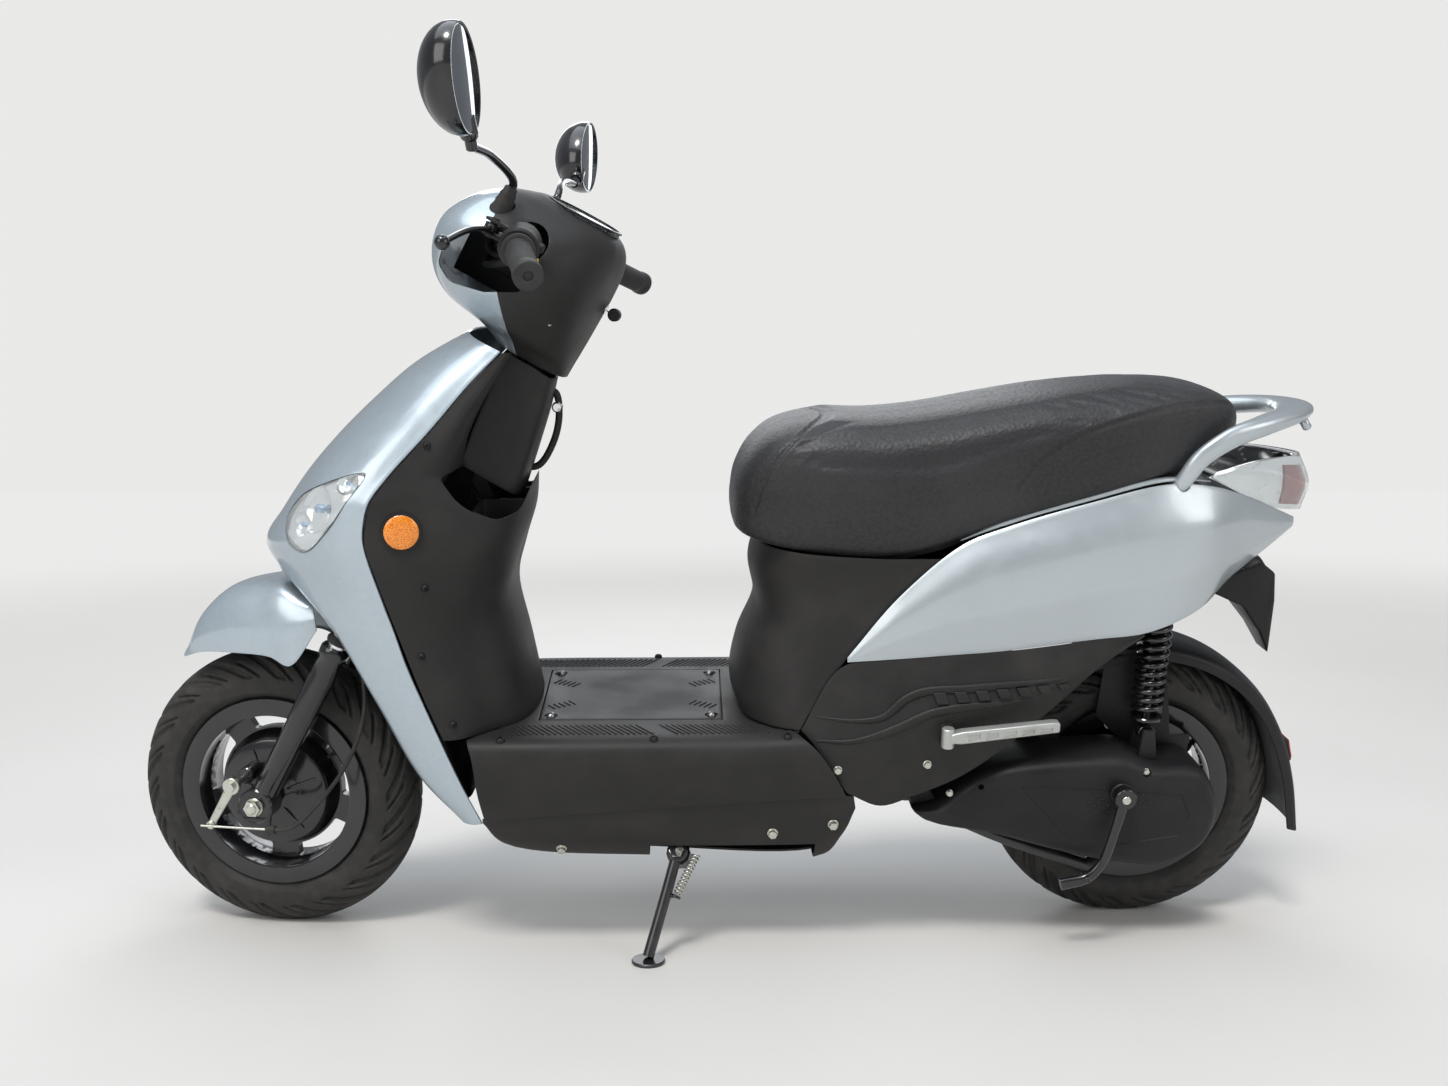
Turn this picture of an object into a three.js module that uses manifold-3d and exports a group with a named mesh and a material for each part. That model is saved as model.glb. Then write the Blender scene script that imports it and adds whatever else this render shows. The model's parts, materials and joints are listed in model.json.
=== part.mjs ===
// A seated electric scooter, parked on its side stand with the front wheel turned a little to the right.
// Millimetres. X runs from the front wheel to the tail, Y to the rider's right and Z up, with the origin
// where the rear tyre meets the ground. Every piece is shaped on the upright machine, and the whole
// machine then leans over its tyre crowns onto the side stand.
import * as THREE from 'three';
import { mergeVertices } from 'three/addons/utils/BufferGeometryUtils.js';
import ManifoldModule from 'manifold-3d';

const wasm = await ManifoldModule();
wasm.setup();

// Stance
const wheelbase = 1248;
const rake = THREE.MathUtils.degToRad(28);
const trail = 80;
const leanAngle = THREE.MathUtils.degToRad(10);
const steerAngle = THREE.MathUtils.degToRad(-10);
const rearTyreRadius = 208;
const frontTyreRadius = 208;
const crownRadius = 45;
const contactDepth = 3;

// Clearances and cutting
const gap = 0.35;
const seam = 1.2;
const runningGap = 3;
const overrun = 5;
const mergeStep = 0.001;
const panelWall = 3;

// Wheels
const beadRadius = 127;
const tyreWall = 8;
const flangeRadius = 140;
const flangeHalf = 31;
const barrelRadius = 120;
const barrelWall = 6;
const webHalf = 7;
const webInner = 88;
const drumRadius = 78;
const drumBore = 66;
const drumHalf = 30;
const axleRadius = 7.5;
const hubBore = 7.95;
const spokeCount = 5;
const spokeOpening = THREE.MathUtils.degToRad(50);

// Fork and steering
const forkHalf = 80;
const sliderRadius = 18;
const sliderLength = 262;
const sliderFoot = 26;
const stanchionRadius = 13.5;
const stanchionEngage = 150;
const forkTravel = 70;
const yokeHeight = 392;
const yokeThick = 30;
const stemRadius = 15;
const headTubeRadius = 26;
const headTubeLow = 622;
const headTubeHigh = 800;
const barHeight = 955;
const barRadius = 11;
const barHalf = 334;
const gripInner = 212;
const gripRadius = 16.5;
const gripFlange = 21;
const gripEndWall = 8;
const podInner = 158;
const podRadius = 25;
const nacelleDepth = 160;
const nacelleRise = 130;
const nacelleHalf = 150;
const nacelleSplit = 55;
const dashLong = 52;
const dashHalf = 60;
const dashThick = 6;
const fenderRadius = 285;
const fenderHalf = 66;
const brakePlateThick = 8;
const brakeArmLong = 68;
const leverLong = 128;
const leverThick = 9;
const mirrorJointHalf = 255;
const mirrorJointRise = 95;
const mirrorLong = 64;
const mirrorTall = 50;
const mirrorDeep = 22;

// Body panels
const frontSpan = 400;
const cowlHalf = 195;
const cowlHeight = 872;
const deckHeight = 345;
const deckHalf = 182;
const deckStart = 288;
const deckEnd = 433;
const lidShare = 0.4858;
const lidHalf = 102;
const lidThick = 4;
const lidStart = 99;
const rearSpan = 600;
const tailHalf = 160;
const seatHeight = 808;
const hookTube = 5;

// Seat
const seatPan = 10;
const seatChannel = 5;

// Rear suspension and drive
const caseInner = 56;
const caseOuter = 148;
const casePivotX = -325;
const casePivotZ = 228;
const shockY = -92;
const shockTopX = -6;
const shockTopZ = 520;
const shockFootX = -11;
const shockFootZ = 322;
const springRadius = 19;
const springWire = 3.4;
const springTurns = 11;
const shockRodRadius = 6;
const shockBodyRadius = 13;
const huggerRadius = 224;
const huggerHalf = 62;
const huggerWall = 4;

// Stands
const standPivotX = -668;
const standPivotY = -128;
const standPivotZ = 156;
const standFootX = -709;
const standFootReach = 209;
const standTube = 8;
const standPad = 23;
const standPadThick = 5;
const centreStandPivotX = -262;
const centreStandPivotZ = 176;
const centreStandFootX = -72;
const centreStandFootZ = 108;
const centreStandHalf = 78;
const centreStandTube = 9;

// Kick lever, foot pegs, rail
const kickX = -55;
const kickZ = 252;
const pegX = -308;
const pegZ = 352;
const pegLong = 148;
const pegWide = 17;
const pegThick = 14;
const railTube = 13;

// Frame
const railHalf = 104;
const frameTube = 13;
const downTube = 20;

const v = (x, y, z) => new THREE.Vector3(x, y, z);
const axisY = v(0, 1, 0);
const axisZ = v(0, 0, 1);
const steerAxis = v(Math.sin(rake), 0, Math.cos(rake));
const steerAcross = v(Math.cos(rake), 0, -Math.sin(rake));
const steerGround = v(-wheelbase - trail, 0, 0);
const frontAxle = v(-wheelbase, 0, frontTyreRadius);
const rearAxle = v(0, 0, rearTyreRadius);

// The point reached from another by going a distance along a direction.
const along = (point, way, distance) => point.clone().addScaledVector(way, distance);

// A point on the steering axis at a height above the ground.
const onSteerAxis = (height) => steerGround.clone().addScaledVector(steerAxis, height / Math.cos(rake));
const barCentre = onSteerAxis(barHeight);

// Solids: each three.js geometry becomes a closed solid, with its faces pointing out.
function solidOf(geometry) {
  const bare = new THREE.BufferGeometry();
  bare.setAttribute('position', geometry.getAttribute('position'));
  if (geometry.index) bare.setIndex(geometry.index);
  const merged = mergeVertices(bare, mergeStep);
  const corners = new Float32Array(merged.getAttribute('position').array);
  const triangles = new Uint32Array(merged.index.array);
  const make = () => new wasm.Manifold(new wasm.Mesh({ numProp: 3, vertProperties: corners,
    triVerts: triangles }));
  const solid = make();
  if (solid.volume() > 0) return solid;
  for (let i = 0; i < triangles.length; i += 3) {
    [triangles[i], triangles[i + 1]] = [triangles[i + 1], triangles[i]];
  }
  return make();
}

function geometryOf(solid) {
  const mesh = solid.getMesh();
  const geometry = new THREE.BufferGeometry();
  geometry.setAttribute('position', new THREE.BufferAttribute(mesh.vertProperties, 3));
  geometry.setIndex(new THREE.BufferAttribute(mesh.triVerts, 1));
  return geometry;
}

const joined = (...solids) => solids.reduce((sum, solid) => sum.add(solid));
const cutBy = (solid, ...tools) => tools.reduce((left, tool) => left.subtract(tool), solid);
const moved = (solid, matrix) => solid.transform(matrix.elements);
const mirrored = (solid) => solid.mirror([0, 1, 0]);

function box(x0, x1, y0, y1, z0, z1) {
  const geometry = new THREE.BoxGeometry(x1 - x0, y1 - y0, z1 - z0);
  return solidOf(geometry.translate((x0 + x1) / 2, (y0 + y1) / 2, (z0 + z1) / 2));
}

// A round bar from one point to another, with its own radius at each end.
function rod(from, to, radius, sides = 8, endRadius = radius) {
  const along = to.clone().sub(from);
  const geometry = new THREE.CylinderGeometry(endRadius, radius, along.length(), sides);
  geometry.applyQuaternion(new THREE.Quaternion().setFromUnitVectors(axisY, along.clone().normalize()));
  const middle = from.clone().add(to).multiplyScalar(0.5);
  return solidOf(geometry.translate(middle.x, middle.y, middle.z));
}

// A bore that clears a round bar of the given radius on every side.
const bore = (from, to, radius, sides = 8) => rod(from, to, radius / Math.cos(Math.PI / sides), sides);

// A bent tube along a curve through the points.
function pipe(points, radius, sides = 8, steps = 10) {
  const circle = [];
  for (let i = 0; i < sides; i++) {
    const turn = (i / sides) * 2 * Math.PI;
    circle.push(new THREE.Vector2(radius * Math.cos(turn), radius * Math.sin(turn)));
  }
  const path = new THREE.CatmullRomCurve3(points);
  return solidOf(new THREE.ExtrudeGeometry(new THREE.Shape(circle),
    { steps, extrudePath: path, bevelEnabled: false }));
}

// A tube that runs straight from point to point, mitred at each.
function straightPipe(points, radius, sides = 8) {
  const rings = points.map((point, i) => {
    const before = point.clone().sub(points[Math.max(i - 1, 0)]).normalize();
    const after = points[Math.min(i + 1, points.length - 1)].clone().sub(point).normalize();
    const ahead = before.add(after).normalize();
    const wide = new THREE.Vector3().crossVectors(Math.abs(ahead.z) > Math.SQRT1_2 ? axisY : axisZ,
      ahead).normalize();
    const tall = new THREE.Vector3().crossVectors(ahead, wide);
    return Array.from({ length: sides }, (_, j) => {
      const turn = (j / sides) * 2 * Math.PI;
      return point.clone().addScaledVector(wide, radius * Math.cos(turn)).addScaledVector(tall,
        radius * Math.sin(turn));
    });
  });
  return loft(rings);
}

// A closed profile of (radius, along) points turned about a line through the centre, along Y by default.
function turned(profile, centre, segments = 18, along = axisY) {
  const points = profile.map(([radius, rise]) => new THREE.Vector2(radius, rise));
  const geometry = new THREE.LatheGeometry([...points, points[0].clone()], segments);
  geometry.applyQuaternion(new THREE.Quaternion().setFromUnitVectors(axisY, along));
  return solidOf(geometry.translate(centre.x, centre.y, centre.z));
}

// An outline in X and Z, given a thickness along Y.
function slab(outline, y0, y1) {
  const shape = new THREE.Shape(outline.map(([x, z]) => new THREE.Vector2(x, z)));
  const geometry = new THREE.ExtrudeGeometry(shape, { depth: y1 - y0, bevelEnabled: false });
  return solidOf(geometry.rotateX(Math.PI / 2).translate(0, y1, 0));
}

// Rings of the same number of points, joined in order and closed at both ends.
function loft(rings) {
  const count = rings[0].length;
  const corners = rings.flat();
  const faces = [];
  for (let i = 0; i + 1 < rings.length; i++) {
    for (let j = 0; j < count; j++) {
      const a = i * count + j;
      const b = i * count + ((j + 1) % count);
      faces.push(a, b, b + count, a, b + count, a + count);
    }
  }
  for (const [start, flip] of [[0, true], [(rings.length - 1) * count, false]]) {
    const middle = corners.length;
    corners.push(corners.slice(start, start + count).reduce((sum, p) => sum.add(p),
      v(0, 0, 0)).divideScalar(count));
    for (let j = 0; j < count; j++) {
      const a = start + j;
      const b = start + ((j + 1) % count);
      faces.push(...(flip ? [b, a, middle] : [a, b, middle]));
    }
  }
  const geometry = new THREE.BufferGeometry().setFromPoints(corners);
  geometry.setIndex(faces);
  return solidOf(geometry);
}

// Rings across a path, each an ellipse with its own half width and half height. `level` is the direction
// that stays upright across the path.
function sweep(points, sizes, sides = 12, level = axisZ, steps = 4) {
  const path = new THREE.CatmullRomCurve3(points);
  const count = (points.length - 1) * steps;
  const rings = [];
  for (let i = 0; i <= count; i++) {
    const share = i / count;
    const centre = path.getPoint(share);
    const ahead = path.getTangent(share);
    const wide = new THREE.Vector3().crossVectors(level, ahead).normalize();
    const tall = new THREE.Vector3().crossVectors(ahead, wide).normalize();
    const place = share * (sizes.length - 1);
    const low = Math.min(Math.floor(place), sizes.length - 2);
    const blend = place - low;
    const halfWide = THREE.MathUtils.lerp(sizes[low][0], sizes[low + 1][0], blend);
    const halfTall = THREE.MathUtils.lerp(sizes[low][1], sizes[low + 1][1], blend);
    const ring = [];
    for (let j = 0; j < sides; j++) {
      const turn = ((j + 0.5) / sides) * 2 * Math.PI;
      ring.push(centre.clone().addScaledVector(wide, halfWide * Math.cos(turn))
        .addScaledVector(tall, halfTall * Math.sin(turn)));
    }
    rings.push(ring);
  }
  return loft(rings);
}

// A smooth grid of points through rows of control points.
function smoothGrid(rows, across, down) {
  const smooth = (points, steps) => {
    const curve = new THREE.CatmullRomCurve3(points, false, 'centripetal');
    const total = (points.length - 1) * steps;
    return Array.from({ length: total + 1 }, (_, i) => curve.getPoint(i / total));
  };
  const wide = rows.map((row) => smooth(row, across));
  if (down === 1) return wide;
  const columns = wide[0].map((_, j) => smooth(wide.map((row) => row[j]), down));
  return columns[0].map((_, i) => columns.map((column) => column[i]));
}

// The direction square to a grid at each of its points, on the side that faces the core point.
function gridNormals(grid, core) {
  const at = (i, j) => grid[Math.min(Math.max(i, 0), grid.length - 1)][Math.min(Math.max(j, 0),
    grid[0].length - 1)];
  const normals = grid.map((row, i) => row.map((_, j) => {
    const along = at(i + 1, j).clone().sub(at(i - 1, j));
    const over = at(i, j + 1).clone().sub(at(i, j - 1));
    return along.cross(over).normalize();
  }));
  const i = Math.floor(grid.length / 2);
  const j = Math.floor(grid[0].length / 2);
  const side = Math.sign(normals[i][j].dot(core.clone().sub(grid[i][j])));
  return normals.map((row) => row.map((normal) => normal.multiplyScalar(side)));
}

// A moulded wall on a smooth grid: `sink` sets its outer face below the grid, and `wall` is its thickness,
// both towards the core point. A point on the centre plane stays on it.
function skin(rows, core, { wall = panelWall, sink = 0, across = 2, down = 2 } = {}) {
  const grid = smoothGrid(rows, across, down);
  const normals = gridNormals(grid, core);
  const offset = (depth) => grid.map((row, i) => row.map((point, j) => {
    const normal = normals[i][j].clone();
    if (point.y === 0) normal.setY(0).normalize();
    return point.clone().addScaledVector(normal, depth);
  }));
  const outer = offset(sink);
  const inner = offset(sink + wall);
  const width = grid[0].length;
  const size = grid.length * width;
  const faces = [];
  const quad = (a, b, c, d) => faces.push(a, b, c, a, c, d);
  for (let i = 0; i + 1 < grid.length; i++) {
    for (let j = 0; j + 1 < width; j++) {
      const a = i * width + j;
      quad(a, a + 1, a + width + 1, a + width);
      quad(size + a, size + a + width, size + a + width + 1, size + a + 1);
    }
  }
  for (let i = 0; i + 1 < grid.length; i++) {
    const left = i * width;
    const right = left + width - 1;
    quad(left, left + width, size + left + width, size + left);
    quad(right + width, right, size + right, size + right + width);
  }
  for (let j = 0; j + 1 < width; j++) {
    const last = (grid.length - 1) * width + j;
    quad(j + 1, j, size + j, size + j + 1);
    quad(last, last + 1, size + last + 1, size + last);
  }
  const geometry = new THREE.BufferGeometry().setFromPoints([...outer.flat(), ...inner.flat()]);
  geometry.setIndex(faces);
  return solidOf(geometry);
}

// The left half's rows and the same rows carried over to the right half, as one row each.
const bothSides = (rows) => rows.map((row) => [...row,
  ...row.slice(0, -1).reverse().map((p) => v(p.x, -p.y, p.z))]);

// Frames of the body: the front block hangs on the front axle, the deck runs between the front and the
// rear block, and the rear block hangs on the rear axle.
const frontPoint = ([a, b, c]) => v(-wheelbase + a * frontSpan, b * cowlHalf,
  deckHeight + c * (cowlHeight - deckHeight));
const rearPoint = ([a, b, c]) => v(a * rearSpan, b * tailHalf, deckHeight + c * (seatHeight - deckHeight));
const deckFront = -wheelbase + deckStart;
const deckLong = -deckEnd - deckFront;
const deckPoint = ([a, b, c]) => v(THREE.MathUtils.lerp(deckFront, -deckEnd, a), b * deckHalf, c * deckHeight);
const headPoint = (across, side, along) => barCentre.clone().addScaledVector(steerAcross, across)
  .addScaledVector(axisY, side).addScaledVector(steerAxis, along);
const rowsOf = (table, point) => table.map((row) => row.map(point));

// Parts: groups for what leans, what steers, what the fork carries.
const scooter = new THREE.Group();
const pivotGroup = (parent, point, axis, angle) => {
  const group = new THREE.Group();
  group.quaternion.setFromAxisAngle(axis, angle);
  group.position.copy(point).sub(point.clone().applyQuaternion(group.quaternion));
  parent.add(group);
  return group;
};
const leaning = pivotGroup(scooter, v(0, 0, crownRadius), v(1, 0, 0), leanAngle);
const steering = pivotGroup(leaning, steerGround, steerAxis, steerAngle);

// Turning the raked fork lifts or drops the front wheel, so the fork slides until the tyre touches the
// ground by as much as the rear tyre does.
const sliding = new THREE.Group();
steering.add(sliding);
scooter.updateMatrixWorld(true);
const wheelAcross = axisY.clone().transformDirection(steering.matrixWorld);
const axleWorld = frontAxle.clone().applyMatrix4(steering.matrixWorld);
const tyreDrop = (frontTyreRadius - crownRadius) * Math.sqrt(1 - wheelAcross.z ** 2) + crownRadius;
const slideWorld = steerAxis.clone().transformDirection(steering.matrixWorld);
const forkSettle = (tyreDrop - contactDepth - axleWorld.z) / slideWorld.z;
sliding.position.copy(steerAxis).multiplyScalar(forkSettle);
const rearWheelLift = v(0, 0, -contactDepth / Math.cos(leanAngle));
scooter.updateMatrixWorld(true);

const paint = (color, roughness,
  metalness = 0) => new THREE.MeshStandardMaterial({ color, roughness, metalness });
const finishes = {
  pearl: paint(0xb9cbd8, 0.3, 0.35),
  plastic: paint(0x2b2a28, 0.65),
  darkPlastic: paint(0x1c1c1e, 0.6),
  gloss: paint(0x0d0d0f, 0.2, 0.4),
  chrome: paint(0xd0d4d8, 0.12, 1),
  zinc: paint(0xb5b8a8, 0.35, 0.9),
  rubber: paint(0x202022, 0.85),
  vinyl: paint(0x26262a, 0.55),
  silver: paint(0xc9d2d6, 0.3, 0.5),
  lens: paint(0xe6eef2, 0.08),
  tail: paint(0xa83236, 0.15),
  peg: paint(0xc6c8c4, 0.5, 0.4),
  battery: paint(0x3a4048, 0.5),
  glass: paint(0xaab4bc, 0.05, 0.9),
};

function part(parent, name, solid, material) {
  const mesh = new THREE.Mesh(geometryOf(solid), material);
  mesh.name = name;
  parent.add(mesh);
  return mesh;
}

function pair(parent, name, solid, material) {
  part(parent, `${name}_left`, solid, material);
  part(parent, `${name}_right`, mirrored(solid), material);
}

// Wheels: a cast rim with five openings round a brake drum, and a tyre with a flat where it bears.
const ringPoints = (radius, from, to, steps) => Array.from({ length: steps + 1 }, (_, i) => {
  const turn = THREE.MathUtils.lerp(from, to, i / steps);
  return [radius * Math.cos(turn), radius * Math.sin(turn)];
});

function tyreSolid(centre, tyreRadius) {
  const middle = tyreRadius - crownRadius;
  const beadHalf = flangeHalf - gap;
  const rimEdge = flangeRadius + gap;
  const outer = ringPoints(crownRadius, -0.6 * Math.PI, 0.6 * Math.PI, 5).map(([r, y]) => [middle + r, y]);
  const inner = ringPoints(crownRadius - 2 * tyreWall, 0.5 * Math.PI, -0.5 * Math.PI,
    1).map(([r, y]) => [middle + r, y]);
  const seat = beadRadius + gap;
  return turned([[seat, -beadHalf], [rimEdge, -beadHalf], ...outer, [rimEdge, beadHalf], [seat, beadHalf],
    [seat, beadHalf - tyreWall], ...inner,
    [seat, tyreWall - beadHalf]], centre);
}

function rimSolid(centre) {
  const inner = barrelRadius - barrelWall;
  const profile = [[hubBore, -drumHalf], [drumBore - drumHalf, -drumHalf], [drumBore - drumHalf, webHalf],
    [drumBore, webHalf], [drumBore, -drumHalf], [drumRadius, -drumHalf], [webInner, -webHalf],
      [inner, -webHalf],
    [inner, -flangeHalf - barrelWall], [flangeRadius, -flangeHalf - barrelWall],
    [flangeRadius, -flangeHalf], [beadRadius, -flangeHalf], [beadRadius, flangeHalf],
      [flangeRadius, flangeHalf],
    [flangeRadius, flangeHalf + barrelWall], [inner, flangeHalf + barrelWall], [inner, webHalf],
      [webInner, webHalf], [drumRadius, drumHalf], [hubBore, drumHalf]];
  let rim = turned(profile, centre);
  for (let i = 0; i < spokeCount; i++) {
    const middle = ((i + 0.25) / spokeCount) * 2 * Math.PI;
    const outline = [...ringPoints(inner - barrelWall / 2, middle - spokeOpening / 2, middle + spokeOpening / 2,
      3),
      ...ringPoints(webInner + barrelWall / 2, middle + spokeOpening / 2, middle - spokeOpening / 2, 2)];
    rim = rim.subtract(slab(outline.map(([x, z]) => [centre.x + x, centre.z + z]), -drumHalf, drumHalf));
  }
  return rim;
}

// The ground cuts a small flat into each tyre.
function flatOnGround(mesh) {
  const ground = box(-2 * wheelbase, wheelbase, -wheelbase, wheelbase, -crownRadius, 0);
  mesh.updateWorldMatrix(true, false);
  const world = moved(solidOf(mesh.geometry), mesh.matrixWorld);
  mesh.geometry = geometryOf(moved(world.subtract(ground), mesh.matrixWorld.clone().invert()));
}

const rearHub = rearAxle.clone().add(rearWheelLift);
part(sliding, 'front_rim', rimSolid(frontAxle), finishes.gloss);
const frontTyre = part(sliding, 'front_tyre', tyreSolid(frontAxle, frontTyreRadius), finishes.rubber);
part(leaning, 'rear_rim', rimSolid(rearHub), finishes.gloss);
const rearTyre = part(leaning, 'rear_tyre', tyreSolid(rearHub, rearTyreRadius), finishes.rubber);
flatOnGround(frontTyre);
flatOnGround(rearTyre);

// Front fork: sliders with axle feet, a spindle through the hub, and the tree with its two stanchions.
const forkPoint = (along, side) => frontAxle.clone().addScaledVector(steerAxis, along).setY(side);

function sliderSolid(side) {
  const body = rod(forkPoint(-sliderFoot / 2, side), forkPoint(sliderLength, side), sliderRadius, 8);
  const lip = rod(forkPoint(sliderLength - sliderFoot / 2, side), forkPoint(sliderLength, side),
    sliderRadius + panelWall, 8);
  const foot = rod(frontAxle.clone().setY(side - sliderRadius), frontAxle.clone().setY(side + sliderRadius),
    sliderFoot, 8);
  const well = rod(forkPoint(stanchionEngage - forkTravel - 2 * runningGap, side),
    forkPoint(sliderLength + overrun, side), stanchionRadius + gap, 8);
  const eye = bore(frontAxle.clone().setY(side - 2 * sliderFoot), frontAxle.clone().setY(side + 2 * sliderFoot),
    axleRadius + gap);
  return cutBy(joined(body, lip, foot), well, eye);
}
part(sliding, 'fork_slider_left', sliderSolid(-forkHalf), finishes.gloss);
part(sliding, 'fork_slider_right', sliderSolid(forkHalf), finishes.gloss);

const axleEnd = forkHalf + sliderRadius + gap;
const nutThick = 10;
const nutRadius = 12;
part(sliding, 'front_axle', joined(
  rod(frontAxle.clone().setY(-axleEnd - nutThick), frontAxle.clone().setY(axleEnd + nutThick), axleRadius),
  rod(frontAxle.clone().setY(-axleEnd - nutThick), frontAxle.clone().setY(-axleEnd), nutRadius, 6),
  rod(frontAxle.clone().setY(axleEnd), frontAxle.clone().setY(axleEnd + nutThick), nutRadius, 6),
), finishes.zinc);

const treeAlong = yokeHeight;
const stanchionSolid = (side) => rod(forkPoint(stanchionEngage, side),
  forkPoint(treeAlong + yokeThick / 2, side), stanchionRadius, 8);
const yokeCentre = forkPoint(treeAlong, 0);
const stemFoot = onSteerAxis(yokeCentre.z);
const yokeOutline = [[-forkHalf, -sliderRadius], [forkHalf, -sliderRadius], [forkHalf + sliderRadius, 0],
  [forkHalf, sliderRadius],
  [sliderRadius, 2 * sliderRadius + trail / 4], [-sliderRadius, 2 * sliderRadius + trail / 4],
    [-forkHalf, sliderRadius], [-forkHalf - sliderRadius, 0]];
const yokeShape = new THREE.Shape(yokeOutline.map(([x, y]) => new THREE.Vector2(x, y)));
const yokePlate = new THREE.ExtrudeGeometry(yokeShape, { depth: yokeThick, bevelEnabled: false });
yokePlate.translate(0, 0, -yokeThick / 2);
yokePlate.applyMatrix4(new THREE.Matrix4().makeBasis(axisY, steerAcross, steerAxis.clone().negate()));
yokePlate.translate(yokeCentre.x, yokeCentre.y, yokeCentre.z);
const stemTop = headPoint(0, 0, -2 * barRadius);
part(steering, 'fork_tree', joined(stanchionSolid(-forkHalf), stanchionSolid(forkHalf), solidOf(yokePlate),
  rod(stemFoot, stemTop, stemRadius)), finishes.chrome);

// Front brake: a plate that closes the drum, its cam arm, and the cable that runs up the left slider.
const plateY = -drumHalf - gap;
const plateFace = plateY - brakePlateThick;
const camAlong = 38;
const camCentre = frontAxle.clone().addScaledVector(steerAcross, -camAlong).addScaledVector(steerAxis,
  camAlong / 2);
const plateRing = [[hubBore, plateY], [drumRadius, plateY], [drumRadius, plateY - brakePlateThick / 2],
  [drumRadius / 2, plateFace], [sliderRadius, plateFace - brakePlateThick],
    [hubBore, plateFace - brakePlateThick]];
part(sliding, 'front_brake_plate', joined(turned(plateRing, frontAxle, 12),
  rod(camCentre.clone().setY(plateFace + brakePlateThick / 2),
    camCentre.clone().setY(-forkHalf + sliderRadius / 2), nutRadius),
  ), finishes.gloss);

// A block square to the fork: across, sideways and along the steering axis from the front axle.
function forkBlock(across0, across1, side0, side1, along0, along1) {
  const geometry = new THREE.BoxGeometry(side1 - side0, across1 - across0, along1 - along0);
  geometry.translate((side0 + side1) / 2, (across0 + across1) / 2, -(along0 + along1) / 2);
  geometry.applyMatrix4(new THREE.Matrix4().makeBasis(axisY, steerAcross, steerAxis.clone().negate()));
  return solidOf(geometry.translate(frontAxle.x, frontAxle.y, frontAxle.z));
}

const armThick = 6;
const armY = -forkHalf - sliderRadius - 2 * armThick;
const camPin = 5;
const armFoot = camCentre.clone().add(v(-brakeArmLong / 2, 0, -brakeArmLong * 0.86)).setY(armY);
const camHead = camCentre.clone().setY(armY);
part(sliding, 'front_brake_arm', joined(
  rod(camHead.clone().setY(armY - armThick), camHead.clone().setY(armY + armThick / 2), nutRadius),
  sweep([camHead, camHead.clone().lerp(armFoot, 0.5), armFoot],
    [[armThick, armThick / 2], [armThick, armThick / 2]], 8, axisY, 1),
  rod(armFoot.clone().setY(armY - armThick), armFoot.clone().setY(armY + armThick), armThick),
  rod(camHead.clone().setY(armY), camHead.clone().setY(-forkHalf + sliderRadius / 2 - gap), camPin),
), finishes.zinc);

const cableRadius = 3;
const cableY = armY - armThick - cableRadius / 2 - gap;
const stopX = frontAxle.x + sliderFoot;
const cableSpan = 100;
const cableShares = [[1.12, -0.99, 2.4], [1.48, -0.94, 3], [1.64, -0.9, 3.6], [1.58, -0.86, 4.2],
  [1.46, -0.82, 4.46]];
const cableRun = [v(stopX, cableY, armFoot.z),
  v(-wheelbase + 0.62 * cableSpan, cableY, armFoot.z + 0.04 * cableSpan),
  ...cableShares.map(([a, b, c]) => v(-wheelbase + a * cableSpan, b * cableSpan, c * cableSpan))];
const cableRod = rod(armFoot.clone().add(v(-2 * armThick, 0, 0)).setY(cableY),
  v(stopX + cableRadius, cableY, armFoot.z), cableRadius / 2, 6);
part(sliding, 'front_brake_cable', joined(pipe(cableRun, cableRadius, 6, 8), cableRod,
  rod(v(stopX, cableY, armFoot.z), v(stopX + sliderFoot / 2, cableY, armFoot.z), 2 * cableRadius, 8)),
    finishes.rubber);

// Front fender: a crowned shell over the tyre, strapped to the underside of the fork tree.
const fenderShares = [
  [[-0.302, -0.50, 0.710], [-0.308, -0.40, 0.716], [-0.316, -0.24, 0.722], [-0.320, 0, 0.726]],
  [[-0.205, -0.66, 0.728], [-0.225, -0.62, 0.768], [-0.245, -0.40, 0.802], [-0.255, 0, 0.812]],
  [[-0.080, -0.80, 0.735], [-0.092, -0.78, 0.802], [-0.125, -0.54, 0.866], [-0.140, 0, 0.882]],
  [[0.065, -0.90, 0.733], [0.050, -0.89, 0.812], [0.005, -0.64, 0.890], [-0.015, 0, 0.902]],
  [[0.145, -0.96, 0.715], [0.140, -0.95, 0.820], [0.105, -0.70, 0.898], [0.090, 0, 0.908]],
  [[0.245, -0.94, 0.804], [0.240, -0.93, 0.838], [0.210, -0.68, 0.880], [0.185, 0, 0.886]],
];
const fenderRise = 575;
const fenderWide = 96;
const fenderPoint = ([a, b, c]) => v(-wheelbase + a * frontSpan, b * fenderWide, c * fenderRise);
const fenderRows = bothSides(rowsOf(fenderShares, fenderPoint));
const strapTop = yokeHeight - yokeThick / 2 - gap;
const strapThick = 5;
const strapHalf = 26;
const strapStart = forkPoint(strapTop - strapThick / 2, 0);
const strapEnd = fenderPoint([0.175, 0, 0.884]);
part(steering, 'front_fender', joined(skin(fenderRows, frontAxle, { across: 1, down: 2 }),
  forkBlock(-strapHalf, strapHalf / 2, -strapHalf, strapHalf, strapTop - strapThick, strapTop),
  sweep([strapStart, strapEnd], [[strapHalf, strapThick / 2], [strapHalf, strapThick / 2]], 6, axisZ, 1)),
    finishes.pearl);

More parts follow.
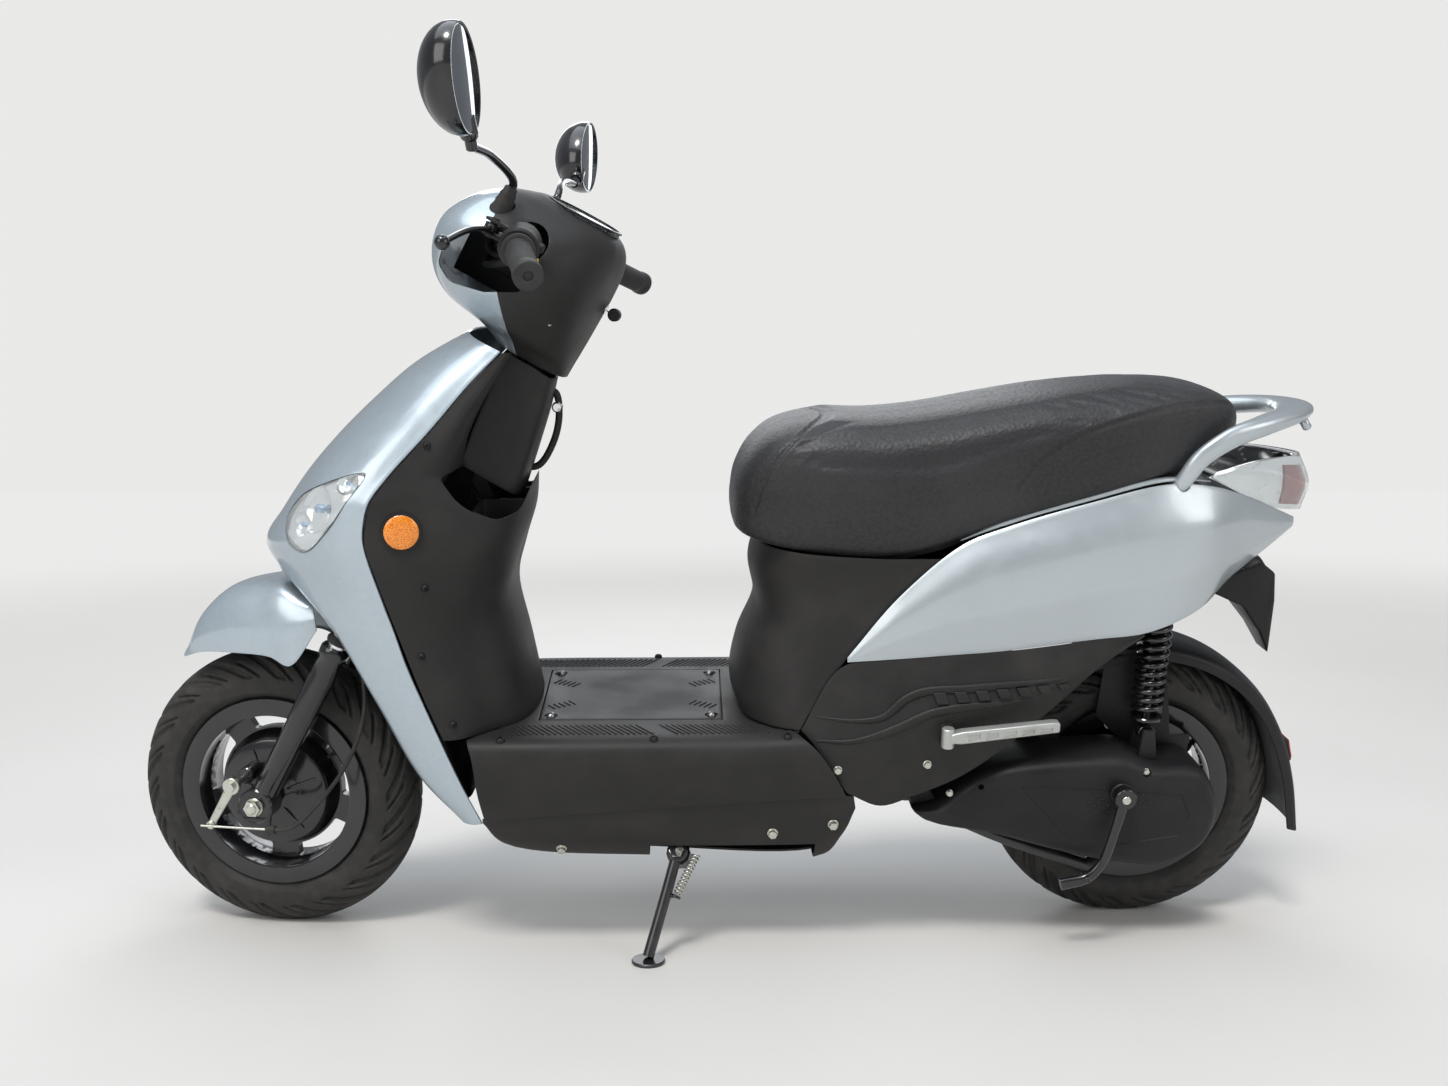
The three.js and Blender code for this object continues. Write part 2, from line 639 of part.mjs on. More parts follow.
// Handlebar: the bent tube on its stem clamp, with a threaded mirror stalk standing on each side.
const gripAhead = 10;
const gripRise = 12;
const gripBack = 44;
const gripEndRise = 6;
const podAhead = 24;
const podRise = 18;
const bendAhead = 20;
const gripStart = (side) => headPoint(-gripAhead, side * gripInner, gripRise);
const gripEnd = (side) => headPoint(gripBack, side * barHalf, gripEndRise);
const podStart = (side) => headPoint(-podAhead, side * podInner, podRise);
const barBend = (side) => [gripEnd(side), gripStart(side), podStart(side),
  headPoint(-bendAhead, side * podInner * 0.7, podRise), headPoint(0, side * podInner * 0.3, 0)];
const barPath = [...barBend(-1), ...barBend(1).reverse()];
const clampHeight = 34;
const mirrorFootAhead = 78;
const mirrorFootRise = 8;
const mirrorJointAhead = 100;
const mirrorFoot = (side) => headPoint(-mirrorFootAhead, side * nacelleHalf * 0.75, mirrorFootRise);
const mirrorJoint = (side) => headPoint(-mirrorJointAhead, side * mirrorJointHalf, mirrorJointRise);
const mirrorTiltLeft = THREE.MathUtils.degToRad(58);
const mirrorTiltRight = THREE.MathUtils.degToRad(34);
const mirrorTilt = (side) => (side < 0 ? mirrorTiltLeft : mirrorTiltRight);
const mirrorReach = (side) => v(0, side * Math.cos(mirrorTilt(side)), Math.sin(mirrorTilt(side)));
const mirrorPost = 9;
const mirrorPostRadius = 7;
const stalkNeck = 52;
const stalkBoot = 13;
const stalkBootTop = 8;
const stalkRadius = 5.5;
const stalkSink = 6;
const stalkRise = 12;
const stalkBow = 18;
const stalkSolid = (side) => {
  const perch = headPoint(-podAhead, side * podInner * 0.75, podRise);
  const foot = mirrorFoot(side);
  const neck = along(foot, steerAxis, stalkNeck);
  const joint = mirrorJoint(side);
  const reach = mirrorReach(side);
  const bow = neck.clone().lerp(joint, 0.45).add(v(0, 0, stalkBow));
  return joined(
    rod(perch, foot, barRadius * 0.8, 6),
    rod(foot, neck, stalkBoot, 8, stalkBootTop),
    straightPipe([along(neck, steerAxis, -stalkSink), along(neck, steerAxis, stalkRise), bow, joint],
      stalkRadius, 6),
    rod(along(joint, reach, -mirrorPost / 2), along(joint, reach, mirrorPost), mirrorPostRadius, 8));
};
part(steering, 'handlebar', joined(straightPipe(barPath, barRadius, 8), stalkSolid(-1), stalkSolid(1),
  rod(headPoint(0, 0, -2 * barRadius + gap), headPoint(0, 0, clampHeight / 2), stemRadius + panelWall)),
    finishes.gloss);

// Grips: the left one is fixed and the right one turns as the throttle.
function gripSolid(side) {
  const start = gripStart(side).lerp(gripEnd(side), 0.02);
  const end = gripEnd(side);
  const along = end.clone().sub(start).normalize();
  const cap = end.clone().addScaledVector(along, gripEndWall);
  const flange = start.clone().addScaledVector(along, gripEndWall);
  const body = joined(rod(start, cap, gripRadius, 10), rod(start, flange, gripFlange, 10));
  return cutBy(body, bore(start.clone().addScaledVector(along, -overrun),
    end.clone().addScaledVector(along, gap), barRadius + gap));
}
part(steering, 'grip_left', gripSolid(-1), finishes.rubber);
part(steering, 'throttle_grip', gripSolid(1), finishes.rubber);

// Switch pods clamp round the bar and carry the brake levers' pivots.
const podOuter = gripInner - 2 * runningGap;
const leverAhead = 58;
const leverPivot = (side) => headPoint(-leverAhead, side * (podInner + podOuter) / 2, podRise);
const leverPin = 5;
const podPoint = (side, share) => podStart(side).lerp(gripStart(side), share);
const earClear = 2;
const earGap = leverThick / 2 + earClear;
const earHalf = 10;
const earRoot = 30;
const earWall = 4;
function headBlock(across0, across1, side0, side1, along0, along1) {
  const geometry = new THREE.BoxGeometry(Math.abs(side1 - side0), across1 - across0, along1 - along0);
  geometry.translate((side0 + side1) / 2, (across0 + across1) / 2, -(along0 + along1) / 2);
  geometry.applyMatrix4(new THREE.Matrix4().makeBasis(axisY, steerAcross, steerAxis.clone().negate()));
  return solidOf(geometry.translate(barCentre.x, barCentre.y, barCentre.z));
}
function podSolid(side) {
  const start = podPoint(side, 0);
  const end = podPoint(side, 0.9);
  const pivot = leverPivot(side);
  const middle = side * (podInner + podOuter) / 2;
  const ear = (low, high) => headBlock(-leverAhead - earHalf, -earRoot, middle - earHalf, middle + earHalf,
    podRise + low, podRise + high);
  const pinHalf = earGap + earWall / 2;
  const pin = rod(along(pivot, steerAxis, -pinHalf), along(pivot, steerAxis, pinHalf), leverPin, 8);
  const core = rod(start, end, podRadius, 10);
  return cutBy(joined(core, ear(-earGap - earWall, -earGap), ear(earGap, earGap + earWall), pin),
    bore(start.clone().lerp(end, -0.5), start.clone().lerp(end, 1.5), barRadius + gap));
}
const buttonPlace = podPoint(-1, 0.45);
const buttonRadius = 6;
const buttonTravel = 3;
const buttonSink = 9;
const buttonUp = steerAcross.clone();
const buttonWell = (offset) => {
  const base = buttonPlace.clone().addScaledVector(steerAxis, offset);
  return rod(along(base, buttonUp, podRadius - buttonSink), along(base, buttonUp, podRadius + overrun),
    buttonRadius + 3 * gap, 6);
};
const buttonSolid = (offset) => {
  const base = buttonPlace.clone().addScaledVector(steerAxis, offset);
  return rod(along(base, buttonUp, podRadius - buttonSink + buttonTravel + gap),
    along(base, buttonUp, podRadius + buttonTravel), buttonRadius, 6);
};
const buttonSpacing = 9;
part(steering, 'switch_pod_left', cutBy(podSolid(-1), buttonWell(-buttonSpacing), buttonWell(buttonSpacing)),
  finishes.plastic);
part(steering, 'switch_pod_right', podSolid(1), finishes.plastic);
part(steering, 'horn_button', buttonSolid(-buttonSpacing), finishes.darkPlastic);
part(steering, 'indicator_button', buttonSolid(buttonSpacing), finishes.darkPlastic);

// Brake levers: a bent blade with a ball at its end, on a pin through the pod's ears.
const leverHub = 10;
const leverBow = 8;
const leverLift = 3;
const bladeRoot = 5;
const bladeMiddle = 6;
const bladeTip = 3.6;
function leverSolid(side) {
  const pivot = leverPivot(side);
  const hub = rod(along(pivot, steerAxis, -leverThick / 2), along(pivot, steerAxis, leverThick / 2), leverHub,
    8);
  const tip = pivot.clone().add(v(-leverLong * 0.16, side * leverLong, -leverLong * 0.18));
  const bend = pivot.clone().lerp(tip, 0.4).add(v(-leverBow, 0, leverLift));
  const bladeSizes = [[bladeRoot, leverThick * 0.36], [bladeMiddle, leverThick * 0.42], [bladeTip, bladeTip]];
  const blade = sweep([pivot.clone().lerp(tip, 0.03), bend, tip], bladeSizes, 6, axisZ, 2);
  const hole = bore(along(pivot, steerAxis, -leverThick), along(pivot, steerAxis, leverThick), leverPin + gap,
    8);
  const ball = solidOf(new THREE.SphereGeometry(leverThick, 6, 4).translate(tip.x, tip.y, tip.z));
  return cutBy(joined(hub, blade, ball), hole);
}
part(steering, 'brake_lever_left', leverSolid(-1), finishes.gloss);
part(steering, 'brake_lever_right', leverSolid(1), finishes.gloss);

// Mirrors: a bowl-backed head on the ball at the end of each stalk, its glass let in on the rider's side.
const mirrorNeck = 6;
const mirrorCollar = 16;
const mirrorCollarFoot = 11;
const mirrorCollarTop = 14;
function mirrorSolid(side) {
  const reach = mirrorReach(side);
  const joint = mirrorJoint(side).addScaledVector(reach, mirrorPost + gap);
  const centre = joint.clone().addScaledVector(reach, mirrorLong + mirrorNeck);
  const bowl = new THREE.SphereGeometry(1, 10, 6);
  const across = new THREE.Vector3().crossVectors(reach, v(1, 0, 0)).normalize();
  const bowlBasis = new THREE.Matrix4().makeBasis(
    reach.clone().multiplyScalar(mirrorLong), across.multiplyScalar(mirrorTall), v(2 * mirrorDeep, 0, 0));
  bowl.applyMatrix4(bowlBasis);
  const head = solidOf(bowl.translate(centre.x, centre.y, centre.z));
  const faceX = centre.x + mirrorDeep * 0.4;
  const keepHalf = 2 * mirrorLong;
  const keep = box(centre.x - 2 * mirrorDeep - overrun, faceX, centre.y - keepHalf, centre.y + keepHalf,
    centre.z - keepHalf, centre.z + keepHalf);
  const neck = rod(joint, along(joint, reach, mirrorCollar), mirrorCollarFoot, 8, mirrorCollarTop);
  return joined(head.intersect(keep), neck);
}
part(steering, 'mirror_head_left', mirrorSolid(-1), finishes.gloss);
part(steering, 'mirror_head_right', mirrorSolid(1), finishes.gloss);

// Handlebar covers: one rounded body round the bar, split upright into a front and a rear shell.
const nacelleShares = [
  [-0.985, -0.20, 0.44, 0.27], [-0.87, -0.40, 0.44, 0.38], [-0.74, -0.80, 0.44, 0.58],
    [-0.46, -0.98, 0.44, 0.82],
  [-0.06, -1.0, 0.44, 1.0], [0.26, -0.86, 0.43, 0.85], [0.46, -0.66, 0.36, 0.60], [0.57, -0.42, 0.22, 0.36]];
const nacelleCorners = 12;
function nacelleSolid(inset) {
  const rings = nacelleShares.map(([along, ahead, behind, half], k) => {
    const rise = along * nacelleRise + (k === 0 ? inset : k === nacelleShares.length - 1 ? -inset : 0);
    const low = ahead * nacelleDepth + inset;
    const high = behind * nacelleDepth - inset;
    const wide = half * nacelleHalf - inset;
    const ring = [];
    for (let i = 0; i < nacelleCorners; i++) {
      const turn = (i / nacelleCorners) * 2 * Math.PI;
      const c = Math.cos(turn);
      const s = Math.sin(turn);
      const power = 0.72;
      const across = (low + high) / 2 + Math.sign(c) * Math.abs(c) ** power * (high - low) / 2;
      ring.push(headPoint(across, Math.sign(s) * Math.abs(s) ** power * wide, rise));
    }
    return ring;
  });
  return loft(rings);
}
const nacelleShell = nacelleSolid(0).subtract(nacelleSolid(panelWall));
const splitX = barCentre.x - nacelleSplit;
const wide = wheelbase;
const aheadOf = (x) => box(-2 * wide, x, -wide, wide, -wide, 2 * wide);
const behindOf = (x) => box(x, wide, -wide, wide, -wide, 2 * wide);
const windowBack = 8;
const windowShares = [[-0.93, 0.02], [-0.80, 0.24], [-0.46, 0.36], [-0.18, 0.36], [-0.18, -0.26],
  [-0.52, -0.26], [-0.84, -0.16]];
const windowOutline = windowShares.map(([a, b]) => [barCentre.x + a * nacelleDepth + windowBack,
  barCentre.z + b * nacelleRise]);
const leverWindow = joined(slab(windowOutline, -nacelleHalf - overrun, -nacelleHalf * 0.6),
  slab(windowOutline, nacelleHalf * 0.6, nacelleHalf + overrun));
const barHole = joined(
  ...[-1, 1].map((side) => rod(headPoint(-podAhead, side * (podInner + overrun), podRise),
    headPoint(-podAhead, side * nacelleHalf * 0.5, podRise), podRadius + seam, 8)));
const stalkHoleLong = 70;
const stalkHoleClear = 1.5;
const stalkHole = (side) => bore(mirrorFoot(side), along(mirrorFoot(side), steerAxis, stalkHoleLong),
  stalkBoot + stalkHoleClear, 8);
const stemHole = rod(headPoint(0, 0, -nacelleRise * 1.1), headPoint(0, 0, -nacelleRise * 0.5),
  stemRadius + 2 * panelWall);
const dashAhead = 4;
const dashCentre = headPoint(-dashAhead, 0, nacelleRise * 0.575);
const steerTurn = new THREE.Quaternion().setFromUnitVectors(axisZ, steerAxis);
function dashSolid(grow, low, high) {
  const disc = new THREE.CylinderGeometry(1, 1, high - low, 12).rotateX(Math.PI / 2);
  disc.scale(dashLong + grow, dashHalf + grow, 1).translate(0, 0, (low + high) / 2).applyQuaternion(steerTurn);
  return solidOf(disc.translate(dashCentre.x, dashCentre.y, dashCentre.z));
}
const dashWell = dashSolid(2 * gap, -dashThick - gap, 4 * dashThick);
const barBoss = headBlock(stemRadius, 0.43 * nacelleDepth, -barRadius, barRadius, -barRadius / 2, barRadius / 2)
  .subtract(rod(headPoint(0, 0, -2 * barRadius), headPoint(0, 0, clampHeight), stemRadius + panelWall + gap));
const keySide = 36;
const keyBarrel = 9;
const keyLong = 14;
const keyStem = 2.2;
const keyBow = 9;
const keyBowHalf = 6;
const keyPlace = headPoint(nacelleDepth * 0.44, keySide, -nacelleRise * 0.2);
const keyAt = (distance) => along(keyPlace, steerAcross, distance);
const keyHole = rod(keyAt(-4 * panelWall), keyAt(4 * panelWall), keyBarrel + 3 * gap, 8);
part(steering, 'handlebar_front_cover',
  cutBy(nacelleShell.intersect(aheadOf(splitX - gap)), leverWindow, barHole,
  stalkHole(-1), stalkHole(1), stemHole), finishes.pearl);
part(steering, 'handlebar_rear_cover',
  cutBy(nacelleShell.intersect(behindOf(splitX + gap)), leverWindow, barHole,
  stalkHole(-1), stalkHole(1), stemHole, dashWell, keyHole).add(barBoss), finishes.plastic);
part(steering, 'dash_panel', dashSolid(0, -dashThick, 0).intersect(behindOf(splitX + seam)), finishes.lens);
part(steering, 'ignition_key', joined(
  rod(keyAt(-3 * panelWall), keyAt(panelWall / 2), keyBarrel, 8),
  rod(keyPlace, keyAt(keyLong), keyStem, 6),
  rod(keyAt(keyLong).setY(keySide - keyBowHalf), keyAt(keyLong).setY(keySide + keyBowHalf), keyBow, 10)),
    finishes.chrome);

// Front cowl: rows from the collar down over the nose to the feet of the leg shields. Each row runs from
// the seam with the inner shield round to the centre line, or to the inner edge of the leg.
const cowlShares = [
  [[0.882, -0.513, 0.966], [0.833, -0.482, 0.983], [0.792, -0.379, 0.994], [0.762, -0.205, 1], [0.748, 0, 1]],
  [[0.787, -0.641, 0.894], [0.715, -0.6, 0.913], [0.645, -0.472, 0.924], [0.59, -0.256, 0.924],
    [0.562, 0, 0.918]],
  [[0.667, -0.795, 0.789], [0.583, -0.759, 0.806], [0.507, -0.605, 0.822], [0.45, -0.333, 0.831],
    [0.425, 0, 0.831]],
  [[0.542, -0.923, 0.687], [0.465, -0.882, 0.704], [0.383, -0.718, 0.723], [0.328, -0.4, 0.74],
    [0.305, 0, 0.744]],
  [[0.48, -0.985, 0.624], [0.395, -0.938, 0.636], [0.295, -0.769, 0.647], [0.225, -0.436, 0.651],
    [0.193, 0, 0.649]],
  [[0.463, -1, 0.577], [0.37, -0.954, 0.569], [0.253, -0.779, 0.56], [0.14, -0.451, 0.552], [0.095, 0, 0.546]],
  [[0.458, -1, 0.526], [0.36, -0.954, 0.507], [0.235, -0.779, 0.488], [0.087, -0.441, 0.472],
    [0.025, 0, 0.463]],
  [[0.505, -0.979, 0.38], [0.395, -0.923, 0.385], [0.275, -0.769, 0.389], [0.145, -0.462, 0.392],
    [0.065, -0.154, 0.392]],
  [[0.535, -0.964, 0.302], [0.44, -0.928, 0.294], [0.338, -0.826, 0.288], [0.3, -0.718, 0.287],
    [0.295, -0.636, 0.287]],
  [[0.568, -0.944, 0.207], [0.475, -0.913, 0.207], [0.385, -0.831, 0.207], [0.365, -0.728, 0.207],
    [0.365, -0.636, 0.207]],
  [[0.632, -0.913, 0.063], [0.552, -0.892, 0.063], [0.477, -0.831, 0.063], [0.455, -0.728, 0.063],
    [0.458, -0.626, 0.063]],
  [[0.72, -0.882, -0.118], [0.65, -0.862, -0.118], [0.593, -0.815, -0.118], [0.57, -0.728, -0.118],
    [0.575, -0.626, -0.118]],
  [[0.785, -0.862, -0.233], [0.75, -0.846, -0.237], [0.72, -0.81, -0.237], [0.708, -0.749, -0.235],
    [0.71, -0.677, -0.233]],
];
const cowlCore = v(-wheelbase + 0.75 * frontSpan, 0, 0.7 * cowlHeight);
function cowlHalves(options) {
  const left = skin(rowsOf(cowlShares, frontPoint), cowlCore, { across: 2, down: 1, ...options });
  return joined(left, mirrored(left));
}
const headlightShares = [
  [0.47, -0.769, 0.691], [0.333, -0.59, 0.662], [0.22, -0.462, 0.609], [0.163, -0.41, 0.545],
    [0.18, -0.487, 0.501], [0.245, -0.641, 0.486], [0.345, -0.769, 0.556], [0.405, -0.795, 0.62]];
const lampMiddle = headlightShares.reduce((sum, [a, , c]) => [sum[0] + a, sum[1] + c], [0, 0])
  .map((sum) => sum / headlightShares.length);
function lampPrism(grow) {
  const outline = headlightShares.map(([a, , c]) => {
    const point = frontPoint([a, 0, c]);
    const middle = frontPoint([lampMiddle[0], 0, lampMiddle[1]]);
    const away = point.sub(middle);
    return away.setLength(away.length() + grow).add(middle);
  });
  return slab(outline.map((p) => [p.x, p.z]), -cowlHalf - overrun, -cowlHalf * 0.28);
}
const lampThick = 4;
const lampOpening = lampPrism(gap * 2);
part(leaning, 'front_cowl', cutBy(cowlHalves({}), lampOpening, mirrored(lampOpening)), finishes.pearl);
pair(leaning, 'headlight', cowlHalves({ sink: -1, wall: lampThick }).intersect(lampPrism(-gap)), finishes.lens);

// Inner leg shield: the black side of the front, from the same seam back to the knees, with a pocket.
const shieldShares = [
  [[0.887, -0.503, 0.962], [0.905, -0.477, 0.96], [0.91, -0.421, 0.956], [0.907, -0.349, 0.954],
    [0.905, -0.287, 0.953]],
  [[0.792, -0.631, 0.892], [0.84, -0.605, 0.89], [0.858, -0.513, 0.89], [0.855, -0.41, 0.89],
    [0.85, -0.318, 0.89]],
  [[0.672, -0.785, 0.787], [0.745, -0.749, 0.791], [0.782, -0.641, 0.795], [0.79, -0.487, 0.799],
    [0.782, -0.354, 0.803]],
  [[0.547, -0.913, 0.685], [0.645, -0.862, 0.679], [0.708, -0.744, 0.679], [0.725, -0.574, 0.679],
    [0.733, -0.421, 0.679]],
  [[0.485, -0.974, 0.624], [0.645, -0.892, 0.636], [0.84, -0.697, 0.564], [0.927, -0.472, 0.579],
    [0.965, 0, 0.655]],
  [[0.463, -0.99, 0.526], [0.62, -0.938, 0.526], [0.807, -0.769, 0.484], [0.915, -0.487, 0.507],
    [0.955, 0, 0.545]],
  [[0.487, -0.979, 0.446], [0.62, -0.938, 0.436], [0.77, -0.769, 0.408], [0.882, -0.487, 0.412],
    [0.907, 0, 0.436]],
  [[0.543, -0.954, 0.302], [0.632, -0.913, 0.294], [0.745, -0.744, 0.294], [0.853, -0.462, 0.313],
    [0.875, 0, 0.323]],
  [[0.614, -0.913, 0.123], [0.682, -0.882, 0.123], [0.782, -0.718, 0.133], [0.89, -0.462, 0.152],
    [0.917, 0, 0.161]],
  [[0.672, -0.887, 0.002], [0.72, -0.867, 0.002], [0.807, -0.718, 0.002], [0.92, -0.487, 0.002],
    [0.96, 0, 0.002]],
];
const shieldCore = v(-wheelbase + 0.55 * frontSpan, 0, 0.65 * cowlHeight);
const shieldLeft = skin(rowsOf(shieldShares, frontPoint), shieldCore, { across: 1, down: 1 });
const pocketShares = [[0.64, 0.677], [1.0, 0.677], [0.99, 0.645], [0.955, 0.613], [0.925, 0.562], [0.86, 0.553],
  [0.66, 0.640]];
const pocketOutline = pocketShares.map(([a, c]) => { const p = frontPoint([a, 0, c]); return [p.x, p.z]; });
const pocketHalf = 0.80 * cowlHalf;
const pocketMouth = slab(pocketOutline, -pocketHalf, pocketHalf);
const binX0 = -wheelbase + 0.775 * frontSpan;
const binX1 = -wheelbase + frontSpan;
const binFloor = deckHeight + 0.465 * (cowlHeight - deckHeight);
const binTop = deckHeight + 0.57 * (cowlHeight - deckHeight);
const binSide = 36;
const binBox = box(binX0, binX1, -cowlHalf, -binSide, binFloor, binTop);
const binRoom = box(binX0 + panelWall, binX1 + overrun, -cowlHalf - overrun, -binSide - panelWall,
  binFloor + panelWall, binTop + overrun);
const shieldOutside = skin(rowsOf(shieldShares, frontPoint), shieldCore,
  { across: 1, down: 1, sink: -frontSpan / 4, wall: frontSpan / 4 });
const shieldBin = cutBy(binBox, binRoom, shieldOutside);
const shieldHalf = joined(shieldLeft.subtract(pocketMouth), shieldBin);
part(leaning, 'inner_leg_shield', joined(shieldHalf, mirrored(shieldHalf)), finishes.plastic);

// Steering column cover, standing proud behind the shield, with a loop to hang a bag from.
const columnShares = [
  [[0.897, -0.267, 0.948], [0.97, -0.256, 0.916], [1.025, -0.215, 0.886], [1.042, 0, 0.878]],
  [[0.848, -0.297, 0.886], [0.927, -0.282, 0.844], [0.998, -0.236, 0.812], [1.018, 0, 0.805]],
  [[0.787, -0.338, 0.791], [0.877, -0.308, 0.746], [0.955, -0.256, 0.712], [0.975, 0, 0.704]],
  [[0.728, -0.39, 0.677], [0.823, -0.344, 0.626], [0.897, -0.287, 0.59], [0.92, 0, 0.581]],
];
const columnRows = bothSides(rowsOf(columnShares, frontPoint));
const hookShares = [[0.995, 0.84], [1.032, 0.838], [1.043, 0.778], [1.02, 0.705], [0.968, 0.645],
  [0.915, 0.64]];
const hookLoop = straightPipe(hookShares.map(([a, c]) => frontPoint([a, 0, c])), hookTube, 6);
const headLow = onSteerAxis(headTubeLow);
const headHigh = onSteerAxis(headTubeHigh);
const bossTall = 14;
const columnBossLow = frontPoint([0, 0, 0.6736]).z;
const columnBoss = box(headLow.x + headTubeRadius, frontPoint(columnShares[2][3]).x - panelWall / 2,
  -2 * panelWall, 2 * panelWall, columnBossLow, columnBossLow + bossTall)
  .subtract(rod(headLow, headHigh, headTubeRadius + gap));
part(leaning, 'column_cover', joined(skin(columnRows, cowlCore, { across: 1, down: 1 }), columnBoss, hookLoop),
  finishes.plastic);

// Liner of the wheel arch between the two legs.
const archShares = [
  [[0.282, -0.6, 0.408], [0.495, -0.595, 0.436], [0.682, -0.574, 0.465], [0.745, -0.308, 0.476],
    [0.757, 0, 0.478]],
  [[0.32, -0.6, 0.304], [0.495, -0.595, 0.309], [0.657, -0.574, 0.317], [0.725, -0.308, 0.321],
    [0.74, 0, 0.323]],
  [[0.385, -0.6, 0.207], [0.52, -0.595, 0.199], [0.632, -0.574, 0.19], [0.682, -0.308, 0.18],
    [0.695, 0, 0.176]],
  [[0.48, -0.595, 0.063], [0.57, -0.59, 0.047], [0.63, -0.574, 0.028], [0.66, -0.308, 0.013], [0.67, 0, 0.009]],
  [[0.69, -0.605, -0.203], [0.7, -0.595, -0.205], [0.715, -0.574, -0.209], [0.725, -0.308, -0.214],
    [0.73, 0, -0.216]],
];
const floorZ = 285;
const downBehind = 44;
const downJoin = 78;
const downSpan = 100;
const downX = deckFront + downBehind;
const downShares = [[-0.02, 0.507], [-0.09, 0.3226], [-0.02, 0.1613]];
const downPath = [onSteerAxis(headTubeLow + downJoin),
  ...downShares.map(([a, c]) => v(downX + a * downSpan, 0, frontPoint([0, 0, c]).z)),
  v(downX, 0, floorZ - frameTube)];
const downSolid = (grow) => straightPipe(downPath, downTube * 0.9 + grow, 6);
const linerBoss = box(downPath[2].x - 1.4 * downTube, downPath[2].x, -downTube / 3, downTube / 3,
  downPath[2].z - downTube / 2, downPath[2].z + downTube / 2)
  .subtract(downSolid(gap));
const linerSkin = skin(bothSides(rowsOf(archShares, frontPoint)), v(0, 0, deckHeight), { across: 1, down: 1 });
part(leaning, 'front_arch_liner', joined(linerSkin, linerBoss), finishes.darkPlastic);

// Floorboard with rolled edges and side skirts, the battery lid let into it, and the belly pan below.
const floorShares = [
  [[0.055, -0.901, 0.652], [0.042, -0.956, 0.777], [0.032, -0.984, 0.933], [0.021, -0.934, 0.983],
    [0.009, -0.659, 1], [0.004, 0, 1]],
  [[0.228, -0.907, 0.672], [0.228, -0.967, 0.797], [0.228, -1, 0.933], [0.228, -0.945, 0.986],
    [0.228, -0.659, 1], [0.228, 0, 1]],
  [[0.493, -0.912, 0.701], [0.493, -0.973, 0.817], [0.493, -1, 0.93], [0.493, -0.945, 0.986],
    [0.493, -0.659, 1], [0.493, 0, 1]],
  [[0.759, -0.923, 0.73], [0.755, -0.978, 0.835], [0.748, -1, 0.933], [0.74, -0.945, 0.988], [0.731, -0.659, 1],
    [0.721, 0, 1]],
  [[0.987, -0.934, 0.754], [0.958, -0.978, 0.846], [0.907, -0.989, 0.962], [0.873, -0.923, 1],
    [0.844, -0.659, 1], [0.835, 0, 1]],
];
const deckCore = v(-wheelbase / 2, 0, deckHeight / 2);
const lidX0 = deckFront + lidStart;
const lidX1 = lidX0 + lidShare * deckLong;
const lidWell = box(lidX0, lidX1, -lidHalf, lidHalf, deckHeight - lidThick, deckHeight + overrun);
const lidLip = 10;
const lidMouth = box(lidX0 + lidLip, lidX1 - lidLip, -lidHalf + lidLip, lidHalf - lidLip,
  deckHeight - 4 * lidThick, deckHeight + overrun);
const lidLedge = box(lidX0 - lidLip, lidX1 + lidLip, -lidHalf - lidLip, lidHalf + lidLip,
  deckHeight - 2 * lidThick, deckHeight - panelWall / 2);
const deckSkin = skin(bothSides(rowsOf(floorShares, deckPoint)), deckCore, { across: 1, down: 1 });
const downHole = box(downX - downTube - runningGap, downX + downTube + runningGap, -downTube - runningGap,
  downTube + runningGap, floorZ, deckHeight + overrun);
part(leaning, 'floorboard', cutBy(joined(deckSkin, lidLedge), lidWell, lidMouth, downHole), finishes.plastic);
part(leaning, 'battery_lid', box(lidX0 + seam, lidX1 - seam, -lidHalf + seam, lidHalf - seam,
  deckHeight - lidThick + gap, deckHeight + lidThick / 4), finishes.plastic);

const bellyShares = [
  [[0.049, -0.886, 0.648], [0.046, -0.824, 0.623], [0.042, -0.687, 0.603], [0.038, -0.33, 0.594],
    [0.038, 0, 0.594]],
  [[0.08, -0.886, 0.6525], [0.091, -0.824, 0.551], [0.099, -0.687, 0.499], [0.102, -0.33, 0.487],
    [0.102, 0, 0.487]],
  [[0.493, -0.898, 0.698], [0.493, -0.835, 0.522], [0.493, -0.687, 0.441], [0.493, -0.33, 0.432],
    [0.493, 0, 0.432]],
  [[0.93, -0.913, 0.745], [0.937, -0.835, 0.536], [0.945, -0.687, 0.441], [0.949, -0.33, 0.429],
    [0.949, 0, 0.429]],
  [[0.983, -0.915, 0.750], [0.987, -0.835, 0.58], [0.987, -0.687, 0.528], [0.987, -0.33, 0.519],
    [0.987, 0, 0.519]],
  [[1.009, -0.907, 0.748], [1.017, -0.846, 0.681], [1.021, -0.687, 0.667], [1.025, -0.33, 0.661],
    [1.025, 0, 0.661]],
];
const bellySkin = skin(bothSides(rowsOf(bellyShares, deckPoint)), deckCore, { across: 1, down: 1 });
const windowAhead = 40;
const windowBehind = 190;
const windowOver = 24;
const standWindow = box(standPivotX - windowAhead, standPivotX + windowBehind, -deckHalf, -deckHalf * 0.5,
  0, standPivotZ + windowOver);
part(leaning, 'belly_pan', bellySkin.subtract(standWindow), finishes.plastic);

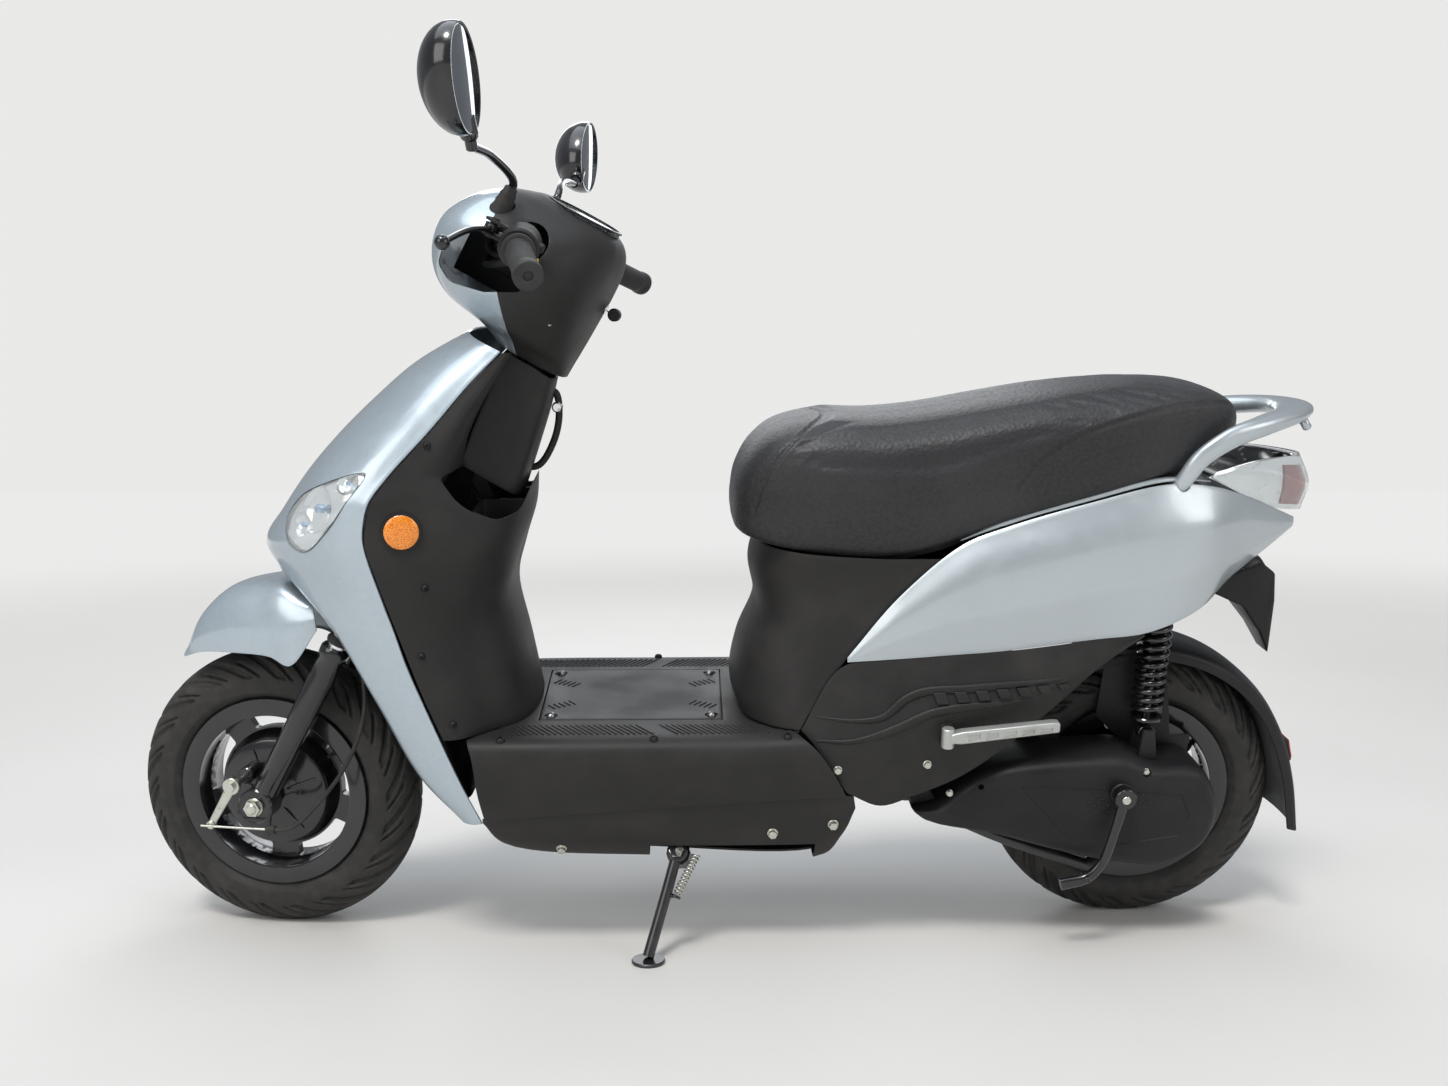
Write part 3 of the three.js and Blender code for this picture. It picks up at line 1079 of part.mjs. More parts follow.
// Panel under the front of the seat, wrapped round from side to side.
const seatPanelShares = [
  [[-0.515, -0.794, 0.512], [-0.667, -0.831, 0.516], [-0.833, -0.756, 0.525], [-0.913, -0.469, 0.529],
    [-0.933, 0, 0.529]],
  [[-0.582, -0.819, 0.449], [-0.717, -0.812, 0.449], [-0.858, -0.7, 0.447], [-0.928, -0.45, 0.449],
    [-0.948, 0, 0.449]],
  [[-0.667, -0.856, 0.33], [-0.767, -0.838, 0.33], [-0.867, -0.7, 0.33], [-0.92, -0.438, 0.33],
    [-0.935, 0, 0.33]],
  [[-0.75, -0.881, 0.192], [-0.825, -0.863, 0.192], [-0.9, -0.738, 0.192], [-0.957, -0.487, 0.192],
    [-0.975, 0, 0.192]],
  [[-0.81, -0.919, 0.071], [-0.867, -0.887, 0.071], [-0.925, -0.75, 0.071], [-0.972, -0.531, 0.071],
    [-0.99, 0, 0.071]],
  [[-0.838, -0.944, 0.008], [-0.88, -0.887, 0.008], [-0.922, -0.762, 0.008], [-0.957, -0.575, 0.008],
    [-0.973, 0, 0.008]],
];
part(leaning, 'seat_front_panel',
  skin(bothSides(rowsOf(seatPanelShares, rearPoint)), v(0, 0, deckHeight), { across: 1, down: 1 }),
  finishes.plastic);

// Side covers and the black trims below them.
const sideCoverShares = [
  [[-0.733, -0.894, 0.227], [-0.733, -0.9, 0.222], [-0.733, -0.906, 0.218], [-0.733, -0.906, 0.214]],
  [[-0.62, -0.863, 0.406], [-0.623, -0.931, 0.346], [-0.627, -0.956, 0.287], [-0.63, -0.931, 0.225]],
  [[-0.483, -0.794, 0.553], [-0.49, -0.931, 0.464], [-0.497, -0.988, 0.352], [-0.503, -0.938, 0.238]],
  [[-0.383, -0.775, 0.605], [-0.387, -0.925, 0.508], [-0.387, -0.981, 0.378], [-0.387, -0.925, 0.248]],
  [[-0.193, -0.744, 0.676], [-0.19, -0.894, 0.572], [-0.183, -0.95, 0.432], [-0.177, -0.869, 0.276]],
  [[-0.025, -0.694, 0.724], [-0.033, -0.838, 0.616], [-0.047, -0.91, 0.464], [-0.058, -0.87, 0.296]],
  [[0.083, -0.613, 0.713], [0.077, -0.76, 0.616], [0.07, -0.81, 0.486], [0.063, -0.74, 0.348]],
  [[0.183, -0.475, 0.659], [0.177, -0.55, 0.594], [0.17, -0.562, 0.508], [0.163, -0.463, 0.423]],
  [[0.28, -0.3, 0.603], [0.278, -0.338, 0.572], [0.275, -0.338, 0.542], [0.272, -0.287, 0.512]],
  [[0.323, -0.225, 0.577], [0.323, -0.237, 0.572], [0.322, -0.237, 0.566], [0.322, -0.225, 0.559]],
];
const flankCore = v(-rearSpan / 3, 0, seatHeight * 0.65);
const railShares = [[-0.02, -0.50, 0.680], [0.005, -0.64, 0.715], [0.045, -0.70, 0.800], [0.11, -0.66, 0.855],
  [0.19, -0.54, 0.885], [0.278, -0.30, 0.905], [0.312, 0, 0.912]];
const railHalfPath = railShares.map(rearPoint);
const railPath = [...railHalfPath, ...railHalfPath.slice(0, -1).reverse().map((p) => v(p.x, -p.y, p.z))];
const railSizeShares = [[0.62, 0.75], [0.62, 0.9], [0.7, 1.1], [1.4, 1], [2.3, 0.85], [1.4, 1], [0.7, 1.1],
  [0.62, 0.9], [0.62, 0.75]];
const railSolid = (grow) => sweep(railPath,
  railSizeShares.map(([a, b]) => [a * railTube + grow, b * railTube + grow]), 8, axisZ, 1);
pair(leaning, 'side_cover', skin(rowsOf(sideCoverShares, rearPoint), flankCore,
  { across: 1, down: 1 }).subtract(railSolid(seam)), finishes.silver);
const trimShares = [
  [[-0.835, -0.95, 0.011], [-0.803, -1.019, -0.032], [-0.77, -1.069, -0.097], [-0.73, -1.05, -0.175]],
  [[-0.746, -0.9, 0.197], [-0.727, -1, 0.086], [-0.708, -1.1, -0.022], [-0.653, -1.025, -0.22]],
  [[-0.63, -0.925, 0.223], [-0.62, -1, 0.13], [-0.603, -1.087, 0.037], [-0.575, -1.012, -0.19]],
  [[-0.503, -0.935, 0.236], [-0.495, -1, 0.162], [-0.487, -1.075, 0.086], [-0.467, -0.994, -0.13]],
  [[-0.387, -0.922, 0.2465], [-0.382, -0.988, 0.179], [-0.377, -1.05, 0.114], [-0.353, -0.956, -0.028]],
  [[-0.258, -0.894, 0.263], [-0.255, -0.95, 0.21], [-0.252, -0.981, 0.158], [-0.247, -0.919, 0.091]],
  [[-0.167, -0.865, 0.276], [-0.163, -0.875, 0.244], [-0.16, -0.887, 0.218], [-0.157, -0.863, 0.192]],
  [[-0.06, -0.83, 0.288], [-0.058, -0.791, 0.284], [-0.057, -0.794, 0.281], [-0.055, -0.787, 0.276]],
];
const trimSkin = skin(rowsOf(trimShares, rearPoint), flankCore, { across: 1, down: 1 });
const pegY = -tailHalf * 1.12;
const pegBracket = box(pegX - pegWide / 2, pegX + pegWide / 2, pegY + gap, -tailHalf * 1.02, pegZ - pegThick,
  pegZ + pegThick);
pair(leaning, 'lower_trim', joined(trimSkin, pegBracket), finishes.plastic);

// Tail lamp between the side covers, under the grab rail.
const tailShares = [
  [[0.097, -0.56, 0.752], [0.2, -0.45, 0.775], [0.283, -0.281, 0.778], [0.333, -0.113, 0.775],
    [0.343, 0, 0.775]],
  [[0.09, -0.58, 0.745], [0.193, -0.475, 0.735], [0.287, -0.315, 0.710], [0.353, -0.175, 0.690],
    [0.37, 0, 0.690]],
  [[0.083, -0.60, 0.738], [0.187, -0.46, 0.692], [0.285, -0.285, 0.640], [0.342, -0.17, 0.610],
    [0.353, 0, 0.600]],
];
const tailCrossX = 62;
const tailCrossZ = 647;
const crossHalf = frameTube * 0.8;
const lampArmHalf = 24;
const lampArmDrop = 11;
const lampArmRise = 5;
const lampArm = box(tailCrossX + crossHalf + gap, 0.352 * rearSpan, -lampArmHalf, lampArmHalf,
  tailCrossZ - lampArmDrop, tailCrossZ + lampArmRise);
part(leaning, 'tail_light', joined(skin(bothSides(rowsOf(tailShares, rearPoint)), v(0, 0, deckHeight * 1.8),
  { wall: 2 * panelWall, across: 1, down: 2 }), lampArm), finishes.tail);

// Grab rail: one bar from its foot on the frame, round behind the seat, to the other foot.
const railFoot = rearPoint(railShares[0]);
const railPad = 12;
const railPadLow = railFoot.z - railPad;
const padBox = (side, low, high) => box(railFoot.x - railPad, railFoot.x + railPad, side * railFoot.y - railPad,
  side * railFoot.y + railPad, low, high);
part(leaning, 'grab_rail', joined(railSolid(0), padBox(1, railPadLow, railFoot.z),
  padBox(-1, railPadLow, railFoot.z)), finishes.silver);

// Rear plate bracket with its lamp housing.
const plateShares = [[0.12, 0.37], [0.20, 0.43], [0.25, 0.455], [0.285, 0.42], [0.295, 0.33], [0.31, 0.14],
  [0.275, 0.22], [0.22, 0.31]];
const plateOutline = plateShares.map(([a, c]) => { const p = rearPoint([a, 0, c]); return [p.x, p.z]; });
const plateHalf = 52;
const plateArmHalf = 16;
const plateArm = box(tailCrossX - crossHalf, tailCrossX + crossHalf, -plateArmHalf, plateArmHalf,
  plateOutline[0][1] - overrun, tailCrossZ - crossHalf - gap);
const plateTie = slab([plateOutline[0], plateOutline[1], [tailCrossX + crossHalf, plateOutline[1][1]],
  [tailCrossX - crossHalf, plateOutline[0][1] + overrun],
  [tailCrossX - crossHalf, plateOutline[0][1] - overrun]], -plateArmHalf, plateArmHalf);
part(leaning, 'plate_bracket', joined(slab(plateOutline, -plateHalf, plateHalf), plateTie, plateArm),
  finishes.darkPlastic);

// What the covers hide: the frame, the battery under the floor and the bucket under the seat.
const forkStart = 4;
const forkOut = 24;
const railMiddle = 80;
const sweepStart = 55;
const sweepBack = 20;
const sweepSpan = 100;
const sweepShares = [[-3.3, 0.98, 5], [-2.3, 0.92, 5.75], [-0.6, 0.84, 6.22], [0.66, 0.66, 6.48]];
const upSweep = (side) => [v(downX + forkStart, side * frameTube, floorZ),
  v(downX + forkOut, side * railHalf, floorZ),
  v(-wheelbase / 2 - railMiddle, side * railHalf, floorZ), v(-deckEnd - sweepStart, side * railHalf, floorZ),
  v(-deckEnd + sweepBack, side * railHalf, deckHeight),
  ...sweepShares.map(([a, b, c]) => v(a * sweepSpan, side * b * sweepSpan, c * sweepSpan))];
const crossTube = (x, z, half) => box(x - crossHalf, x + crossHalf, -half, half, z - crossHalf, z + crossHalf);
const pivotHole = 8;
const earThick = 8;
const swingHalf = 66;
const postHalf = 8;
const postAhead = 75;
const postBehind = 104;
const floorPosts = [deckFront + postAhead,
  -deckEnd - postBehind].flatMap((x) => [-1, 1].map((side) => box(x - postHalf, x + postHalf,
  side * railHalf - postHalf, side * railHalf + postHalf, floorZ, deckHeight - panelWall - gap)));
const railLug = (side) => padBox(side, railPadLow - 3 * railPad, railPadLow - gap);
const pivotReach = 20;
const pivotDrop = 18;
const earRootHalf = 30;
const earRootTop = 22;
const earRootFoot = 6;
const earRootDrop = 12;
const earOutline = [[casePivotX - pivotReach, casePivotZ - pivotDrop],
  [casePivotX + pivotReach, casePivotZ - pivotDrop],
  [casePivotX + pivotReach, casePivotZ + pivotReach], [-deckEnd + earRootHalf, deckHeight + earRootTop],
  [-deckEnd - earRootHalf, floorZ + earRootFoot], [-deckEnd - pivotReach, floorZ - earRootDrop]];
const earMiddle = swingHalf + earThick;
const pivotEar = (side) => slab(earOutline, side * earMiddle - earThick / 2, side * earMiddle + earThick / 2);
const shockPlateClear = 4;
const shockPlateY = shockY + springRadius + shockPlateClear;
const shockPlateLong = 100;
const shockPlateShares = [[-0.2, 1.1], [0.22, 1.16], [0.12, -0.12], [-0.12, -0.12]];
const shockPlateOutline = shockPlateShares.map(([a, c]) => [shockTopX + a * shockPlateLong,
  shockTopZ + c * shockPlateLong]);
const shockPlate = slab(shockPlateOutline, shockPlateY, shockPlateY + earThick);
const shockPinRadius = 5;
const shockPinProud = 2;
const shockPin = rod(v(shockTopX, shockPlateY + earThick / 2, shockTopZ),
  v(shockTopX, shockY - shockBodyRadius - shockPinProud, shockTopZ), shockPinRadius, 12);

// Side stand: its pivot bolt is square to both its lowered and its folded direction.
const footSpot = v(standFootX, -standFootReach, 0).applyMatrix4(leaning.matrixWorld.clone().invert());
const upSpot = v(standFootX, -standFootReach, standPadThick).applyMatrix4(leaning.matrixWorld.clone().invert());
const standPivot = v(standPivotX, standPivotY, standPivotZ);
const standFolded = v(0.99, -0.1, 0.05).normalize();
const standDown = footSpot.clone().sub(standPivot).normalize();
const standAxis = standDown.clone().cross(standFolded).normalize();
const hubThick = 18;
const boltRadius = 6;
const lugLong = 32;
const lugRadius = 17;
const boltProud = 6;
const boltHead = 7;
const boltHeadRadius = 10;
const strutBack = 6;
const strutRadius = 11;
const standAt = (distance) => along(standPivot, standAxis, distance);
const standLug = rod(standAt(-lugLong), standPivot, lugRadius, 10);
const standBolt = joined(rod(standAt(-hubThick / 2), standAt(hubThick + boltProud), boltRadius, 8),
  rod(standAt(hubThick + gap * 2), standAt(hubThick + boltHead), boltHeadRadius, 6));
const standStrut = rod(standAt(-lugLong * 0.8), v(standPivotX + strutBack, -railHalf, floorZ), strutRadius, 8);

const seatCrossX = -160;
const seatCrossZ = 597;
const seatCrossHalf = 88;
const tailCrossHalf = 66;
const frameBody = joined(rod(headLow, headHigh, headTubeRadius), downSolid(0),
  straightPipe(upSweep(-1), frameTube, 6), straightPipe(upSweep(1), frameTube, 6),
  crossTube(-deckEnd + sweepBack, deckHeight, railHalf), crossTube(seatCrossX, seatCrossZ, seatCrossHalf),
  crossTube(tailCrossX, tailCrossZ, tailCrossHalf), railLug(-1), railLug(1), ...floorPosts,
  pivotEar(-1), pivotEar(1), shockPlate, shockPin, standLug, standBolt, standStrut);
const headBore = bore(along(headLow, steerAxis, -overrun), along(headHigh, steerAxis, overrun),
  stemRadius + gap);
const pivotBore = bore(v(casePivotX, -tailHalf, casePivotZ), v(casePivotX, tailHalf, casePivotZ),
  pivotHole + gap);
part(leaning, 'main_frame', cutBy(frameBody, headBore, pivotBore), finishes.gloss);

const batteryLow = 167.4;
const batteryHigh = 330;
const batteryHalf = 84;
part(leaning, 'battery_pack', box(lidX0 + 2 * lidLip, lidX1 - 2 * lidLip, -batteryHalf, batteryHalf, batteryLow,
  batteryHigh), finishes.battery);

const bucketFront = -535;
const bucketRear = -200;
const bucketHalf = 74;
const bucketLow = 400;
const bucketHigh = 568;
const hingeX = -546;
const hingeZ = 573;
const hingeHalf = 30;
const hingeRadius = 8;
const hingePin = 4;
const hingeLug = 20;
const bucketShell = cutBy(box(bucketFront, bucketRear, -bucketHalf, bucketHalf, bucketLow, bucketHigh),
  box(bucketFront + panelWall, bucketRear - panelWall, -bucketHalf + panelWall, bucketHalf - panelWall,
    bucketLow + panelWall, bucketHigh + overrun));
const hingeEarRise = 6;
const hingeEarBite = 1;
const hingeEarLong = 40;
const hingeEarDip = 5;
const hingeEarHalf = 4;
const hingeEarOutline = [[hingeX - hingeRadius, hingeZ - hingeEarRise],
  [bucketFront + hingeEarBite, bucketHigh - hingeEarLong],
  [bucketFront + hingeEarBite, hingeZ - hingeEarDip], [hingeX + hingeRadius * 0.6, hingeZ + hingeEarRise],
  [hingeX - hingeRadius * 0.6, hingeZ + hingeEarRise]];
const hingeEarMiddle = hingeHalf - hingeEarHalf;
const hingeEar = (side) => slab(hingeEarOutline, side * hingeEarMiddle - hingeEarHalf,
  side * hingeEarMiddle + hingeEarHalf);
const bucketFootX = -deckEnd + sweepBack;
const bucketFoot = (side) => box(bucketFootX - postHalf, bucketFootX + postHalf,
  side * bucketHalf / 2 - postHalf,
  side * bucketHalf / 2 + postHalf, deckHeight + crossHalf + gap, bucketLow + panelWall / 2);
part(leaning, 'storage_bucket', joined(bucketShell, bucketFoot(-1), bucketFoot(1), hingeEar(-1), hingeEar(1),
  rod(v(hingeX, -hingeHalf, hingeZ), v(hingeX, hingeHalf, hingeZ), hingePin, 8)), finishes.darkPlastic);

// Seat: stations of [X, underside, top, half width] shares from nose to tail, and the half outline of a
// section as [side, height] shares from the middle of the underside to the middle of the crown.
const seatShares = [
  [-0.994, 0.605, 0.655, 0.24], [-0.980, 0.572, 0.735, 0.49], [-0.942, 0.552, 0.815, 0.66],
    [-0.885, 0.537, 0.870, 0.76],
  [-0.800, 0.522, 0.895, 0.82], [-0.668, 0.511, 0.893, 0.85], [-0.555, 0.534, 0.907, 0.85],
    [-0.408, 0.603, 0.940, 0.84],
  [-0.267, 0.655, 0.970, 0.82], [-0.123, 0.706, 0.989, 0.77], [0.000, 0.756, 0.998, 0.68],
    [0.075, 0.801, 0.989, 0.60],
  [0.130, 0.827, 0.963, 0.48], [0.158, 0.849, 0.922, 0.33], [0.168, 0.864, 0.896, 0.18]];
const sectionShares = [[0, 0], [0.88, 0], [0.945, 0.09], [0.965, 0.34], [0.990, 0.54], [0.985, 0.70],
  [0.93, 0.84], [0.80, 0.93], [0.50, 0.985], [0, 1]];
const seatCurve = new THREE.CatmullRomCurve3(seatShares.map(([x, low, high]) => v(x, low, high)), false,
  'centripetal');
const widthCurve = new THREE.CatmullRomCurve3(seatShares.map(([x, , , half]) => v(x, half, 0)), false,
  'centripetal');
const sectionCurve = new THREE.CatmullRomCurve3(sectionShares.map(([y, z]) => v(0, y, z)), false,
  'centripetal');
const seatZ = (share) => deckHeight + share * (seatHeight - deckHeight);

// A point on the seat at a share of its length and a share of the way round its half section.
function seatPoint(along, around, side = -1) {
  const station = seatCurve.getPoint(along);
  const half = widthCurve.getPoint(along).y * tailHalf;
  const place = sectionCurve.getPoint(around);
  return v(station.x * rearSpan, side * place.y * half,
    THREE.MathUtils.lerp(seatZ(station.y), seatZ(station.z), place.z));
}
const seatStations = Math.round((seatShares.length - 1) * 1.3);
const sectionSteps = sectionShares.length - 1;
const seatRings = Array.from({ length: seatStations + 1 }, (_, i) => {
  const left = Array.from({ length: sectionSteps + 1 },
    (_, j) => seatPoint(i / seatStations, j / sectionSteps));
  const right = left.slice(1, -1).reverse().map((p) => v(p.x, -p.y, p.z));
  return [...left, ...right];
});
const frontSeamShares = [[0.300, 1.0], [0.262, 0.82], [0.215, 0.66], [0.170, 0.50], [0.140, 0.34]];
const sideSeamShares = [[0.520, 0.30], [0.545, 0.42], [0.585, 0.52], [0.650, 0.60], [0.740, 0.645],
  [0.850, 0.67]];
const channelRadius = seatChannel / 2;
const channel = (shares, side) => pipe(shares.map(([along, around]) => seatPoint(along, around, side)),
  channelRadius, 3, 5);
const frontSeam = [...frontSeamShares.slice().reverse().map(([a, b]) => seatPoint(a, b, -1)),
  ...frontSeamShares.slice(1).map(([a, b]) => seatPoint(a, b, 1))];
part(leaning, 'seat_cushion', cutBy(loft(seatRings), pipe(frontSeam, channelRadius, 3, 8),
  channel(sideSeamShares, -1), channel(sideSeamShares, 1)), finishes.vinyl);

const panFirst = 5;
const panLast = seatStations - 4;
const panRows = Array.from({ length: panLast - panFirst + 1 }, (_, i) => {
  const along = (panFirst + i) / seatStations;
  const half = widthCurve.getPoint(along).y * tailHalf * 0.74;
  return [-1, 0, 1].map((share) => v(seatPoint(along, 0).x, share * half, seatPoint(along, 0).z - gap));
});
const panFront = panRows[0][2];
const hingeRoot = 14;
const hingeInset = 2;
const hingeOver = 9;
const hingeArm = [[hingeX, hingeZ - hingeRadius * 0.5], [panFront.x + hingeRoot, panFront.z - seatPan],
  [panFront.x + hingeRoot, panFront.z - hingeInset], [hingeX, hingeZ + hingeRadius]];
const seatHinge = cutBy(
  joined(rod(v(hingeX, -hingeLug, hingeZ), v(hingeX, hingeLug, hingeZ), hingeRadius, 10),
    slab(hingeArm, -hingeLug, hingeLug)),
  rod(v(hingeX, -hingeHalf - hingeOver, hingeZ), v(hingeX, hingeHalf + hingeOver, hingeZ), hingePin + gap, 8));
part(leaning, 'seat_base', joined(skin(panRows, v(-rearSpan / 2, 0, 0), { wall: seatPan, across: 1, down: 1 }),
  seatHinge), finishes.plastic);

// Drive unit: a case that swings on the frame and carries the rear spindle, with the wheel cover on it.
const caseShares = [[-0.570, 0.535], [-0.520, 0.555], [-0.410, 0.675], [-0.150, 0.725], [-0.075, 0.725],
  [-0.015, 0.690], [0.095, 0.680], [0.135, 0.600],
  [0.146, 0.505], [0.118, 0.395], [0.035, 0.325], [-0.070, 0.330], [-0.240, 0.385], [-0.375, 0.445],
    [-0.545, 0.500]];
const caseUnit = 2 * rearTyreRadius;
const casePoint = ([a, c]) => [a * rearSpan, c * caseUnit];
const caseFlat = slab(caseShares.map(casePoint), -caseOuter, -caseInner);
const caseMiddle = v(-0.2 * rearSpan, 0, 0.5 * caseUnit);
const caseEdge = 14;
const caseOutline = caseShares.map(casePoint);
const caseInset = caseOutline.map(([x, z]) => [x + Math.sign(caseMiddle.x - x) * caseEdge * 0.6,
  z + Math.sign(caseMiddle.z - z) * caseEdge * 0.7]);
const edgeCut = slab(caseOutline, -caseOuter - overrun, -caseOuter + caseEdge)
  .subtract(slab(caseInset, -caseOuter - 2 * overrun, -caseOuter + caseEdge + overrun));
const neckStart = 30;
const neckRadius = 17;
const neckEnd = swingHalf + earThick / 2 - runningGap / 2;
const caseNeck = rod(v(casePivotX, -caseOuter + neckStart, casePivotZ), v(casePivotX, neckEnd, casePivotZ),
  neckRadius, 8);
const slotHalf = 40;
const slotOver = 100;
const slotWide = earThick / 2 + runningGap / 2;
const pivotSlots = [-1, 1].map((side) => box(casePivotX - slotHalf, casePivotX + slotHalf,
  side * earMiddle - slotWide, side * earMiddle + slotWide, casePivotZ - slotHalf, casePivotZ + slotOver));
const armLong = 90;
const armHalf = 14;
const armDrop = 26;
const armBite = 1;
const armWall = 12;
const swingArm = slab([[casePivotX, casePivotZ - armHalf], [casePivotX + armLong, casePivotZ - armDrop],
  [casePivotX + armLong, casePivotZ + armHalf], [casePivotX, casePivotZ + armHalf]], -caseInner - armBite,
    -caseInner + armWall);
const shaftProud = 22;
const shaftCollar = 8;
const nutEnd = 14;
const nutWall = 3;
const onRearHub = (y) => rearHub.clone().setY(y);
const rearShaft = joined(rod(onRearHub(-caseInner - overrun), onRearHub(drumHalf + shaftProud), axleRadius),
  rod(onRearHub(-caseInner - overrun), onRearHub(-drumHalf - 2 * gap), axleRadius + shaftCollar),
  rod(onRearHub(drumHalf + 2 * gap), onRearHub(drumHalf + nutEnd), nutRadius + nutWall, 6));
const shockEarFoot = 16;
const shockEarTop = 8;
const shockEarNear = shockBodyRadius + earClear;
const shockEarFar = shockEarNear + earThick;
const shockEarOutline = [[shockFootX - shockEarFoot, 0.66 * caseUnit],
  [shockFootX + shockEarFoot, 0.66 * caseUnit],
  [shockFootX + shockEarTop, shockFootZ + shockEarTop], [shockFootX - shockEarTop, shockFootZ + shockEarTop]];
const shockEar = joined(slab(shockEarOutline, shockY + shockEarNear, shockY + shockEarFar),
  slab(shockEarOutline, shockY - shockEarFar, shockY - shockEarNear));
const kickBossBite = 2;
const kickBossProud = 6;
const kickBossRadius = 16;
const spindleProud = 26;
const spindleRadius = 6;
const onKick = (y) => v(kickX, y, kickZ);
const kickBoss = rod(onKick(-caseOuter + kickBossBite), onKick(-caseOuter - kickBossProud), kickBossRadius);
const kickSpindle = rod(onKick(-caseOuter), onKick(-caseOuter - spindleProud), spindleRadius, 12);
const standPivotClear = 1;
const centrePivot = v(centreStandPivotX, 0, centreStandPivotZ);
const onCentre = (y) => centrePivot.clone().setY(y);
const standHole = rod(onCentre(-tailHalf), onCentre(tailHalf), centreStandTube + standPivotClear, 10);
const carrierStart = 20;
const carrierDrop = 24;
const carrierHalf = 16;
const carrierFoot = 14;
const carrierTop = 8;
const carrierOutline = [[casePivotX + carrierStart, casePivotZ - carrierDrop],
  [centreStandPivotX - carrierHalf, centreStandPivotZ - carrierFoot],
  [centreStandPivotX + carrierHalf, centreStandPivotZ - carrierFoot],
    [centreStandPivotX + carrierHalf, casePivotZ - carrierTop]];
const standCarrier = slab(carrierOutline, -caseInner - armBite, -caseInner + armWall);
const pivotBoltHead = 12;
const pivotBoltTail = 10;
const pivotBolt = rod(v(casePivotX, -earMiddle - pivotBoltHead, casePivotZ),
  v(casePivotX, earMiddle + pivotBoltTail, casePivotZ),
  pivotHole, 8);
const caseBody = joined(caseFlat.subtract(edgeCut), caseNeck, swingArm, standCarrier, rearShaft, shockEar,
  kickBoss, kickSpindle);
part(leaning, 'drive_case', cutBy(caseBody, standHole, ...pivotSlots).add(pivotBolt), finishes.darkPlastic);

// Rear wheel cover: an arc over the tyre with rolled edges, and its bracket on the inner face of the case.
const huggerFrom = THREE.MathUtils.degToRad(112);
const huggerTo = THREE.MathUtils.degToRad(-14);
const huggerFlareShares = [0, 0, 0, 0, 0, 0, 0.23, 1];
const huggerFlare = 26;
const huggerEdgeShares = [[-1, -0.16], [-0.97, -0.06], [-0.6, 0], [0, 0.02]];
const huggerRows = huggerFlareShares.map((flareShare, i) => {
  const turn = THREE.MathUtils.lerp(huggerFrom, huggerTo, i / (huggerFlareShares.length - 1));
  const flare = flareShare * huggerFlare;
  return huggerEdgeShares.map(([side, lift]) => {
    const radius = huggerRadius + lift * huggerRadius * 0.6 + flare + huggerWall;
    return v(rearAxle.x + radius * Math.cos(turn), side * huggerHalf, rearAxle.z + radius * Math.sin(turn));
  });
});
const bracketSpan = 100;
const bracketShares = [[0.2, 2.5], [0.66, 2.62], [0.7, 3], [0.4, 3], [0.24, 4.4], [-0.6, 4.4], [-0.7, 3.3],
  [-0.3, 2.9]];
const bracketY = -caseInner + huggerWall;
const huggerBracket = slab(bracketShares.map(([a, c]) => [a * bracketSpan, c * bracketSpan]), -caseInner + gap,
  bracketY);
const tieAhead = 62;
const tieBehind = 26;
const tieLow = 424;
const tieTall = 8;
const tieInset = 1;
const huggerTie = box(-tieAhead, tieBehind, -huggerHalf + tieInset, bracketY, tieLow, tieLow + tieTall);
part(leaning, 'rear_hugger', joined(skin(bothSides(huggerRows), rearAxle,
  { wall: huggerWall, across: 1, down: 1 }), huggerBracket, huggerTie), finishes.darkPlastic);

// Rear shock: the body hangs on the frame pin, the rod stands on the case, and the spring is a real helix.
const shockTop = v(shockTopX, shockY, shockTopZ);
const shockFoot = v(shockFootX, shockY, shockFootZ);
const shockAlong = shockFoot.clone().sub(shockTop).normalize();
const onShock = (distance) => shockTop.clone().addScaledVector(shockAlong, distance);
const shockLong = shockTop.distanceTo(shockFoot);
const eyeRadius = 12;
const capThick = 6;
const bodyEnd = 96;
const collarAt = 24;
const springEnd = shockLong - collarAt;
const shockEyeBore = shockPinRadius + 3 * gap;
const rodEngage = 12;
const rodBore = 80;
const sideways = (point, half, radius, sides = 8) => rod(point.clone().add(v(0, -half, 0)),
  point.clone().add(v(0, half, 0)), radius, sides);
part(leaning, 'shock_body', cutBy(joined(sideways(shockTop, shockBodyRadius, eyeRadius),
  rod(onShock(eyeRadius / 2), onShock(bodyEnd), shockBodyRadius, 10),
  rod(onShock(collarAt - capThick), onShock(collarAt), springRadius + springWire, 10)),
sideways(shockTop, 2 * shockBodyRadius, shockEyeBore, 8),
  bore(onShock(bodyEnd - rodBore), onShock(bodyEnd + overrun), shockRodRadius + gap)), finishes.gloss);
part(leaning, 'shock_rod', cutBy(joined(rod(onShock(bodyEnd - rodEngage), onShock(shockLong - eyeRadius / 2),
  shockRodRadius, 10),
  sideways(shockFoot, shockBodyRadius, eyeRadius),
    rod(onShock(springEnd), onShock(springEnd + capThick), springRadius + springWire, 10)),
sideways(shockFoot, 2 * shockBodyRadius, shockEyeBore, 8)), finishes.gloss);

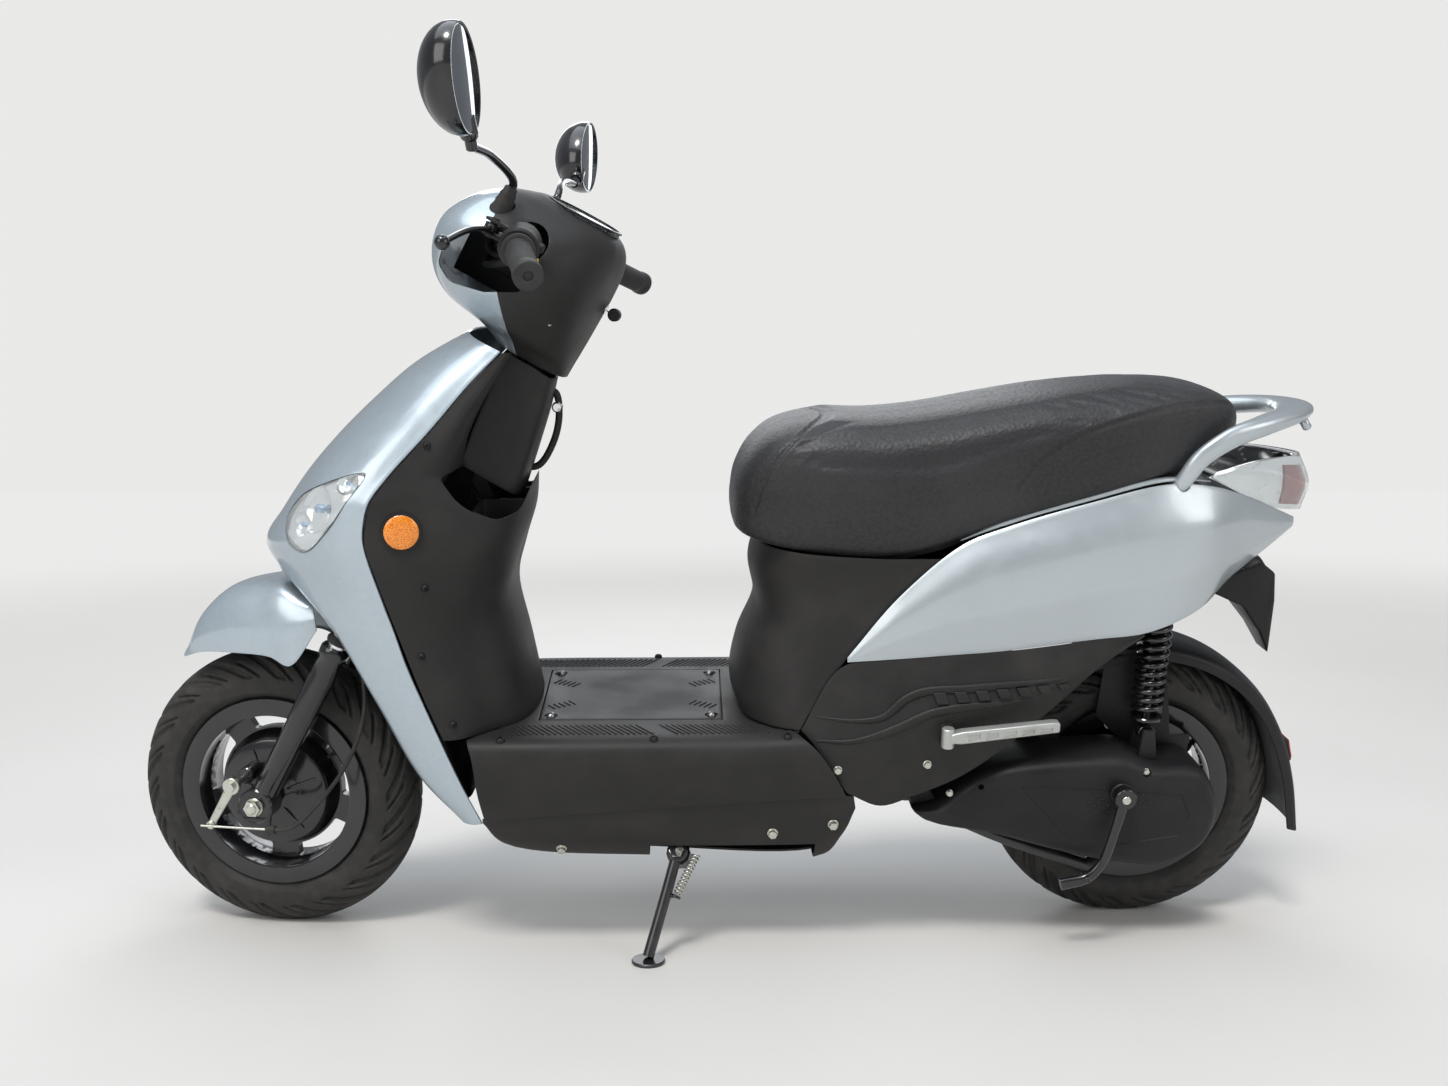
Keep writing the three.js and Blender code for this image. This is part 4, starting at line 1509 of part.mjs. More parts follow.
// One unbroken tube wound in a helix between two points, square ended.
function springSolid(start, end, radius, wire, turns, steps = 8, sides = 5) {
  const along = end.clone().sub(start);
  const length = along.length() - 2 * wire;
  along.normalize();
  const across = new THREE.Vector3().crossVectors(along, axisY).normalize();
  const over = new THREE.Vector3().crossVectors(along, across);
  const count = turns * steps;
  const rings = [];
  for (let i = 0; i <= count; i++) {
    const turn = (i / steps) * 2 * Math.PI;
    const out = across.clone().multiplyScalar(Math.cos(turn)).addScaledVector(over, Math.sin(turn));
    const middle = start.clone().addScaledVector(along, wire + (length * i) / count).addScaledVector(out,
      radius);
    const ring = [];
    for (let j = 0; j < sides; j++) {
      const angle = (j / sides) * 2 * Math.PI;
      ring.push(middle.clone().addScaledVector(out, wire * Math.cos(angle)).addScaledVector(along,
        wire * Math.sin(angle)));
    }
    rings.push(ring);
  }
  const least = Math.min(...rings.slice(0,
    steps).map((ring, i) => ring[0].distanceTo(rings[i + steps][0]))) - 2 * wire;
  console.log(`spring of ${turns} turns: least gap between turns ${least.toFixed(2)} mm`);
  return loft(rings);
}
part(leaning, 'shock_spring', springSolid(onShock(collarAt + gap), onShock(springEnd - gap), springRadius,
  springWire, springTurns), finishes.gloss);

// Kick lever on its spindle, with a folding foot piece.
const kickClear = 8;
const kickThick = 16;
const kickHubRadius = 15;
const kickSpan = 100;
const kickShares = [[-0.02, -0.1, -0.08], [-0.12, -0.14, -0.456], [-0.26, -0.16, -0.912], [-0.46, -0.18, -1.14],
  [-0.84, -0.2, -1.24]];
const kickSizeShares = [[0.08, 0.06], [0.07, 0.06], [0.07, 0.06], [0.08, 0.07], [0.09, 0.06]];
const kickY = -caseOuter - kickClear;
const kickHub = rod(onKick(kickY), onKick(kickY - kickThick), kickHubRadius);
const kickPath = kickShares.map(([a, b, c]) => v(kickX + a * kickSpan, kickY + b * kickSpan,
  kickZ + c * kickSpan));
const kickBlade = sweep(kickPath, kickSizeShares.map(([a, b]) => [a * kickSpan, b * kickSpan]), 6, axisY, 1);
const kickBore = rod(onKick(-caseOuter), onKick(kickY - kickThick - overrun), spindleRadius + gap, 12);
part(leaning, 'kick_lever', cutBy(joined(kickHub, kickBlade), kickBore), finishes.gloss);

// Centre stand folded up under the drive unit: two legs on a cross tube, each with a foot, and a tang.
const legInset = 8;
const legKnee = 60;
const legDip = 24;
const legFlare = 6;
const legFootLong = 14;
const legFootRise = 8;
const legFootWall = 5;
const centreLeg = (side) => {
  const footY = side * (centreStandHalf + legFlare);
  const foot = v(centreStandFootX, footY, centreStandFootZ);
  const knee = v(centreStandPivotX + legKnee, side * centreStandHalf, centreStandPivotZ - legDip);
  return joined(
    straightPipe([onCentre(side * (centreStandHalf - legInset)), knee, foot], centreStandTube, 8),
    rod(foot, v(centreStandFootX + legFootLong, footY, centreStandFootZ + legFootRise),
      centreStandTube + legFootWall, 6));
};
part(leaning, 'centre_stand', joined(rod(onCentre(-centreStandHalf), onCentre(centreStandHalf), centreStandTube,
  10),
  centreLeg(-1), centreLeg(1)), finishes.gloss);

// Side stand: hub, leg and a pad that lies flat on the ground.
const legStart = standAt(hubThick / 2 + gap);
const legEnd = upSpot.clone();
const springTopShares = [0.26, -0.16, 0.07];
const springFootShares = [0.16, 0, 0.02];
const standSpan = 100;
const springTop = along(standPivot, v(...springTopShares), standSpan);
const springFoot = along(legStart.clone().lerp(legEnd, 0.42), v(...springFootShares), standSpan);
const springAlong = springFoot.clone().sub(springTop).normalize();
const springSeat = along(springFoot, springAlong, gap);
const springSeatThick = 4;
const springSeatRadius = 7;
const springHookRadius = 2;
const standHubRadius = 14;
const standSpringRadius = 5;
const standSpringWire = 1.3;
const standBody = joined(
  rod(springSeat, along(springSeat, springAlong, springSeatThick), springSeatRadius, 6),
  rod(legStart.clone().lerp(legEnd, 0.42), along(springSeat, springAlong, springSeatThick / 2),
    springHookRadius, 6),
  rod(standAt(gap), standAt(hubThick), standHubRadius, 10),
  rod(legStart, legEnd, standTube, 8), rod(footSpot, upSpot, standPad, 12));
const standBore = bore(standAt(-hubThick), standAt(3 * hubThick), boltRadius + gap, 8);
part(leaning, 'side_stand', standBody.subtract(standBore), finishes.gloss);
part(leaning, 'side_stand_spring', springSolid(springTop, springFoot, standSpringRadius, standSpringWire, 6),
  finishes.gloss);

// Passenger foot pegs, folded flat against the trims on an upright pin at their front end.
const pegSlope = 0.11;
const pegOutline = [[pegX, pegZ - pegThick / 2], [pegX + pegLong, pegZ - pegThick / 2 + pegLong * pegSlope],
  [pegX + pegLong, pegZ + pegThick / 2 + pegLong * pegSlope],
  [pegX, pegZ + pegThick / 2]];
pair(leaning, 'footpeg', joined(slab(pegOutline, pegY - pegWide, pegY),
  rod(v(pegX, pegY - pegWide / 2, pegZ - pegThick), v(pegX, pegY - pegWide / 2, pegZ + pegThick), pegWide / 2,
  8)), finishes.peg);

export default scooter;
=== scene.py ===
"""A seated electric scooter in pearl grey, leaning on its side stand with the bars turned a little.

Sizes are in millimetres on the upright machine, and each piece is leaned, and steered where it
belongs to the bars or the fork, as its mesh is finished. X runs to the tail, Y to the rider's
right and Z up, with the origin where the rear tyre meets the ground.
"""

import json
import math

import bmesh
import bpy
import numpy as np
from mathutils import Matrix, Vector
from mathutils.bvhtree import BVHTree


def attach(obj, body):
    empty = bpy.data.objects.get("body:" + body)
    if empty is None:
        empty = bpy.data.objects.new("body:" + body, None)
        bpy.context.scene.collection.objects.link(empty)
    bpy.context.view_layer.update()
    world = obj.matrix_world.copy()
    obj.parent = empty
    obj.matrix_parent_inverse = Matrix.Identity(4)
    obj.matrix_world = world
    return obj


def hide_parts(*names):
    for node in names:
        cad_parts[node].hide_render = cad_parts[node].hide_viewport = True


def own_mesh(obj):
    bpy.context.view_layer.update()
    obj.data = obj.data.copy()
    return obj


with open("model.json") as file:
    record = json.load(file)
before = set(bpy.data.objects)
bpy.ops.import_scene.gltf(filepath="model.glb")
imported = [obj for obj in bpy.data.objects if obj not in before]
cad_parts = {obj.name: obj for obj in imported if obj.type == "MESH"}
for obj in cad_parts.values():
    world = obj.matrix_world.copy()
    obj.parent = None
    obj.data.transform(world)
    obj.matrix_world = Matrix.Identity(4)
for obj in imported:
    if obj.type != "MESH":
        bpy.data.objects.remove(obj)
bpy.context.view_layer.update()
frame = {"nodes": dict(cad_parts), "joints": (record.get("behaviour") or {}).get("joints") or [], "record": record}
scene = bpy.context.scene
record = frame["record"]
joints = {joint["name"]: joint for joint in frame["joints"]}
MM = 0.001

# The camera stands on the scooter's left, a little ahead of its middle and just below the seat,
# and looks slightly down.
camera = bpy.data.objects.new("camera", bpy.data.cameras.new("camera"))
scene.collection.objects.link(camera)
camera.data.lens = 34.3
camera.data.sensor_width = 36
camera.location = (-0.656, -2.04, 0.724)
camera.rotation_euler = (math.radians(90 - 4.69), 0, math.radians(-1.576))
camera.data.clip_start = 0.05
scene.camera = camera

# The studio: a pale floor and sky that only rays past the object see, a broad cool light overhead
# and two soft ones, in front and behind, that draw the long highlights along the panels.
scene.view_settings.view_transform = "Standard"


class Value:
    """A shader socket on which Python's operators make Math nodes."""

    def __init__(self, finish, socket):
        self.finish = finish
        self.socket = socket

    def math(self, operation, *others):
        node = self.finish.node("ShaderNodeMath", {"operation": operation}, [self, *others])
        return Value(self.finish, node.outputs[0])

    def __add__(self, other):
        return self.math("ADD", other)

    def __mul__(self, other):
        return self.math("MULTIPLY", other)

    def __sub__(self, other):
        return self.math("SUBTRACT", other)

    def __rsub__(self, other):
        return (self * -1) + other

    def __pow__(self, other):
        return self.math("POWER", other)

    __radd__ = __add__
    __rmul__ = __mul__

    def above(self, edge, width):
        """A soft step that rises through `edge` over `width`."""
        return self.finish.value(
            "ShaderNodeMapRange",
            {"interpolation_type": "SMOOTHSTEP", "clamp": True},
            {"Value": self, "From Min": edge - width / 2, "From Max": edge + width / 2},
        )


class Finish:
    """A material's node tree, with one method that makes any node."""

    def __init__(self, name, tree=None):
        if tree is None:
            self.material = bpy.data.materials.new(name)
            self.material.use_nodes = True
            tree = self.material.node_tree
        self.tree = tree
        tree.nodes.clear()

    def node(self, kind, settings=None, inputs=()):
        node = self.tree.nodes.new(kind)
        for name, setting in (settings or {}).items():
            if name == "stops":
                ramp = node.color_ramp.elements
                while len(ramp) < len(setting):
                    ramp.new(1)
                for stop, (place, colour) in zip(ramp, setting):
                    stop.position = place
                    stop.color = (*colour, 1)
            else:
                setattr(node, name, setting)
        pairs = inputs.items() if isinstance(inputs, dict) else enumerate(inputs)
        for name, given in pairs:
            if isinstance(given, Value):
                self.tree.links.new(given.socket, node.inputs[name])
            elif given is not None:
                wide = len(getattr(node.inputs[name], "default_value", ())) if isinstance(given, tuple) else 0
                node.inputs[name].default_value = (*given, 1) if wide == 4 and len(given) == 3 else given
        return node

    def value(self, kind, settings=None, inputs=(), output=0):
        return Value(self, self.node(kind, settings, inputs).outputs[output])

    def place(self, centre=(0, 0, 0), turn=(0, 0, 0), size=(1, 1, 1)):
        """Object coordinates, moved, turned and scaled for a pattern."""
        objects = self.value("ShaderNodeTexCoord", output="Object")
        return self.value("ShaderNodeMapping", {"vector_type": "TEXTURE"},
                          {"Vector": objects, "Location": centre, "Rotation": turn, "Scale": size})

    def noise(self, scale, detail=4, at=None, roughness=0.5):
        return self.value("ShaderNodeTexNoise", None, {"Vector": at or self.place(), "Scale": scale,
                                                       "Detail": detail, "Roughness": roughness})

    def cells(self, scale, at=None, feature="F1"):
        return self.value("ShaderNodeTexVoronoi", {"feature": feature},
                          {"Vector": at or self.place(), "Scale": scale})

    def mix(self, share, low, high):
        node = self.node("ShaderNodeMix", {"data_type": "RGBA"}, {0: share})
        for index, given in ((6, low), (7, high)):
            if isinstance(given, Value):
                self.tree.links.new(given.socket, node.inputs[index])
            else:
                node.inputs[index].default_value = (*given, 1)
        return Value(self, node.outputs[2])

    def bump(self, height, depth, strength=1.0, under=None):
        inputs = {"Height": height, "Distance": depth, "Strength": strength}
        if under:
            inputs["Normal"] = under
        return self.value("ShaderNodeBump", None, inputs)

    def surface(self, **sockets):
        """Ends the material in one Principled shader. Words in a socket's name are joined by _."""
        inputs = {name.replace("_", " "): given for name, given in sockets.items()}
        shader = self.node("ShaderNodeBsdfPrincipled", None, inputs)
        output = self.node("ShaderNodeOutputMaterial")
        self.tree.links.new(shader.outputs[0], output.inputs[0])
        return self.material


def backdrop_finish():
    """Pale to the camera and through clear parts, and darker to all other rays."""
    world = bpy.data.worlds.new("studio")
    world.use_nodes = True
    scene.world = world
    sky = Finish("studio", world.node_tree)
    rays = sky.node("ShaderNodeLightPath")
    seen = Value(sky, rays.outputs["Is Camera Ray"]).math("MAXIMUM",
        Value(sky, rays.outputs["Is Transmission Ray"]))
    lit = sky.node("ShaderNodeBackground", None, {"Color": (0.83, 0.87, 0.93), "Strength": 0.36})
    shown = sky.node("ShaderNodeBackground", None, {"Color": (0.93, 0.93, 0.92), "Strength": 0.88})
    both = sky.node("ShaderNodeMixShader", None, {0: seen})
    sky.tree.links.new(lit.outputs[0], both.inputs[1])
    sky.tree.links.new(shown.outputs[0], both.inputs[2])
    output = sky.node("ShaderNodeOutputWorld")
    sky.tree.links.new(both.outputs[0], output.inputs[0])


def floor_finish():
    floor = Finish("floor_screed")
    patches = floor.noise(1.6, 5)
    away = floor.value("ShaderNodeVectorMath", {"operation": "LENGTH"}, [floor.place()],
        output="Value").above(4, 6)
    colour = floor.mix(patches, (0.62, 0.61, 0.59), (0.68, 0.67, 0.65))
    return floor.surface(Base_Color=floor.mix(away, colour, (0, 0, 0)), Roughness=0.6, Emission_Strength=1.0,
                         Emission_Color=floor.mix(away, (0, 0, 0), (0.78, 0.78, 0.77)))


backdrop_finish()
floor = bpy.data.objects.new("floor", bpy.data.meshes.new("floor"))
reach = 14
floor.data.from_pydata([(-reach, -reach, 0), (reach, -reach, 0), (reach, reach, 0), (-reach, reach, 0)],
                       [], [(0, 1, 2, 3)])
floor.data.materials.append(floor_finish())
scene.collection.objects.link(floor)
sun = bpy.data.objects.new("sun", bpy.data.lights.new("sun", "SUN"))
sun.data.energy = 1.7
sun.data.angle = math.radians(14)
sun.data.color = (1.0, 0.97, 0.93)
sun.rotation_euler = Vector((0.25, 0.55, -1)).to_track_quat("-Z", "Y").to_euler()
scene.collection.objects.link(sun)
for name, place, aim, size, power, colour in (
    ("overhead", (-0.9, -0.5, 3.4), (-0.6, 0, 0.4), 3.2, 60, (0.86, 0.93, 1.0)),
    ("front_soft", (-3.2, -3.0, 2.2), (-0.7, 0, 0.5), 2.2, 42, (1.0, 0.98, 0.95)),
    ("tail_soft", (2.4, -2.2, 2.0), (-0.2, 0, 0.5), 1.8, 26, (1.0, 0.98, 0.96)),
    ("far_soft", (-0.6, 3.4, 2.4), (-0.6, 0, 0.5), 2.4, 40, (0.95, 0.98, 1.0)),
):
    lamp = bpy.data.objects.new(name, bpy.data.lights.new(name, "AREA"))
    lamp.data.size = size
    lamp.data.energy = power
    lamp.data.color = colour
    lamp.location = place
    lamp.rotation_euler = (Vector(aim) - Vector(place)).to_track_quat("-Z", "Y").to_euler()
    scene.collection.objects.link(lamp)

# Tyres: 10 inch tubeless tyres with slanted grooves across a rounded tread and a ringed sidewall,
# moulded in black rubber. Each is turned from its section and squashed flat where it bears.
WHEELBASE = 1248
TRAIL = 80
FRONT_SPAN = 400
REAR_SPAN = 600
COWL_HALF = 195
DECK_HALF = 182
TAIL_HALF = 160
DECK_FRONT = -960
DECK_LONG = 527
DECK_HEIGHT = 345
COWL_RISE = 527
SEAT_RISE = 463
RAKE = math.radians(28)
STEER_AXIS = Vector((math.sin(RAKE), 0, math.cos(RAKE)))
STEER_ACROSS = Vector((math.cos(RAKE), 0, -math.sin(RAKE)))
STEER_GROUND = Vector((-WHEELBASE - TRAIL, 0, 0))
CROWN = 45
WHEEL_RADIUS = 208
TREAD_RADIUS = WHEEL_RADIUS - CROWN
RIM_EDGE = 140.4
BEAD = 127.4
FRONT_AXLE = Vector((-WHEELBASE, 0, WHEEL_RADIUS))
REAR_AXLE = Vector((0, 0, WHEEL_RADIUS - 3.05))


def turn_about(point, axis, angle):
    return Matrix.Translation(point) @ Matrix.Rotation(angle, 4, axis) @ Matrix.Translation(-point)


lean = turn_about(Vector((0, 0, CROWN)), Vector((1, 0, 0)), math.radians(10))
steer = lean @ turn_about(STEER_GROUND, STEER_AXIS, math.radians(-10))
settle = (Vector(joints["front_wheel_spin"]["pos_m"]) / MM - steer @ FRONT_AXLE).dot(
    steer.to_3x3() @ STEER_AXIS)
slide = steer @ Matrix.Translation(STEER_AXIS * settle)
to_metres = Matrix.Scale(MM, 4)
body_of = {node: body for body, nodes in record["behaviour"]["bodies"].items() for node in nodes}


def make(name, points, faces):
    """A mesh object in millimetres on the upright machine."""
    mesh = bpy.data.meshes.new(name)
    mesh.from_pydata([tuple(p) for p in points], [], [tuple(f) for f in faces])
    obj = bpy.data.objects.new(name, mesh)
    scene.collection.objects.link(obj)
    return obj


def outward(obj):
    """Turns the faces of a closed mesh outwards."""
    shape = bmesh.new()
    shape.from_mesh(obj.data)
    bmesh.ops.remove_doubles(shape, verts=shape.verts, dist=0.005)
    bmesh.ops.delete(shape, geom=[edge for edge in shape.edges if not edge.link_faces], context="EDGES")
    bmesh.ops.recalc_face_normals(shape, faces=shape.faces)
    shape.to_mesh(obj.data)
    shape.free()
    return obj


def modify(obj, kind, **settings):
    modifier = obj.modifiers.new(kind.lower(), kind)
    for name, setting in settings.items():
        setattr(modifier, name, setting)
    return obj


def soften(obj, width=1.2, segments=2, angle=40):
    """Rounds the edges sharper than an angle."""
    return modify(obj, "BEVEL", width=width, segments=segments, limit_method="ANGLE",
                  angle_limit=math.radians(angle), harden_normals=False)


def cut(obj, *tools, operation="DIFFERENCE"):
    for tool in tools:
        modify(obj, "BOOLEAN", operation=operation, object=tool, solver="EXACT")
    return obj


def bake(obj):
    """Turns an object's modifiers into its mesh."""
    depsgraph = bpy.context.evaluated_depsgraph_get()
    mesh = bpy.data.meshes.new_from_object(obj.evaluated_get(depsgraph))
    obj.modifiers.clear()
    obj.data = mesh
    return obj


def scrap(*objs):
    for obj in objs:
        bpy.data.objects.remove(obj)


def merge(name, *objs):
    """Several meshes as one object."""
    shape = bmesh.new()
    for obj in objs:
        shape.from_mesh(bake(obj).data)
    joined = bpy.data.objects.new(name, bpy.data.meshes.new(name))
    shape.to_mesh(joined.data)
    shape.free()
    scene.collection.objects.link(joined)
    scrap(*objs)
    return joined


def fit(obj, node, finish, place=None, sharp=38, hides=True):
    """Puts a finished piece where its CAD node is, on that node's body and in its finish."""
    bake(obj)
    obj.data.transform(to_metres @ (place or lean))
    obj.data.shade_smooth()
    obj.data.set_sharp_from_angle(angle=math.radians(sharp))
    obj.data.materials.clear()
    obj.data.materials.append(finish)
    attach(obj, body_of[node])
    if hides:
        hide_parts(node)
    return obj


def lathe(name, profile, centre, axis=(0, 1, 0), segments=64):
    """A closed profile of (radius, along) points turned about a line through the centre."""
    turn = Vector((0, 0, 1)).rotation_difference(Vector(axis)).to_matrix()
    count = len(profile)
    points = []
    for i in range(segments):
        angle = 2 * math.pi * i / segments
        points += [Vector(centre) + turn @ Vector((r * math.cos(angle), r * math.sin(angle), h)) for r,
            h in profile]
    faces = [(i * count + j, i * count + (j + 1) % count,
              (i + 1) % segments * count + (j + 1) % count, (i + 1) % segments * count + j)
             for i in range(segments) for j in range(count)]
    return outward(make(name, points, faces))


def tyre_rubber():
    rubber = Finish("tyre_rubber")
    dust = rubber.noise(60, 6).above(0.55, 0.3)
    scuff = rubber.noise(9, 3).above(0.5, 0.4)
    colour = rubber.mix(dust * 0.55 + scuff * 0.2, (0.012, 0.0115, 0.011), (0.045, 0.041, 0.036))
    grain = rubber.noise(1400, 3)
    return rubber.surface(Base_Color=colour, Roughness=dust * 0.14 + 0.62,
        Normal=rubber.bump(grain, 0.0004, 0.5))


def tyre(name, axle):
    grooves = 22
    around = np.linspace(0, 2 * math.pi, 520, endpoint=False)
    section = np.radians(np.concatenate([np.linspace(-108, -82, 9), np.linspace(-79, 79, 62),
        np.linspace(82, 108, 9)]))
    theta, phi = np.meshgrid(around, section, indexing="ij")
    share = np.abs(phi) / math.radians(80)
    pitch = 2 * math.pi / grooves
    offset = np.where(phi > 0, 0.5 * pitch, 0.0)
    slant = (share ** 1.25) * 1.55 * pitch
    phase = ((theta + offset + slant) / pitch) % 1
    wide = 0.105 + 0.065 * share
    near = np.abs(phase - 0.5)
    long_groove = np.clip((wide - near) / 0.035, 0, 1) * np.clip((share - 0.05) / 0.05, 0,
        1) * np.clip((0.99 - share) / 0.06, 0, 1)
    short_phase = ((theta + offset + slant * 0.9) / pitch + 0.5) % 1
    short_groove = np.clip((0.07 - np.abs(short_phase - 0.5)) / 0.03, 0,
        1) * np.clip((share - 0.5) / 0.05, 0, 1) * np.clip((0.97 - share) / 0.05, 0, 1)
    centre_line = np.clip((0.030 - np.abs(share - 0.13 - 0.05 * np.sin(theta * grooves))) / 0.02, 0, 1)
    depth = 4.4 * np.maximum.reduce([long_groove, 0.8 * short_groove, 0.7 * centre_line])
    degrees = np.degrees(np.abs(phi))
    for at, wide, deep in ((88, 2.2, 0.7), (100, 1.8, 0.6)):
        depth = depth - deep * np.clip(1 - np.abs(degrees - at) / wide, 0, 1)
    radius = CROWN - depth
    out = TREAD_RADIUS + radius * np.cos(phi)
    side = radius * np.sin(phi)
    bead = [(RIM_EDGE + 1, 31.2), (RIM_EDGE, 30.6), (BEAD, 30.4), (BEAD, 20.0), (TREAD_RADIUS, 16.0)]
    left = np.array([(r, -y) for r, y in reversed(bead)])
    right = np.array(bead)
    count = len(section) + 2 * len(bead)
    points = []
    for i, angle in enumerate(around):
        ring = np.vstack([left, np.column_stack([out[i], side[i]]), right])
        points += [(axle.x + r * math.cos(angle), axle.y + y, axle.z + r * math.sin(angle)) for r, y in ring]
    rings = len(around)
    faces = [(i * count + j, i * count + (j + 1) % count,
              (i + 1) % rings * count + (j + 1) % count, (i + 1) % rings * count + j)
             for i in range(rings) for j in range(count)]
    return outward(make(name, points, faces))


RUBBER = tyre_rubber()
for node, axle, place in (("front_tyre", FRONT_AXLE, slide), ("rear_tyre", REAR_AXLE, lean)):
    piece = fit(tyre(node + "_tread", axle), node, RUBBER, place, sharp=50)
    heights = np.zeros(len(piece.data.vertices) * 3)
    piece.data.vertices.foreach_get("co", heights)
    heights[2::3] = np.maximum(heights[2::3], 0)
    piece.data.vertices.foreach_set("co", heights)
    piece.data.update()

# Wheels: black-painted cast rims with five openings round a brake drum, and a rubber valve stem.
# The section is turned, the openings are cut through it, and every edge is eased.
FLANGE_HALF = 31
BARREL_INNER = 114
WEB_HALF = 7
WEB_INNER = 88
DRUM_RADIUS = 78
DRUM_HALF = 30


def gloss_black(name="gloss_black_paint", colour=(0.006, 0.006, 0.007), roughness=0.16):
    paint = Finish(name)
    haze = paint.noise(24, 5).above(0.55, 0.35)
    tone = paint.mix(haze, colour, tuple(c * 2.1 for c in colour))
    skin = paint.bump(paint.noise(420, 2), 0.0002, 0.25)
    return paint.surface(Base_Color=tone, Roughness=haze * 0.1 + roughness, Coat_Weight=0.5,
                         Coat_Roughness=0.08, Normal=skin)


def arc(radius, start, stop, steps):
    return [(radius * math.cos(a), radius * math.sin(a)) for a in np.linspace(start, stop, steps + 1)]


def prism(name, outline, y0, y1):
    """An outline in X and Z given a thickness along Y."""
    count = len(outline)
    points = [(x, y, z) for y in (y0, y1) for x, z in outline]
    sides = [(i, (i + 1) % count, count + (i + 1) % count, count + i) for i in range(count)]
    return outward(make(name, points, [tuple(range(count)), tuple(range(2 * count - 1, count - 1, -1)),
        *sides]))


def rim(name, axle):
    drum_bore = 66
    web = [(BARREL_INNER, -FLANGE_HALF - 5), (BARREL_INNER + 3, -FLANGE_HALF - 6.5),
        (139, -FLANGE_HALF - 6.5), (140.2, -FLANGE_HALF - 5), (140.2, -FLANGE_HALF - 1),
        (136, -FLANGE_HALF), (127, -FLANGE_HALF)]
    profile = [(8, -DRUM_HALF), (34, -DRUM_HALF), (34, WEB_HALF), (drum_bore, WEB_HALF),
        (drum_bore, -DRUM_HALF), (DRUM_RADIUS, -DRUM_HALF), (DRUM_RADIUS + 1, -DRUM_HALF + 8),
        (WEB_INNER, -WEB_HALF), (BARREL_INNER - 3, -WEB_HALF), (BARREL_INNER, -WEB_HALF - 6), *web,
        (124, -22), (124, 22), *[(r, -y) for r, y in reversed(web)], (BARREL_INNER, WEB_HALF + 6),
        (BARREL_INNER - 3, WEB_HALF), (WEB_INNER, WEB_HALF), (DRUM_RADIUS, DRUM_HALF),
        (40, DRUM_HALF + 1), (26, DRUM_HALF), (8, DRUM_HALF)]
    body = lathe(name, profile, axle, segments=120)
    tools = []
    for spoke in range(5):
        middle = (spoke + 0.25) / 5 * 2 * math.pi
        half = math.radians(25)
        outline = arc(111, middle - half, middle + half, 10) + arc(91, middle + half * 0.94,
            middle - half * 0.94, 8)
        tool = prism("tool", [(axle.x + x, axle.z + z) for x, z in outline], -60, 60)
        tools.append(bake(soften(tool, 4, 3, 50)))
    bake(cut(body, *tools))
    scrap(*tools)
    return soften(body, 0.8, 2, 35)


GLOSS = gloss_black()
for node, axle, place in (("front_rim", FRONT_AXLE, slide), ("rear_rim", REAR_AXLE, lean)):
    fit(rim(node + "_cast", axle), node, GLOSS, place, sharp=30)
    stem_foot = axle + Vector((96, 0, 62)).normalized() * BARREL_INNER
    stem_way = Vector((-0.6, -0.75, -0.35)).normalized()
    stem = lathe(node + "_valve", [(0.01, 30), (2.6, 30), (2.6, 22), (3.6, 21), (3.8, 8), (5.5, 2),
        (6, -2), (0.01, -2)], stem_foot, stem_way, 20)
    fit(stem, node, RUBBER, place, hides=False)

# Front fork: black-painted cast sliders with axle feet on chromed stanchions, held in a forged yoke
# with its stem, and a zinc-plated spindle nutted through them.
FORK_HALF = 80
SLIDER = 18
SLIDER_LENGTH = 262
BORE_END = 96
YOKE = 392


def fork_at(along, side, across=0):
    return FRONT_AXLE + STEER_AXIS * along + STEER_ACROSS * across + Vector((0, side, 0))


def on_steer_axis(height):
    return STEER_GROUND + STEER_AXIS * (height / math.cos(RAKE))


def bar(name, a, b, radius, segments=36, ease=0.8, ends=None):
    """A round bar between two points, its ends eased, or with a profile of its own."""
    way = Vector(b) - Vector(a)
    long = way.length
    ease = min(ease, radius * 0.45, long * 0.45)
    profile = ends or [(0, 0), (radius - ease, 0), (radius, ease), (radius, long - ease),
        (radius - ease, long), (0, long)]
    return lathe(name, profile, a, way, segments)


def hexagon(name, a, b, radius):
    return soften(bar(name, a, b, radius, 6, 0.01), 0.7, 2, 25)


def loft(name, rings):
    count = len(rings[0])
    points = [p for ring in rings for p in ring]
    faces = [(i * count + j, i * count + (j + 1) % count, (i + 1) * count + (j + 1) % count,
        (i + 1) * count + j) for i in range(len(rings) - 1) for j in range(count)]
    last = (len(rings) - 1) * count
    faces += [tuple(range(count))[::-1], tuple(range(last, last + count))]
    return outward(make(name, points, faces))


def spline(points, steps, mirrored=False):
    """A smooth curve through points, carried over the centre plane where it ends there."""
    points = [np.array(p, float) for p in points]
    after = 2 * points[-1] - points[-2]
    if mirrored and abs(points[-1][1]) < 1e-6:
        after = points[-2] * (1, -1, 1)
    known = [2 * points[0] - points[1], *points, after]
    curve = []
    for p0, p1, p2, p3 in zip(known, known[1:], known[2:], known[3:]):
        a, b, c = (max(np.linalg.norm(q - p), 1e-6) ** 0.5 for p, q in ((p0, p1), (p1, p2), (p2, p3)))
        start = ((p1 - p0) / a - (p2 - p0) / (a + b) + (p2 - p1) / b) * b
        end = ((p2 - p1) / b - (p3 - p1) / (b + c) + (p3 - p2) / c) * b
        for t in np.arange(steps) / steps:
            curve.append(p1 * (2 * t ** 3 - 3 * t ** 2 + 1) + start * (t ** 3 - 2 * t ** 2 + t)
                         + p2 * (3 * t ** 2 - 2 * t ** 3) + end * (t ** 3 - t ** 2))
    curve.append(points[-1])
    return curve


